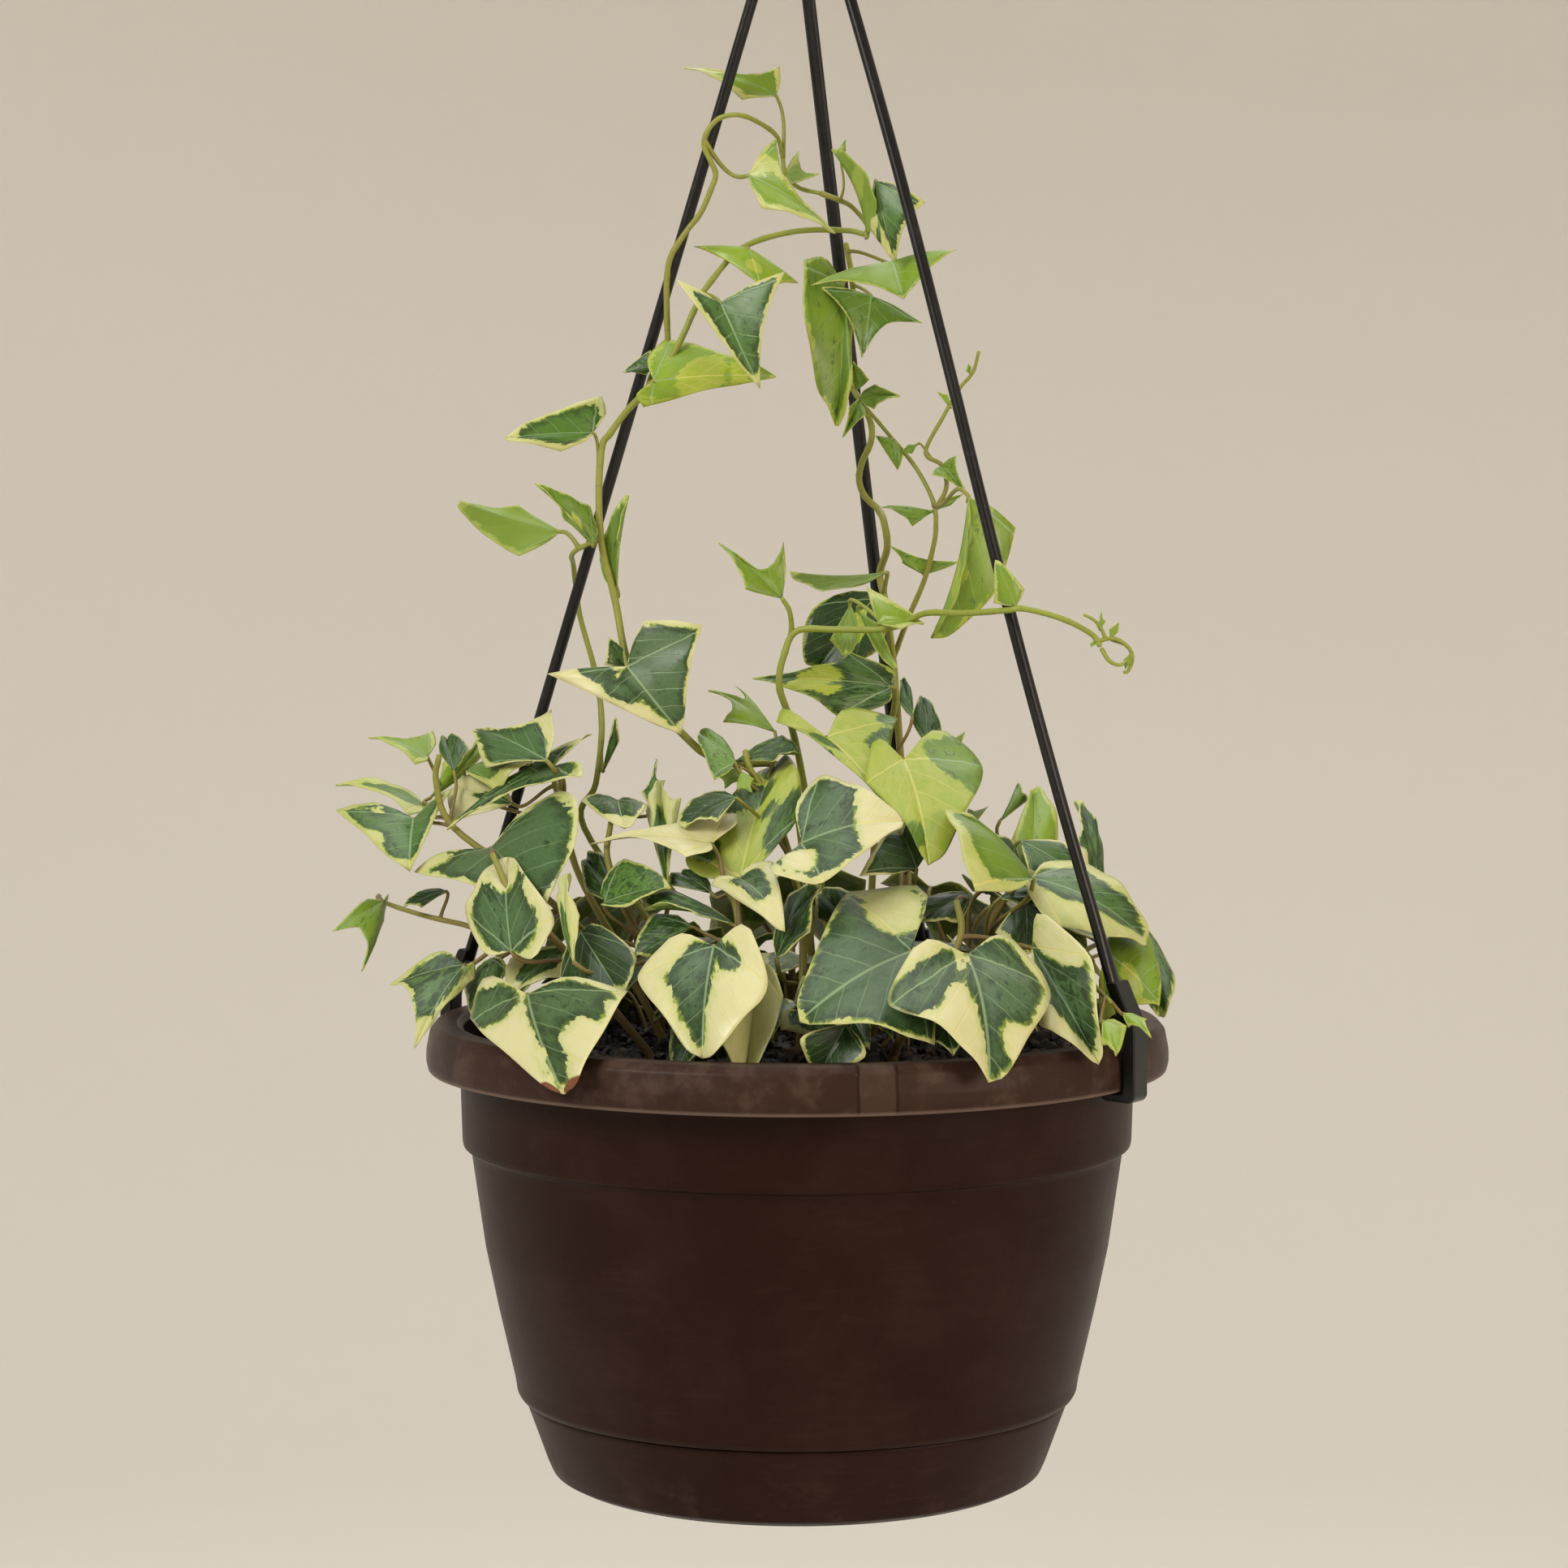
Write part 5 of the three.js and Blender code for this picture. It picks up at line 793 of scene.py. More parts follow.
def leaf(skin, start, corners, ears, swells, arch, pull, look, seed, back_tint):
    """One leaf with its stalk.

    Vertex attributes: blade = (across, along, seed), paint = (green field in mm, green tone,
    cream tone), form = (edge share, dark share, part: 0 upper face, 0.5 under face, 1 stalk).
    """
    notch, right, tip, left = [seen(c) for c in corners]
    bow, cup = arch
    spine = tip - notch
    normal = unit(np.cross(spine, right - left))
    reach = np.linalg.norm(spine)
    kind = "bud" if reach < BUD_REACH else "young" if reach < YOUNG_REACH else "grown"
    rows, cols = LEAF_GRID[kind]
    green, dark, cream, *margins, patches, dry, rounded_lobe = look
    edge_left, edge_right, edge_tip, edge_notch = margins
    t = np.linspace(0, 1, rows + 1)
    rib = (np.arange(rows + 1) / rows) ** 1.15
    s = (np.arange(cols + 1) / cols)[None, :] ** 0.85
    grids, notes = [], []
    for side, lobe, ear, swell in ((1, right, ears[0], swells[0]), (-1, left, ears[1], swells[1])):
        edge = lobe - notch
        width = np.linalg.norm(edge)
        outline, turn = half_outline(ear, swell, kind, rows, rounded_lobe)
        a = outline[:, 0][:, None] * s
        b = rib[:, None] * (1 - s) + outline[:, 1][:, None] * s
        u, v = np.clip(a, 0, 1), np.clip(b, 0, 1)
        rise = bow * reach * 4 * v * (1 - v) + cup * width * 4 * u * (1 - u)
        ripple = np.sin(t[:, None] * math.pi * (5.0 + seed % 3) + seed * 1.7 + side)
        wave = WAVE * min(1, reach / FULL_REACH) * ripple
        opening, closing = smoothstep(0, 0.2, t)[:, None], (1 - smoothstep(0.9, 1, t))[:, None]
        rise = rise + wave * s**3 * opening * closing
        crease = VEIN_DEPTH * np.exp(-((a * width / 0.9) ** 2))
        lateral = VEIN_DEPTH * np.exp(-(((b - 0.06 * a) * reach / 0.8) ** 2)) * (1 - a)
        side_rib = np.abs(((b - 0.55 * a) * 4.2) % 1 - 0.5) * 2
        minor = 0.35 * VEIN_DEPTH * smoothstep(0.75, 1.0, side_rib)
        minor = minor * smoothstep(0.03, 0.15, a) * smoothstep(0, 0.1, b)
        rise = rise - np.maximum(crease, lateral) * smoothstep(0, 0.1, t)[:, None] - minor
        grids.append(notch + a[..., None] * edge + b[..., None] * spine + rise[..., None] * normal)
        x = side * s * np.ones_like(a)
        low, high = -1 + edge_left, 1 - edge_right
        half = np.maximum(outline[:, 0][:, None] * width, 2.0)
        share = smoothstep(turn / rows - 0.12, turn / rows + 0.12, t)[:, None]
        along_edge = (1 - s) - edge_notch * (1 - share)
        field = np.minimum(np.minimum(x - low, high - x) * half, along_edge * half + 4 * share)
        field = np.minimum(field, (1 - edge_tip - b) * reach)
        for pa, pb, size, sign in patches:
            dist = np.sqrt(((side * a - pa) * width) ** 2 + ((b - pb) * reach) ** 2) / reach
            blob = (size - dist) * reach
            field = np.maximum(field, blob) if sign > 0 else np.minimum(field, -blob)
        field = field * FULL_REACH / max(reach, FULL_REACH / 3)
        burnt = dry * smoothstep(0.82, 1.0, b) * smoothstep(0.2, 0.8, s)
        notes.append((side * a, b, field, s * np.ones_like(a), burnt))
    keep, faces = blade_net(rows, cols)
    sheet = np.concatenate([grid.reshape(-1, 3) for grid in grids])[keep]
    facing = np.zeros_like(sheet)
    for face in faces:
        p, q, r = sheet[list(face[:3])]
        facing[list(face)] += np.cross(q - p, r - p)
    facing /= np.maximum(np.linalg.norm(facing, axis=1), 1e-9)[:, None]
    flat = [np.concatenate([n[k].ravel() for n in notes])[keep] for k in range(5)]
    across, along, field, share, burnt = flat
    thick = bpy.context.scene.ivy_foliage.thickness / MM * BLADE_SHARES[kind]
    depth = (thick * (1 - 0.72 * np.clip(share, 0, 1) ** 6))[:, None]

    def column(value):
        return np.full_like(across, value)

    blade = np.stack([across, along, column(seed)], axis=1)
    paint = np.stack([field, column(green), column(cream)], axis=1)
    forms = [np.stack([share, dark + burnt * 4, column(part)], axis=1) for part in (0, 0.5)]
    count = len(sheet)
    edges = dict.fromkeys(pair for face in faces for pair in zip(face, (*face[1:], face[0])))
    body = [*faces, *[tuple(v + count for v in face[::-1]) for face in faces]]
    body.extend((b, a, a + count, b + count) for a, b in edges if (b, a) not in edges)
    skin.add(
        np.concatenate([sheet + facing * depth, sheet - facing * depth]),
        body,
        blade=np.concatenate([blade, blade]),
        paint=np.concatenate([paint, paint]),
        form=np.concatenate(forms),
    )
    stalk(skin, start, notch, spine, normal, pull, STALK_RADII[kind], green, back_tint)


def stalk(skin, start, notch, spine, normal, pull, radius, green, back_tint):
    """A leaf's stalk: from the stem in a curve to the notch, ending just under the blade."""
    span = np.linalg.norm(notch - start)
    arrival = unit(0.45 * unit(spine) + 0.8 * normal)
    bend = notch - arrival * 0.35 * span
    rise = start + (notch - start) * 0.3 + np.array([0, 0, 0.12 * span])
    middle = seen(pull) if pull else rise
    end = notch + unit(spine) * min(2.2, 0.1 * np.linalg.norm(spine)) - normal * 0.25
    t = np.linspace(0, 1, 10)[:, None]
    line = start * (1 - t) ** 3 + middle * 3 * t * (1 - t) ** 2
    line = line + bend * 3 * t**2 * (1 - t) + notch * t**3
    line = np.concatenate([line, [end]])
    radii = radius * (1 + 0.45 * np.exp(-np.linspace(0, 1, len(line)) * 9))
    radii[-1] = 0.25
    tint = [[green, stalk_shade(back_tint, k), 0.0] for k in np.linspace(0, 1, len(line))]
    tube(skin, line, radii, 8, np.array(tint))


def stalk_shade(base, along):
    """A stalk is greener towards its leaf."""
    return base * (1 - 0.35 * along)


def read_leaf(corners, form, look, extras=None):
    """A row of the leaf list as grow() takes it."""
    extras = extras or {}
    corners = [corners[k : k + 3] for k in range(0, 12, 3)]
    arch = (form[4], extras.get("cup", CUP))
    look = [*look, extras.get("patches", ()), extras.get("dry", 0), extras.get("rounded", 0)]
    return corners, form[:2], form[2:4], arch, form[5:], extras.get("pull"), look


def grow(name, stems, leaves, shade):
    """One shoot: its stems, stalks and leaves in one piece."""
    skin = Skin()
    lines = []
    for radius, *points in stems:
        spots = [seen(p) for p in points]
        peg = []
        if spots[0][2] <= SURFACE_Z:
            spots[0][2] = PEG_TOP_Z - 3
            foot = spots[0].copy()
            foot[2] = ROOT_Z + 0.5
            peg = [foot, (foot + spots[0]) / 2]
        line = catmull_points(spots, 7)
        lines.append(line)
        shown = np.array([*peg, *line])
        rows = len(shown)
        t = np.linspace(0, 1, rows)
        radii = radius * (1.1 - 0.36 * t)
        ripple = np.maximum(0, np.sin(t * math.pi * max(3, len(points) * 1.5)))
        joints = 0.1 * radius * ripple**8
        tone = np.stack([np.full(rows, 0.4), shade * (1 - 0.55 * t), np.zeros(rows)], axis=1)
        tube(skin, shown, radii + joints, 10, tone)
    for number, (corners, ears, swells, arch, (stem, share), pull, look) in enumerate(leaves):
        start = at_share(lines[stem], share)
        seed = number * 3.7 + len(name)
        leaf(skin, start, corners, ears, swells, arch, pull, look, seed, shade)
    piece = skin.piece("foliage_" + name, material_of("leaf"))
    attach(piece, "root")
    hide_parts("shoot_" + name)


def standing_tree():
    """One search tree of all that a leaf in the undergrowth must not cut through."""
    points, faces = [], []
    for thing in bpy.context.scene.objects:
        if thing.type == "MESH" and thing.name.startswith(("foliage_", "pot_shell", "strand_")):
            base = len(points)
            points.extend(vertex.co[:] for vertex in thing.data.vertices)
            faces.extend([base + v for v in face.vertices] for face in thing.data.polygons)
    return BVHTree.FromPolygons(points, faces)


def shaded_leaf(number, draw):
    """What leaf() needs for a small leaf low in the bed, drawn anew on each call."""
    azimuth = (number * GOLDEN_ANGLE + draw(-12, 12)) % 360
    front = 180 < azimuth < 360
    near, reach = UNDERGROWTH["near"], UNDERGROWTH["front" if front else "far"]
    radius = near + (reach - near) * draw(0, 1)
    height = UNDERGROWTH["height"] + draw(-10, 12)
    length = draw(20, 30) if front else draw(26, 36)
    slope = draw(10, 55)
    heading = azimuth + draw(-35, 35)
    _, spine, across = slanted(heading, slope, draw(-40, 40))
    corners = blade_corners(polar(radius, azimuth, height), spine, across, length, 0.46, 0.1)
    root = polar(radius * draw(0.5, 0.9), azimuth + draw(-15, 15), SURFACE_Z + 1)
    look = SHADED_LOOKS[number % len(SHADED_LOOKS)]
    shade = STALK_SHADE["undergrowth"]
    return root, corners, [0.2, 0.2], [1.05, 1.05], [0.08, 0.06], None, look, number * 2.3, shade


def undergrowth():
    """Small shaded leaves on stalks of their own that fill the bed and touch nothing else."""
    skin = Skin()
    draw = draws(UNDERGROWTH["seed"])
    standing = [standing_tree()]
    for number in range(UNDERGROWTH["count"]):
        for _ in range(UNDERGROWTH["tries"]):
            wanted = shaded_leaf(number, draw)
            trial = Skin()
            leaf(trial, *wanted)
            points = np.concatenate(trial.points) * MM
            tree = BVHTree.FromPolygons(points.tolist(), trial.faces)
            if not any(tree.overlap(other) for other in standing):
                leaf(skin, *wanted)
                standing.append(tree)
                break
    piece = skin.piece("foliage_undergrowth", material_of("leaf"))
    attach(piece, "root")


CORNER_GUARD = 0.45


def rounded(profile, radius, closed=False):
    """Softens the corners of an outline of (radius, height) points with short arcs."""
    count = len(profile)
    out = []
    for i, point in enumerate(profile):
        p = np.array(point, float)
        if not closed and i in (0, count - 1):
            out.append(p)
            continue
        before = np.array(profile[i - 1], float) - p
        after = np.array(profile[(i + 1) % count], float) - p
        cut = min(radius, 0.4 * np.linalg.norm(before), 0.4 * np.linalg.norm(after))
        a, b = p + unit(before) * cut, p + unit(after) * cut
        out.extend([a, 0.25 * a + 0.5 * p + 0.25 * b, b])
    return np.array(out)


def lathe(skin, profile, azimuths, shape=None, **notes):
    """Turns an outline from axis to axis into a closed body; shape may move a ring's points."""
    rows = len(profile)
    angles = np.radians(azimuths)
    count = len(angles)
    points, index = [], []
    for i, (r, z) in enumerate(profile):
        if r < 1e-6:
            index.append([len(points)] * count)
            points.append((0.0, 0.0, z))
            continue
        start = len(points)
        radii = np.full(count, r) if shape is None else shape(r, z, azimuths)
        ring = (radii * np.cos(angles), radii * np.sin(angles), np.full(count, z))
        points.extend(np.stack(ring, 1))
        index.append(list(range(start, start + count)))
    faces = []
    for i in range(rows - 1):
        low, high = index[i], index[i + 1]
        for k in range(count):
            m = (k + 1) % count
            ring = [low[k], low[m], high[m], high[k]]
            ring = [v for n, v in enumerate(ring) if v not in ring[:n]]
            if len(ring) > 2:
                faces.append(tuple(ring))
    skin.add(points, faces, **notes)


def even_azimuths(count):
    """Angles in degrees, evenly round the axis."""
    return np.arange(count) * 360 / count


def densified(profile, step):
    """Adds points along an outline's long runs, and one close to each end to keep corners crisp."""
    out = [np.array(profile[0], float)]
    for a, b in zip(profile[:-1], profile[1:]):
        a, b = np.array(a, float), np.array(b, float)
        span = np.linalg.norm(b - a)
        parts = max(1, math.ceil(span / step))
        shares = {k / parts for k in range(1, parts + 1)}
        if span > 4 * CORNER_GUARD:
            shares |= {CORNER_GUARD / span, 1 - CORNER_GUARD / span}
        out.extend(a + (b - a) * share for share in sorted(shares))
    return out


def cut_away(piece, cutter):
    """Cuts the cutter's solid out of a piece and removes the cutter."""
    cut = piece.modifiers.new("cut", "BOOLEAN")
    cut.operation = "DIFFERENCE"
    cut.solver = "MANIFOLD"
    cut.object = cutter
    shape = piece.evaluated_get(bpy.context.evaluated_depsgraph_get())
    mesh = bpy.data.meshes.new_from_object(shape)
    piece.modifiers.clear()
    old = piece.data
    piece.data = mesh
    mesh.name = piece.name
    bpy.data.meshes.remove(old)
    bpy.data.objects.remove(cutter)


# Pot, tray and soil outlines, as the solids have them
INNER_WALL = [[86.2, 25.6], [86.6, 28.4], [92.7, 33], [107.5, 106.5], [110.5, 112], [111.6, 135]]
POT_FOOT = [[0, 10.4], [60, 10.4], [60.4, 2.3], [63, 2.3], [63.4, 10.4], [82.4, 10.4]]
POT_BEAD = [[87.3, 21.5], [88.7, 23.2], [88.7, 23.8], [87.9, 24.6]]
POT_BODY = [[87.9, 27], [93.2, 27], [94.3, 28.8], [95, 33.2], [100.7, 57.3], [104.9, 77],
            [109.6, 108.4]]
POT_COLLAR = [[110.1, 110.2], [112.4, 111.1], [112.7, 113], [113.5, 135.5], [114.2, 148.4]]
POT_LIP = [[120.9, 148.4], [121.9, 137], [124.3, 136.5], [125, 139.4], [125, 143], [123.8, 149.4],
           [121.6, 152], [114.4, 152], [112.4, 150.4]]
POT_FLOOR = [[80.6, 12.2], [0, 12.2]]
TRAY_OUTSIDE = [[0, 0], [78.5, 0], [82.4, 2], [84.2, 6], [91.4, 25.4], [91.2, 26.7]]
TRAY_INSIDE = [[88.3, 26.7], [88.3, 25], [89.3, 24.1], [82.4, 6], [80.2, 2], [0, 2]]
SOIL_TOP = [[111.2, 138], [98, 141], [62, 143.6], [0, 144.5]]
# Lumps of the bed: size and height in mm
SOIL_LUMPS = [(16, 1.3), (6, 1.0), (2.6, 0.6)]
NOISE_CELLS = 97
CRUMB_SEED = 4916
MOULD_LINES = (-81.3, -75.7)
DRAIN_RING = 35
DRAIN_RADIUS = 4
DRAIN_COUNT = 4


def pot_azimuths():
    """Even angles, with more of them at the two mould lines."""
    spots = set(np.round(even_azimuths(180), 3).tolist())
    for line in MOULD_LINES:
        spots |= {line + step for step in (-0.5, -0.22, -0.1, 0.1, 0.22, 0.5)}
    return np.array(sorted((s + 360) % 360 for s in spots))


def lip_shape(r, z, azimuths):
    """The rolled lip carries two raised mould lines and is very slightly out of true."""
    radii = np.full(len(azimuths), float(r))
    if r > 118 and z > 136:
        for line in MOULD_LINES:
            off = np.abs((azimuths - line + 180) % 360 - 180)
            radii += 0.3 * (1 - smoothstep(0.1, 0.24, off))
        radii += 0.25 * np.sin(np.radians(azimuths * 3 + 40))
    return radii


def make_pot():
    """The pot as one turned body with its drain holes."""
    outside = [*POT_FOOT, *POT_BEAD, *POT_BODY, *POT_COLLAR, *POT_LIP]
    profile = [*outside, *INNER_WALL[::-1], *POT_FLOOR]
    skin = Skin()
    lathe(skin, densified(rounded(profile, 0.45), 9), pot_azimuths(), lip_shape)
    piece = skin.piece("pot_shell", material_of("pot"))
    cutter = Skin()
    for i in range(DRAIN_COUNT):
        x, y, z = polar(DRAIN_RING, 45 + 90 * i, 6)
        rod = np.array([[x, y, z], [x, y, z + 4], [x, y, z + 12]])
        tube(cutter, rod, [DRAIN_RADIUS] * 3, 24, np.zeros((3, 3)))
    cut_away(piece, cutter.piece("drain_cutter", material_of("pot")))
    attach(piece, "root")
    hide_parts("pot")


def make_tray():
    """The drip tray under the pot."""
    skin = Skin()
    profile = [*TRAY_OUTSIDE, *TRAY_INSIDE]
    lathe(skin, densified(rounded(profile, 0.6), 9), even_azimuths(180))
    piece = skin.piece("drip_tray_shell", material_of("tray"))
    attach(piece, "root")
    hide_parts("drip_tray")


def value_noise(x, y, seed, size):
    """Smooth seeded noise over the plane, from -1 to 1, with bumps of the given size."""
    grid = np.random.default_rng(seed).uniform(-1, 1, (NOISE_CELLS, NOISE_CELLS))
    u, v = x / size + 40.37, y / size + 40.71
    i, j = np.floor(u).astype(int), np.floor(v).astype(int)
    fu, fv = u - i, v - j
    fu, fv = fu * fu * (3 - 2 * fu), fv * fv * (3 - 2 * fv)

    def row(b):
        return grid[i % NOISE_CELLS, b] * (1 - fu) + grid[(i + 1) % NOISE_CELLS, b] * fu

    return row(j % NOISE_CELLS) * (1 - fv) + row((j + 1) % NOISE_CELLS) * fv


def soil_height(radius):
    """Height of the bed's mean surface at a distance from the axis."""
    spots = np.array(SOIL_TOP[::-1], float)
    return np.interp(radius, spots[:, 0], spots[:, 1])


def make_soil(settings):
    """A lumpy bed that fills the pot, with loose crumbs and bark chips bedded in it."""
    rings, around = 74, 260
    radii = np.linspace(0, 1, rings) ** 0.9 * 110.4
    angles = np.radians(even_azimuths(around))
    r, a = np.meshgrid(radii, angles, indexing="ij")
    x, y = r * np.cos(a), r * np.sin(a)
    lumps = sum(value_noise(x, y, 11 + k, s) * h for k, (s, h) in enumerate(SOIL_LUMPS))
    z = soil_height(r) + lumps * smoothstep(111, 100, r) - 0.6
    points = [np.stack([x, y, z], 2).reshape(-1, 3)]
    points[0][:around] = points[0][0]
    wall = [[rr - 0.42, zz] for rr, zz in INNER_WALL[:-1]][::-1] + [[80.2, 12.5]]
    for rr, zz in wall:
        ring = [rr * np.cos(angles), rr * np.sin(angles), np.full(around, zz)]
        points.append(np.stack(ring, 1))
    faces = bands(rings + len(wall), around, inward=True)
    last = (rings + len(wall) - 1) * around
    faces.append(tuple(range(last, last + around))[::-1])
    skin = Skin()
    skin.add(np.concatenate(points), faces)
    bed = skin.piece("soil_bed", material_of("soil"))
    tidy = bmesh.new()
    tidy.from_mesh(bed.data)
    bmesh.ops.remove_doubles(tidy, verts=tidy.verts, dist=1e-7)
    tidy.to_mesh(bed.data)
    tidy.free()
    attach(bed, "root")
    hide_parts("soil")
    make_crumbs(settings.crumbs)


def make_crumbs(count):
    """Loose crumbs and bark chips, strewn evenly and half sunk into the bed."""
    source = bmesh.new()
    bmesh.ops.create_icosphere(source, subdivisions=1, radius=1)
    ball = np.array([v.co[:] for v in source.verts])
    ball_faces = [tuple(v.index for v in f.verts) for f in source.faces]
    source.free()
    rng = np.random.default_rng(CRUMB_SEED)
    crumbs = Skin()
    for _ in range(count):
        radius = 107 * math.sqrt(rng.uniform())
        place = polar(radius, rng.uniform(0, 360), 0)
        size = rng.uniform(0.7, 2.6) if rng.uniform() < 0.85 else rng.uniform(2.6, 4.2)
        place[2] = soil_height(radius) + 0.15 * size
        stretch = rng.uniform(0.5, 1.3, 3) * size
        stretch[2] *= 0.6
        turn = np.linalg.qr(rng.normal(size=(3, 3)))[0]
        if np.linalg.det(turn) < 0:
            turn[:, 0] *= -1
        shape = ball * rng.uniform(0.75, 1.2, (len(ball), 1)) * stretch
        tint = np.array([rng.uniform(), 0.0, 0.0])
        crumbs.add(shape @ turn.T + place, ball_faces, paint=tint)
    piece = crumbs.piece("soil_crumbs", material_of("soil"))
    piece.data.shade_flat()
    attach(piece, "root")


# Hanger, as the solids have it
HUB_SEATS = {"left": (-4.2, 1.6), "middle": (-0.3, 4.8), "right": (7, -3)}
STRAND_AZIMUTHS = {"left": 161, "middle": 68.5, "right": -32}
STRAND_BOW = {"left": 0, "middle": 0, "right": 1.4}
STRAND_SIZE = (4.7, 3.8)
STRAND_FOOT = (121, 168)
HUB_Z = 528
HUB_PROFILE = [(0, 0), (11.7, 0), (12.5, 1.2), (8.5, 12.5), (6.5, 14), (0, 14)]
HOOK_BEND = 16.5
HOOK_CENTRE = 573
HOOK_WIRE = 2.4
HOOK_SPAN = (-55, 205)
CLIP_WIDTH = 9.5
CLIP_PROFILE = [[119.2, 171.5], [122.9, 172], [129.9, 157], [129.9, 134.9], [128.4, 133.2],
                [119, 133.6], [117.3, 135], [117.5, 136.2], [125.5, 136.2], [125.5, 155.5]]
# Edges sharper than this many degrees stay crisp
SHARP_ANGLE = 38


def plate(skin, outline, place, width, chamfer):
    """A flat outline with softened corners, given a width across and chamfered edges."""
    outline = rounded(outline, 0.9, closed=True)
    count = len(outline)
    before, after = np.roll(outline, 1, 0), np.roll(outline, -1, 0)
    run = after - before
    run /= np.linalg.norm(run, axis=1)[:, None]
    inward = np.stack([-run[:, 1], run[:, 0]], 1)
    area = 0.5 * np.sum(outline[:, 0] * after[:, 1] - after[:, 0] * outline[:, 1])
    if area < 0:
        inward = -inward
    end = width / 2
    layers = [(-end, chamfer), (-end + chamfer, 0), (end - chamfer, 0), (end, chamfer)]
    points = [
        place(*(outline[i] + inward[i] * inset), across)
        for across, inset in layers
        for i in range(count)
    ]
    faces = bands(4, count)
    first, last = tuple(range(count)), tuple(range(3 * count, 4 * count))
    if area > 0:
        faces.extend([first[::-1], last])
    else:
        faces = [face[::-1] for face in faces] + [first, last[::-1]]
    skin.add(points, faces)


def make_strand(name):
    """One rod from its seat in the hub to the lip, with the flat clip at its foot."""
    seat_x, seat_y = HUB_SEATS[name]
    top = np.array([seat_x, seat_y, HUB_Z + 5.7])
    azimuth = STRAND_AZIMUTHS[name]
    foot = polar(STRAND_FOOT[0], azimuth, STRAND_FOOT[1])
    along = unit(top - foot)
    across = polar(1, azimuth + 90, 0)
    outward = unit(np.cross(along, across))
    side = unit(np.cross(outward, along))
    length = np.linalg.norm(top - foot)
    sides, steps = 28, 40
    angles = np.arange(sides) * 2 * math.pi / sides
    rows = []
    for i in range(steps + 1):
        t = i / steps
        bow = STRAND_BOW[name] * math.sin(2 * math.pi * t)
        broad = 1 + 0.5 * (1 - smoothstep(0, 0.06, t))
        ring = np.outer(np.cos(angles) * STRAND_SIZE[0] / 2 * broad, side)
        ring = ring + np.outer(np.sin(angles) * STRAND_SIZE[1] / 2, outward)
        rows.append(foot + along * length * t + ring - np.array([bow, 0, 0]))
    faces = bands(steps + 1, sides)
    faces.append(tuple(range(sides))[::-1])
    faces.append(tuple(range(steps * sides, (steps + 1) * sides)))
    skin = Skin()
    skin.add(np.concatenate(rows), faces)
    out = polar(1, azimuth, 0)
    beside = np.cross(out, UP)

    def place(r, z, w):
        return out * r + beside * w + np.array([0, 0, z])

    plate(skin, CLIP_PROFILE, place, CLIP_WIDTH, 0.5)
    piece = skin.piece("strand_" + name, material_of("hanger"))
    crisp(piece)
    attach(piece, "root")
    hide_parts("hanger_strand_" + name)


def crisp(piece):
    """Turns a piece's closed bodies to face outwards and keeps its sharper edges crisp."""
    shell = bmesh.new()
    shell.from_mesh(piece.data)
    bmesh.ops.recalc_face_normals(shell, faces=shell.faces)
    shell.to_mesh(piece.data)
    shell.free()
    piece.data.set_sharp_from_angle(angle=math.radians(SHARP_ANGLE))


def make_hook():
    """The hub that takes the strands, with the hook above it."""
    skin = Skin()
    hub = [(r, z + HUB_Z) for r, z in HUB_PROFILE]
    lathe(skin, densified(rounded(hub, 1.0), 3), even_azimuths(72))
    path = [np.array([0, 0, HUB_Z + 11.0]), np.array([0, 0, HUB_Z + 19.0])]
    first, last = HOOK_SPAN
    for i in range(13):
        a = math.radians(first + (last - first) * i / 12)
        path.append(np.array([HOOK_BEND * math.cos(a), 0, HOOK_CENTRE + HOOK_BEND * math.sin(a)]))
    line = catmull_points(path, 6)
    tube(skin, line, np.full(len(line), HOOK_WIRE), 20, np.zeros((len(line), 3)))
    piece = skin.piece("hanger_hook_body", material_of("hanger"))
    crisp(piece)
    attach(piece, "root")
    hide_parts("hanger_hook")


# Colours in sRGB from 0 to 255, judged from the photo
INK = {
    "blue_green": (62, 84, 57),
    "mid_green": (72, 107, 36),
    "young_green": (130, 156, 30),
    "deep_green": (26, 46, 18),
    "cream": (196, 191, 147),
    "yellow": (152, 162, 64),
    "band": (144, 164, 50),
    "rim": (216, 211, 154),
    "vein": (134, 158, 112),
    "cream_vein": (196, 190, 104),
    "under": (126, 148, 58),
    "burnt": (104, 60, 28),
    "stalk_green": (138, 154, 56),
    "stalk_olive": (122, 110, 50),
    "stalk_brown": (92, 62, 58),
    "pot": (32, 13, 5),
    # Colour of the pot's wear, also painted on the lip as a highlight from above
    "pot_wear_and_lip_highlight": (73, 56, 48),
    "dust": (120, 102, 90),
    "strand": (11, 11, 12),
    "strand_worn": (40, 40, 41),
    "soil_dark": (13, 9, 6),
    "soil_mid": (36, 25, 16),
    "soil_light": (84, 60, 38),
    "stage": (217, 212, 203),
}


def ink(name):
    """A colour of the list as linear light."""
    shares = [c / 255 for c in INK[name]]
    return tuple(c / 12.92 if c <= 0.04045 else ((c + 0.055) / 1.055) ** 2.4 for c in shares)


# Specular levels of scuffed plastic and of waxy or polished faces
DULL_SPECULAR = 0.09
WAXY_SPECULAR = 0.34


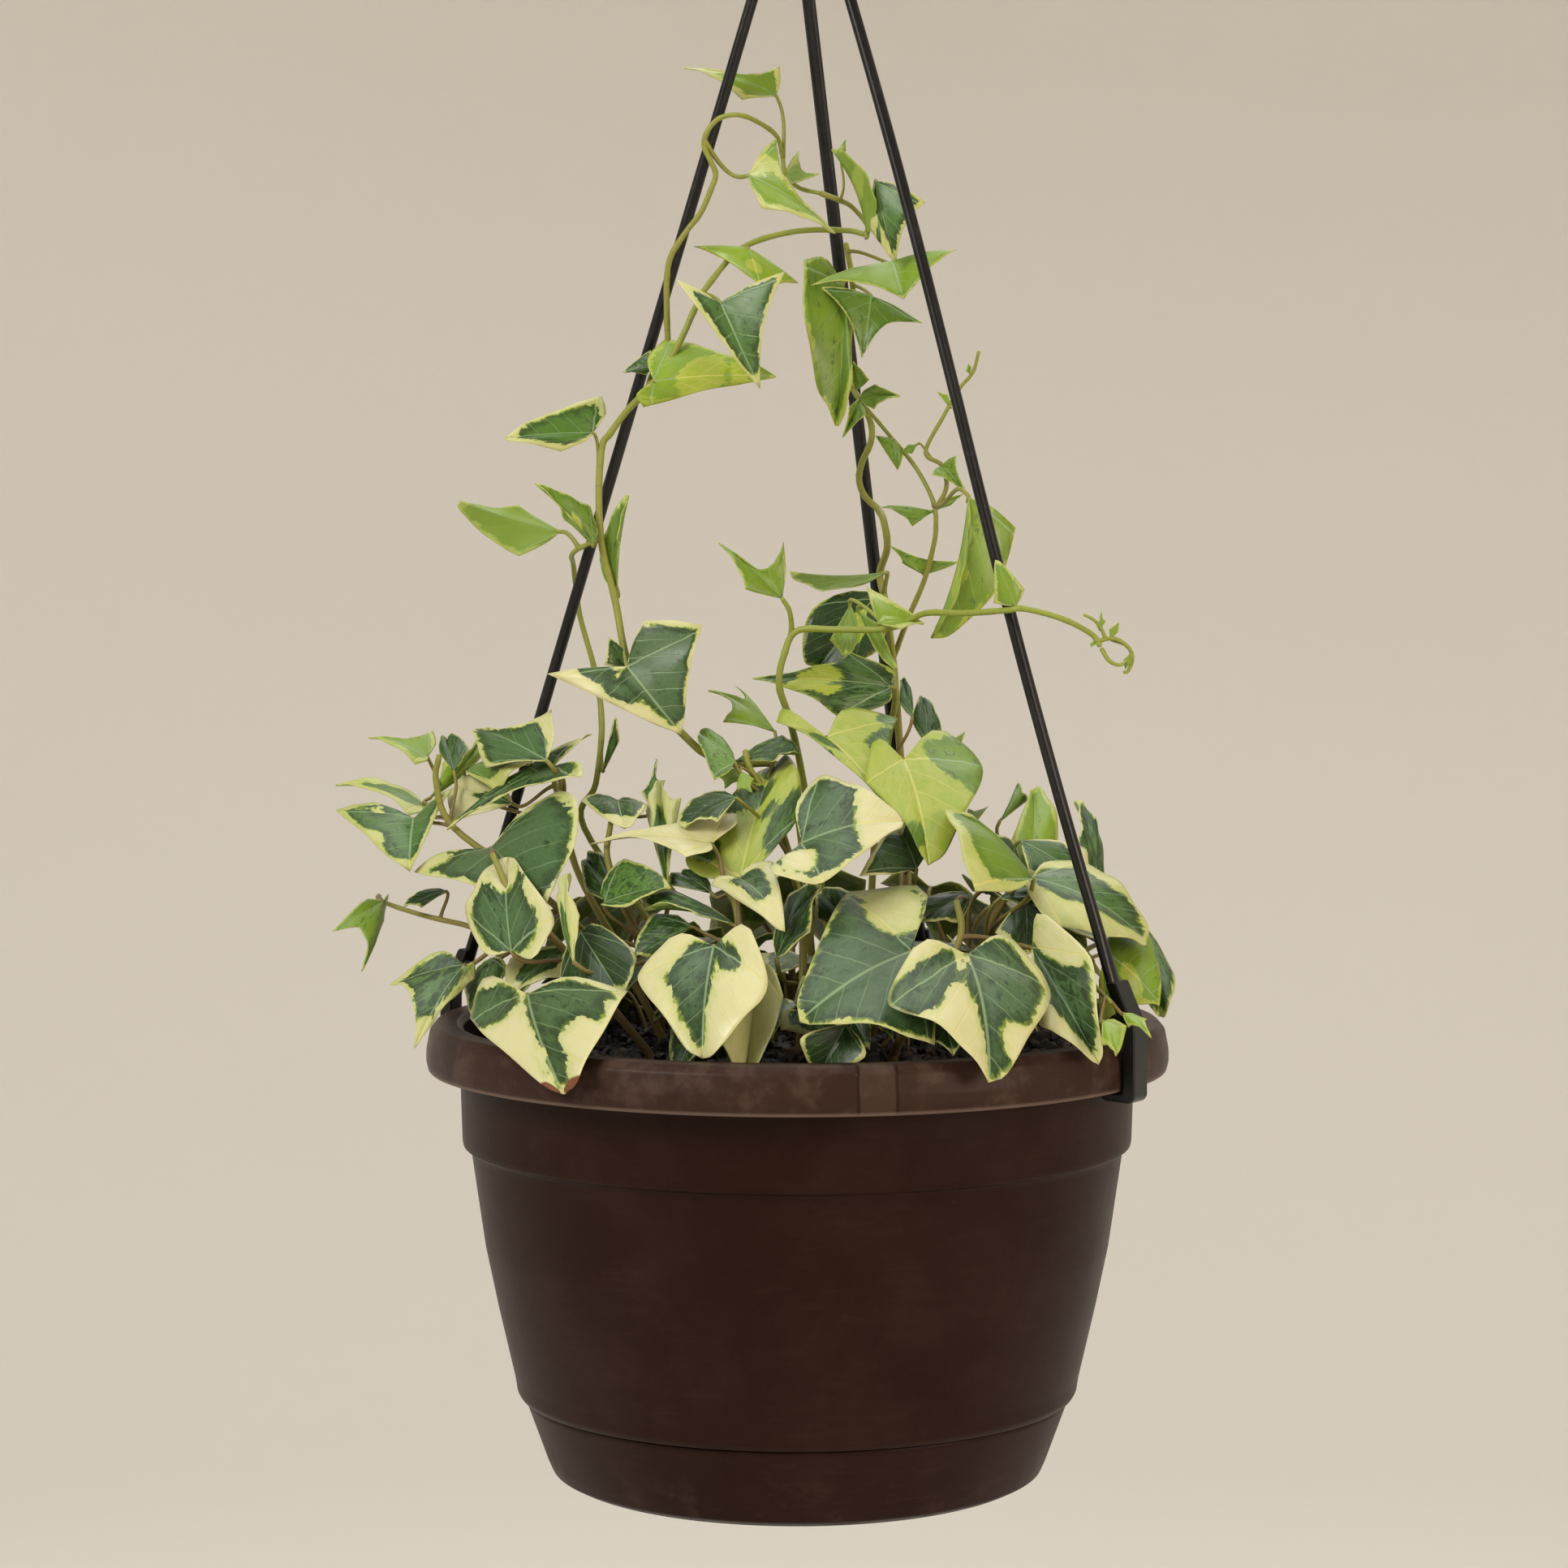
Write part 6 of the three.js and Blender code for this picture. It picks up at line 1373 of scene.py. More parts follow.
class Graph:
    """Short ways to place and join shader nodes in one tree."""

    def __init__(self, tree):
        self.tree = tree
        self.column = 0

    def node(self, kind, **settings):
        made = self.tree.nodes.new(kind)
        self.column += 1
        made.location = (180 * (self.column % 12), -220 * (self.column // 12))
        for key, value in settings.items():
            setattr(made, key, value)
        return made

    def feed(self, socket, value):
        if isinstance(value, bpy.types.NodeSocket):
            self.tree.links.new(value, socket)
            return
        if isinstance(value, tuple) and len(value) < len(socket.default_value):
            value = (*value, 1.0)
        socket.default_value = value

    def math(self, operation, first, second=0.0, clamp=False):
        made = self.node("ShaderNodeMath", operation=operation, use_clamp=clamp)
        self.feed(made.inputs[0], first)
        self.feed(made.inputs[1], second)
        return made.outputs[0]

    def plus(self, first, second, clamp=False):
        return self.math("ADD", first, second, clamp)

    def minus(self, first, second):
        return self.math("SUBTRACT", first, second)

    def times(self, first, second):
        return self.math("MULTIPLY", first, second)

    def larger(self, first, second):
        return self.math("MAXIMUM", first, second)

    def positive(self, value):
        return self.math("ABSOLUTE", value)

    def ramp(self, value, low, high, least=0.0, most=1.0, smooth=True):
        """Low to high of the value drawn on least to most, held at both ends."""
        kind = "SMOOTHSTEP" if smooth else "LINEAR"
        made = self.node("ShaderNodeMapRange", interpolation_type=kind)
        for socket, number in zip(made.inputs[:5], (value, low, high, least, most)):
            self.feed(socket, number)
        return made.outputs[0]

    def blend(self, share, first, second):
        made = self.node("ShaderNodeMix", data_type="RGBA")
        self.feed(made.inputs[0], share)
        self.feed(made.inputs[6], first)
        self.feed(made.inputs[7], second)
        return made.outputs[2]

    def spread(self, value, amount):
        """Noise from 0 to 1 as a shift to both sides."""
        return self.times(self.minus(value, 0.5), amount)

    def split(self, vector):
        made = self.node("ShaderNodeSeparateXYZ")
        self.feed(made.inputs[0], vector)
        return made.outputs[:3]

    def attribute(self, name):
        made = self.node("ShaderNodeAttribute", attribute_name=name, attribute_type="GEOMETRY")
        return self.split(made.outputs["Vector"])

    def use(self, group, values):
        """The outputs of a named group, fed with values by the names of its inputs."""
        made = self.node("ShaderNodeGroup", node_tree=bpy.data.node_groups[group])
        for label, value in values.items():
            self.feed(made.inputs[label], value)
        return made.outputs

    def noise(self, place, scale, detail=3.0, roughness=0.5, distortion=0.0):
        made = self.node("ShaderNodeTexNoise")
        given = {"Vector": place, "Scale": scale, "Detail": detail, "Roughness": roughness}
        for label, value in {**given, "Distortion": distortion}.items():
            self.feed(made.inputs[label], value)
        return made.outputs[0]

    def position(self):
        return self.node("ShaderNodeNewGeometry").outputs["Position"]

    def join(self, x, y, z):
        made = self.node("ShaderNodeCombineXYZ")
        for socket, value in zip(made.inputs, (x, y, z)):
            self.feed(socket, value)
        return made.outputs[0]

    def bump(self, shader, height, strength, distance):
        made = self.node("ShaderNodeBump")
        self.feed(made.inputs["Height"], height)
        made.inputs["Strength"].default_value = strength
        made.inputs["Distance"].default_value = distance
        self.feed(shader.inputs["Normal"], made.outputs[0])


def new_group(name, inputs, outputs):
    """A node group with named inputs (kind, value) and outputs (kind), and its graph."""
    group = bpy.data.node_groups.new(name, "ShaderNodeTree")
    for label, (kind, value) in inputs.items():
        made = group.interface.new_socket(label, in_out="INPUT", socket_type="NodeSocket" + kind)
        if value is not None:
            made.default_value = (*value, 1.0) if kind == "Color" else value
    for label, kind in outputs.items():
        group.interface.new_socket(label, in_out="OUTPUT", socket_type="NodeSocket" + kind)
    graph = Graph(group)
    return group, graph, graph.node("NodeGroupInput").outputs, graph.node("NodeGroupOutput").inputs


def moulded_group():
    """Moulded plastic with fine grain, scuffs and specks, as colour, roughness and height."""
    group, g, given, result = new_group(
        "Moulded plastic",
        {
            "Base": ("Color", (0.02, 0.01, 0.01)),
            "Worn": ("Color", (0.06, 0.04, 0.03)),
            "Wear": ("Float", 0.4),
            "Grain": ("Float", 900.0),
            "Gloss": ("Float", 0.4),
        },
        {"Colour": "Color", "Roughness": "Float", "Height": "Float"},
    )
    place = g.position()
    grain = g.noise(place, given["Grain"], 2.0)
    broad = g.noise(place, 26.0, 4.0, 0.6)
    stretch = g.node("ShaderNodeVectorMath", operation="MULTIPLY")
    g.feed(stretch.inputs[0], place)
    g.feed(stretch.inputs[1], (1.0, 1.0, 7.0))
    drag = g.noise(stretch.outputs[0], 60.0, 5.0, 0.65, 0.6)
    scuff = g.ramp(g.plus(drag, g.times(broad, 0.35)), 0.7, 0.86)
    specks = g.ramp(g.noise(place, 520.0, 1.0), 0.72, 0.8)
    wear = g.times(g.larger(scuff, specks), given["Wear"])
    shade = g.blend(g.ramp(broad, 0.35, 0.8, 0.0, 0.16), given["Base"], given["Worn"])
    g.feed(result["Colour"], g.blend(wear, shade, given["Worn"]))
    rough = g.plus(given["Gloss"], g.times(wear, 0.22))
    g.feed(result["Roughness"], g.plus(rough, g.ramp(broad, 0.2, 0.8, -0.04, 0.06), clamp=True))
    g.feed(result["Height"], g.plus(g.times(grain, 0.5), g.times(wear, 0.4)))
    return group


def variegation_group():
    """Cream and green zones of a leaf face from its painted field, broken up by noise."""
    group, g, given, result = new_group(
        "Leaf variegation",
        {
            "Place": ("Vector", None),
            "Streak": ("Vector", None),
            "Field": ("Float", 0.0),
            "Green tone": ("Float", 0.3),
            "Cream tone": ("Float", 0.3),
            "Dark share": ("Float", 0.3),
            "Leaf green": ("Color", ink("blue_green")),
            "Margin cream": ("Color", ink("cream")),
        },
        {"Colour": "Color", "Green share": "Float"},
    )
    broad = g.noise(given["Place"], 2.6, 3.0, 0.6, 0.4)
    streak = g.noise(given["Streak"], 1.0, 3.0, 0.6)
    fine = g.noise(given["Place"], 13.0, 3.0, 0.6)
    shift = g.plus(g.spread(broad, 6.5), g.plus(g.spread(streak, 4.5), g.spread(fine, 2.6)))
    field = g.plus(given["Field"], shift)
    green = g.ramp(field, -0.2, 0.35)
    aged = g.ramp(given["Green tone"], 0.0, 0.5, smooth=False)
    old = g.blend(aged, given["Leaf green"], ink("mid_green"))
    youth = g.ramp(given["Green tone"], 0.5, 1.0, smooth=False)
    fresh = g.blend(youth, old, ink("young_green"))
    deep = g.blend(g.ramp(given["Green tone"], 0.4, 1.0), ink("deep_green"), ink("mid_green"))
    near = g.ramp(g.plus(field, g.spread(streak, 7.0)), 1.0, 6.0, 1.0, 0.0)
    near = g.times(near, g.ramp(given["Green tone"], 0.4, 0.9, 1.0, 0.25))
    mottle = g.noise(given["Place"], 5.5, 4.0, 0.65, 0.5)
    limit = g.minus(0.74, g.times(given["Dark share"], 0.5))
    patch = g.ramp(g.minus(mottle, limit), -0.04, 0.06)
    patch = g.times(patch, g.ramp(given["Dark share"], 0.0, 0.15))
    dim = g.larger(g.times(near, 0.75), g.times(patch, 0.85))
    leafy = g.blend(dim, fresh, deep)
    lime = g.times(g.ramp(field, 0.2, 1.6, 1.0, 0.0), g.ramp(broad, 0.42, 0.62))
    leafy = g.blend(g.times(lime, 0.7), leafy, ink("band"))
    pale = g.blend(given["Cream tone"], given["Margin cream"], ink("yellow"))
    young = g.times(given["Cream tone"], g.ramp(mottle, 0.42, 0.66, 0.0, 0.6))
    pale = g.blend(young, pale, ink("young_green"))
    flush = g.larger(g.ramp(field, -3.0, 0.0, 0.0, 0.35), g.ramp(fine, 0.58, 0.8, 0.0, 0.25))
    pale = g.blend(flush, pale, ink("band"))
    g.feed(result["Colour"], g.blend(green, pale, leafy))
    g.feed(result["Green share"], green)
    return group


def blank(name):
    """A new material with its shader and a graph for its nodes."""
    material = bpy.data.materials.new(name)
    material.use_nodes = True
    tree = material.node_tree
    tree.nodes.clear()
    g = Graph(tree)
    shader = g.node("ShaderNodeBsdfPrincipled")
    output = g.node("ShaderNodeOutputMaterial")
    tree.links.new(shader.outputs[0], output.inputs["Surface"])
    return material, g, shader


def leaf_material():
    """Waxy leaf: zones, veins, under face, margin, dry tips and stalks."""
    material, g, shader = blank("Variegated waxy leaf")
    chosen = bpy.context.scene.ivy_foliage
    across, along, seed = g.attribute("blade")
    field, green_tone, cream_tone = g.attribute("paint")
    share, dark, part = g.attribute("form")
    sideways = g.positive(across)
    place = g.join(g.times(across, 1.6), g.times(along, 1.4), seed)
    sweep = g.minus(along, g.times(sideways, 0.5))
    streak = g.join(g.times(sweep, 8.0), g.times(sideways, 3.6), g.plus(seed, across))
    zones = g.use("Leaf variegation", {
        "Place": place, "Streak": streak, "Field": field, "Green tone": green_tone,
        "Cream tone": cream_tone, "Dark share": g.math("MINIMUM", dark, 1.0),
        "Leaf green": tuple(chosen.green), "Margin cream": tuple(chosen.cream),
    })
    colour, green = zones["Colour"], zones["Green share"]
    # Veins: midrib, the ribs to the two lobes, side veins and a fine net
    bent = g.plus(along, g.spread(g.noise(place, 3.0), 0.05))
    midrib = g.ramp(sideways, 0.006, 0.026, 1.0, 0.0)
    lobe = g.ramp(g.positive(g.minus(bent, g.times(sideways, 0.06))), 0.004, 0.016, 1.0, 0.0)
    rise = g.times(g.minus(bent, g.times(sideways, 0.55)), 4.2)
    wrap = g.positive(g.minus(g.math("FRACT", g.plus(rise, 4.0)), 0.5))
    minor = g.times(g.ramp(wrap, 0.01, 0.05, 1.0, 0.0), g.ramp(sideways, 0.3, 0.85, 0.5, 0.0))
    net = g.node("ShaderNodeTexVoronoi", feature="DISTANCE_TO_EDGE")
    g.feed(net.inputs["Vector"], place)
    net.inputs["Scale"].default_value = 9.0
    mesh = g.ramp(net.outputs["Distance"], 0.01, 0.05, 0.16, 0.0)
    ribs = g.larger(g.larger(midrib, lobe), minor)
    vein = g.larger(ribs, mesh)
    lines = g.blend(green, ink("cream_vein"), ink("vein"))
    colour = g.blend(g.times(vein, 0.68), colour, lines)
    # Under face, pale margin and dry tips
    below = g.ramp(part, 0.2, 0.45)
    colour = g.blend(g.times(below, 0.5), colour, ink("under"))
    edge = g.times(g.ramp(share, 0.94, 0.99), g.ramp(green_tone, 0.3, 0.8, 0.36, 0.12))
    colour = g.blend(edge, colour, g.blend(cream_tone, ink("rim"), ink("yellow")))
    scorch = g.ramp(g.plus(g.minus(dark, 1.4), g.minus(g.noise(place, 7.0, 4.0), 0.5)), 0.3, 0.9)
    colour = g.blend(scorch, colour, ink("burnt"))
    # Stems and stalks
    olive = g.ramp(green_tone, 0.0, 0.5, smooth=False)
    twig = g.blend(olive, ink("stalk_green"), ink("stalk_olive"))
    twig = g.blend(g.ramp(green_tone, 0.45, 1.0, smooth=False), twig, ink("stalk_brown"))
    streaks = g.noise(g.join(g.times(along, 0.06), 0.0, 0.0), 7.0, 4.0, 0.7)
    twig = g.blend(g.ramp(streaks, 0.5, 0.75, 0.0, 0.45), twig, ink("stalk_brown"))
    colour = g.blend(g.ramp(part, 0.7, 0.8), colour, twig)
    g.feed(shader.inputs["Base Color"], colour)
    # Wax
    skin = g.noise(g.position(), 190.0, 3.0)
    wax = g.ramp(skin, 0.3, 0.7, 0.3, 0.42)
    wax = g.plus(wax, g.times(below, 0.14))
    g.feed(shader.inputs["Roughness"], g.plus(wax, g.times(scorch, 0.25)))
    shader.inputs["Specular IOR Level"].default_value = WAXY_SPECULAR
    shader.inputs["Coat Weight"].default_value = 0.03
    shader.inputs["Coat Roughness"].default_value = 0.3
    height = g.minus(g.times(skin, 0.5), g.times(ribs, 0.6))
    g.bump(shader, height, 0.32, 0.0006)
    return material


def moulded_material(name, base, worn, wear, gloss, grain):
    """A material that starts from the moulded plastic group."""
    material, g, shader = blank(name)
    given = {"Base": base, "Worn": worn, "Wear": wear, "Grain": grain, "Gloss": gloss}
    return material, g, shader, g.use("Moulded plastic", given)


# Panel between the two mould lines on the lip, as angles round the pot in radians
MOULD_PANEL = {"middle": -1.37, "inside": (0.047, 0.05), "seam": 0.049, "width": (0.002, 0.007)}


def pot_material():
    """Brown plastic, worn and dusty on the lip and painted lighter there as a highlight from above,
    with the panel between the mould lines.
    """
    material, g, shader, skin = moulded_material(
        "Chocolate moulded plastic", tuple(bpy.context.scene.ivy_pot.colour), ink("pot_wear_and_lip_highlight"),
        wear=0.06, gloss=0.4, grain=900.0,
    )
    x, y, z = g.split(g.position())
    radius = g.math("SQRT", g.plus(g.times(x, x), g.times(y, y)))
    # The lip is painted lighter: partly its own wear and dust, partly a painted highlight of the
    # light that falls on it from above
    lip = g.times(g.ramp(z, 0.1345, 0.1375), g.ramp(radius, 0.1165, 0.119))
    rub = g.ramp(g.noise(g.position(), 70.0, 5.0, 0.65), 0.42, 0.7)
    worn = g.times(lip, g.ramp(rub, 0.0, 1.0, 0.3, 0.8))
    colour = g.blend(worn, skin["Colour"], ink("pot_wear_and_lip_highlight"))
    turn = g.positive(g.minus(g.math("ARCTAN2", y, x), MOULD_PANEL["middle"]))
    panel = g.times(lip, g.ramp(turn, *MOULD_PANEL["inside"], 0.09, 0.0))
    colour = g.blend(panel, colour, ink("dust"))
    seam = g.positive(g.minus(turn, MOULD_PANEL["seam"]))
    seam = g.times(lip, g.ramp(seam, *MOULD_PANEL["width"], 0.75, 0.0))
    colour = g.blend(seam, colour, ink("pot"))
    under = g.times(g.ramp(z, 0.1382, 0.137, 0.0, 1.0), lip)
    colour = g.blend(g.times(under, 0.55), colour, ink("dust"))
    dust = g.times(g.ramp(g.noise(g.position(), 240.0, 4.0, 0.7), 0.68, 0.8), 0.22)
    colour = g.blend(g.times(dust, g.ramp(z, 0.0, 0.14, 0.5, 1.0)), colour, ink("dust"))
    g.feed(shader.inputs["Base Color"], colour)
    g.feed(shader.inputs["Roughness"], skin["Roughness"])
    shader.inputs["Specular IOR Level"].default_value = DULL_SPECULAR
    g.bump(shader, skin["Height"], 0.22, 0.0004)
    return material


def tray_material():
    """The pot's plastic with a faint lime film low down."""
    material, g, shader, skin = moulded_material(
        "Drip tray plastic", tuple(bpy.context.scene.ivy_pot.colour), ink("pot_wear_and_lip_highlight"),
        wear=0.1, gloss=0.42, grain=800.0,
    )
    film = g.ramp(g.noise(g.position(), 55.0, 5.0, 0.7), 0.5, 0.7)
    lime = g.times(g.ramp(g.split(g.position())[2], 0.02, 0.006), film)
    g.feed(shader.inputs["Base Color"], g.blend(g.times(lime, 0.1), skin["Colour"], ink("dust")))
    g.feed(shader.inputs["Roughness"], g.plus(skin["Roughness"], g.times(lime, 0.15)))
    shader.inputs["Specular IOR Level"].default_value = DULL_SPECULAR
    g.bump(shader, skin["Height"], 0.25, 0.0004)
    return material


def hanger_material():
    """Black plastic with a soft sheen."""
    material, g, shader, skin = moulded_material(
        "Black hanger plastic", ink("strand"), ink("strand_worn"),
        wear=0.25, gloss=0.3, grain=1100.0,
    )
    g.feed(shader.inputs["Base Color"], skin["Colour"])
    g.feed(shader.inputs["Roughness"], skin["Roughness"])
    shader.inputs["Specular IOR Level"].default_value = WAXY_SPECULAR
    g.bump(shader, skin["Height"], 0.2, 0.0003)
    return material


def soil_material():
    """Dark damp potting mix: peat, pale fibres and bark, damp in places."""
    material, g, shader = blank("Damp potting mix")
    place = g.position()
    coarse = g.noise(place, 120.0, 6.0, 0.7)
    fine = g.noise(place, 620.0, 4.0, 0.7)
    tint = g.attribute("paint")[0]
    mixed = g.plus(g.times(coarse, 0.6), g.times(fine, 0.4))
    colour = g.blend(g.ramp(mixed, 0.42, 0.62), ink("soil_dark"), ink("soil_mid"))
    colour = g.blend(g.ramp(fine, 0.66, 0.76, 0.0, 0.8), colour, ink("soil_light"))
    bark = g.times(g.ramp(tint, 0.78, 0.8), g.ramp(fine, 0.3, 0.6, 0.25, 0.7))
    colour = g.blend(bark, colour, ink("soil_light"))
    g.feed(shader.inputs["Base Color"], colour)
    g.feed(shader.inputs["Roughness"], g.ramp(g.noise(place, 30.0, 3.0), 0.35, 0.65, 0.5, 0.9))
    g.bump(shader, mixed, 0.7, 0.002)
    return material


def stage_material(tone):
    """Matt paper of one tone."""
    material, g, shader = blank("Plain studio paper")
    soft = g.noise(g.position(), 2.2, 3.0)
    paler = tuple(c * 1.03 for c in tone)
    g.feed(shader.inputs["Base Color"], g.blend(soft, tone, paler))
    g.feed(shader.inputs["Roughness"], 0.92)
    g.bump(shader, g.noise(g.position(), 900.0, 2.0), 0.05, 0.0005)
    return material


MATERIALS = {
    "leaf": ("Variegated waxy leaf", leaf_material),
    "pot": ("Chocolate moulded plastic", pot_material),
    "tray": ("Drip tray plastic", tray_material),
    "hanger": ("Black hanger plastic", hanger_material),
    "soil": ("Damp potting mix", soil_material),
}
GROUPS = {"Moulded plastic": moulded_group, "Leaf variegation": variegation_group}


def material_of(key):
    """The material of that key, made on first use with the node groups that it needs."""
    for name, build in GROUPS.items():
        if name not in bpy.data.node_groups:
            build()
    name, build = MATERIALS[key]
    return bpy.data.materials.get(name) or build()


# The studio's sweep, in mm
FLOOR_Z = -350.0
STAGE_FLAT = 1500.0
STAGE_BEND = 1500.0
STAGE_TOP = 4200.0


def make_stage(settings):
    """A plain pale sweep: floor and wall in one turned sheet, open at the top."""
    bends = np.radians(np.linspace(-90, 0, 25))
    rise = STAGE_TOP - STAGE_BEND
    wall = STAGE_FLAT + STAGE_BEND
    line = [(STAGE_FLAT / 2, 0.0)]
    line += [(STAGE_FLAT + STAGE_BEND * math.cos(a), STAGE_BEND * (1 + math.sin(a))) for a in bends]
    line += [(wall, STAGE_BEND + rise * k / 4) for k in range(1, 5)]
    around = 96
    angles = np.radians(even_azimuths(around))
    points = [[0.0, 0.0, FLOOR_Z * MM]]
    for r, z in line:
        r, z = r * MM, (z + FLOOR_Z) * MM
        points.extend([[r * math.cos(a), r * math.sin(a), z] for a in angles])
    faces = [(0, 1 + k, 1 + (k + 1) % around) for k in range(around)]
    faces += bands(len(line), around, first=1, inward=True)
    mesh = bpy.data.meshes.new("stage_sweep")
    mesh.from_pydata(points, [], faces)
    mesh.shade_smooth()
    mesh.materials.append(stage_material(tuple(settings.tone)))
    sweep = bpy.data.objects.new("stage_sweep", mesh)
    bpy.context.scene.collection.objects.link(sweep)


def make_camera():
    """The camera where the photo was taken from."""
    data = bpy.data.cameras.new("photo_camera")
    data.sensor_width = SENSOR
    data.lens = SENSOR * FOCAL_PIXELS / PHOTO_SIDE
    data.shift_x = (PHOTO_SIDE / 2 - AXIS_PIXEL) / PHOTO_SIDE
    data.shift_y = (EYE_PIXEL - PHOTO_SIDE / 2) / PHOTO_SIDE
    data.clip_start, data.clip_end = 0.05, 30
    camera = bpy.data.objects.new("photo_camera", data)
    camera.location = (0, -EYE_DISTANCE * MM, EYE_HEIGHT * MM)
    camera.rotation_euler = (math.radians(90), 0, 0)
    bpy.context.scene.collection.objects.link(camera)
    bpy.context.scene.camera = camera


# Soft boxes: name, place in metres, width, height, power in watts, colour
LAMPS = [
    ("key_softbox", (-1.4, -1.5, 1.6), 1.2, 1.0, 46, (1.0, 0.99, 0.96)),
    ("fill_softbox", (1.8, -1.3, 0.65), 0.9, 0.9, 24, (1.0, 0.82, 0.66)),
    ("top_softbox", (0.1, 0.2, 2.1), 1.6, 1.6, 21, (1.0, 1.0, 1.0)),
    ("back_softbox", (0.5, 1.8, 2.0), 1.4, 1.0, 11, (1.0, 0.99, 0.97)),
]
AIM = (0.0, 0.0, 0.26)


def make_lamps(brightness):
    """Soft boxes that all look at one point."""
    for name, place, width, height, power, colour in LAMPS:
        data = bpy.data.lights.new(name, "AREA")
        data.shape = "RECTANGLE"
        data.size, data.size_y = width, height
        data.energy = power * brightness
        data.color = colour
        lamp = bpy.data.objects.new(name, data)
        lamp.location = place
        look = Vector(AIM) - Vector(place)
        lamp.rotation_euler = look.to_track_quat("-Z", "Y").to_euler()
        lamp.visible_camera = False
        bpy.context.scene.collection.objects.link(lamp)


def make_world(strength):
    """Even light of the room."""
    world = bpy.data.worlds.new("room_light")
    world.use_nodes = True
    sky = world.node_tree.nodes["Background"]
    sky.inputs["Color"].default_value = (0.93, 0.94, 0.96, 1.0)
    sky.inputs["Strength"].default_value = strength
    bpy.context.scene.world = world


class IvyPotSettings(bpy.types.PropertyGroup):
    """Colour of the pot and its tray, and the crumbs on the potting mix."""

    colour: FloatVectorProperty(
        name="Plastic Colour", description="Colour of the pot and the tray", subtype="COLOR",
        default=ink("pot"), min=0, max=1,
    )
    crumbs: IntProperty(
        name="Soil Crumbs", description="Loose crumbs and bark chips on the potting mix",
        default=2600, min=0, max=8000,
    )


class IvyFoliageSettings(bpy.types.PropertyGroup):
    """Sizes and colours of the leaves."""

    thickness: FloatProperty(
        name="Leaf Thickness", description="Thickness of a grown leaf at its midrib",
        default=BLADE * MM, min=0.0002, max=0.002, unit="LENGTH",
    )
    cream: FloatVectorProperty(
        name="Margin Colour", description="Cream of the leaf margins", subtype="COLOR",
        default=ink("cream"), min=0, max=1,
    )
    green: FloatVectorProperty(
        name="Leaf Green", description="Blue-green of the leaf centres", subtype="COLOR",
        default=ink("blue_green"), min=0, max=1,
    )


class IvyStageSettings(bpy.types.PropertyGroup):
    """The plain studio round the pot."""

    tone: FloatVectorProperty(
        name="Paper Tone", description="Colour of the floor and the wall", subtype="COLOR",
        default=ink("stage"), min=0, max=1,
    )
    brightness: FloatProperty(
        name="Brightness", description="Strength of all the soft boxes",
        default=1.0, min=0, max=5,
    )
    ambient: FloatProperty(
        name="Room Light", description="Strength of the even light of the room",
        default=0.2, min=0, max=3,
    )


class IVY_OT_stage(bpy.types.Operator):
    """Make the soft boxes, the room light and the plain sweep"""

    bl_idname = "ivy.stage"
    bl_label = "Studio"

    def execute(self, context):
        settings = context.scene.ivy_stage
        make_stage(settings)
        make_lamps(settings.brightness)
        make_world(settings.ambient)
        context.scene.view_settings.view_transform = "Standard"
        return {"FINISHED"}


class IVY_OT_camera(bpy.types.Operator):
    """Make the camera at the photograph's place and angle"""

    bl_idname = "ivy.camera"
    bl_label = "Camera"

    def execute(self, context):
        make_camera()
        return {"FINISHED"}


class IVY_OT_pot(bpy.types.Operator):
    """Make the pot and its drip tray"""

    bl_idname = "ivy.pot"
    bl_label = "Pot and Tray"

    def execute(self, context):
        make_pot()
        make_tray()
        return {"FINISHED"}


class IVY_OT_soil(bpy.types.Operator):
    """Fill the pot with potting mix"""

    bl_idname = "ivy.soil"
    bl_label = "Potting Mix"

    def execute(self, context):
        make_soil(context.scene.ivy_pot)
        return {"FINISHED"}


class IVY_OT_hanger(bpy.types.Operator):
    """Make the hook and its three strands with their clips"""

    bl_idname = "ivy.hanger"
    bl_label = "Hanger"

    def execute(self, context):
        make_hook()
        for name in STRAND_AZIMUTHS:
            make_strand(name)
        return {"FINISHED"}


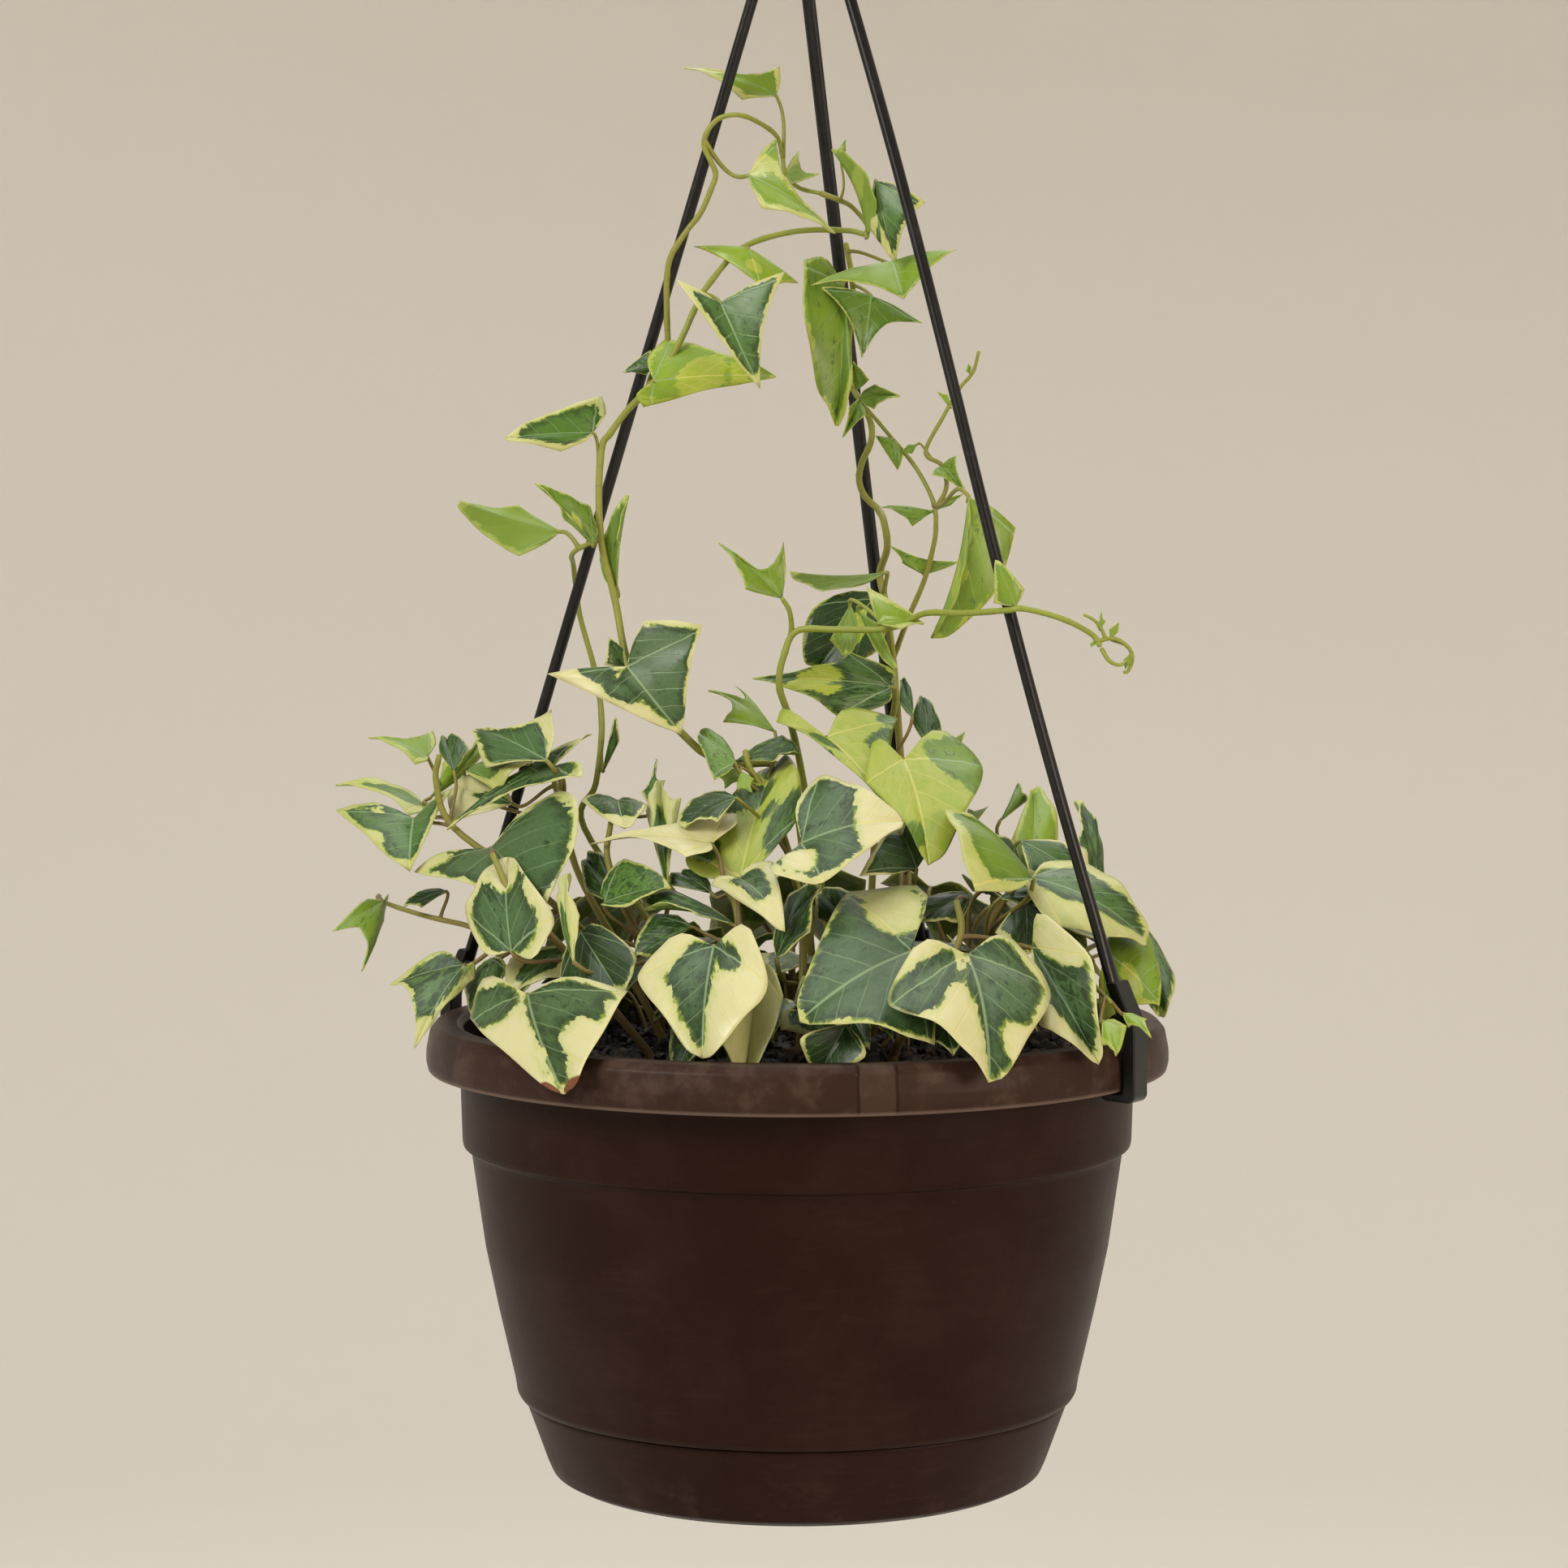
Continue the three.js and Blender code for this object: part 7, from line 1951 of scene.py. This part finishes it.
class IVY_OT_foliage(bpy.types.Operator):
    """Grow the shoots, vines and leaves"""

    bl_idname = "ivy.foliage"
    bl_label = "Shoots and Leaves"

    def execute(self, context):
        for name, stems in STEMS.items():
            leaves = [read_leaf(*row) for row in LEAVES[name]]
            grow(name, stems, leaves, STALK_SHADES.get(name, STALK_SHADE["front"]))
        draw = draws(BACK_SEED)
        for plan in BACK_PLANS:
            grow(*back_shoot(plan, draw), STALK_SHADE["back"])
        undergrowth()
        return {"FINISHED"}


class IVY_PT_panel(bpy.types.Panel):
    """Lists the pieces of the hanging pot and their settings"""

    bl_idname = "IVY_PT_panel"
    bl_label = "Hanging Ivy Pot"
    bl_space_type = "VIEW_3D"
    bl_region_type = "UI"
    bl_category = "Ivy Pot"

    def draw(self, context):
        scene = context.scene
        groups = (
            (scene.ivy_pot, ("colour", "crumbs"), (IVY_OT_pot, IVY_OT_soil, IVY_OT_hanger)),
            (scene.ivy_foliage, ("thickness", "cream", "green"), (IVY_OT_foliage,)),
            (scene.ivy_stage, ("tone", "brightness", "ambient"), (IVY_OT_camera, IVY_OT_stage)),
        )
        for settings, names, operators in groups:
            box = self.layout.box()
            for name in names:
                box.prop(settings, name)
            for operator in operators:
                box.operator(operator.bl_idname)


SETTINGS = (
    ("ivy_pot", IvyPotSettings),
    ("ivy_foliage", IvyFoliageSettings),
    ("ivy_stage", IvyStageSettings),
)
CLASSES = (
    IvyPotSettings, IvyFoliageSettings, IvyStageSettings, IVY_OT_camera, IVY_OT_stage, IVY_OT_pot,
    IVY_OT_soil, IVY_OT_hanger, IVY_OT_foliage, IVY_PT_panel,
)


def register():
    for item in CLASSES:
        bpy.utils.register_class(item)
    for name, group in SETTINGS:
        setattr(bpy.types.Scene, name, PointerProperty(type=group))


def unregister():
    for name, group in SETTINGS:
        delattr(bpy.types.Scene, name)
    for item in reversed(CLASSES):
        bpy.utils.unregister_class(item)


def main():
    register()
    for step in (bpy.ops.ivy.camera, bpy.ops.ivy.stage, bpy.ops.ivy.pot, bpy.ops.ivy.soil,
                 bpy.ops.ivy.hanger, bpy.ops.ivy.foliage):
        step()


if __name__ == "__main__":
    main()
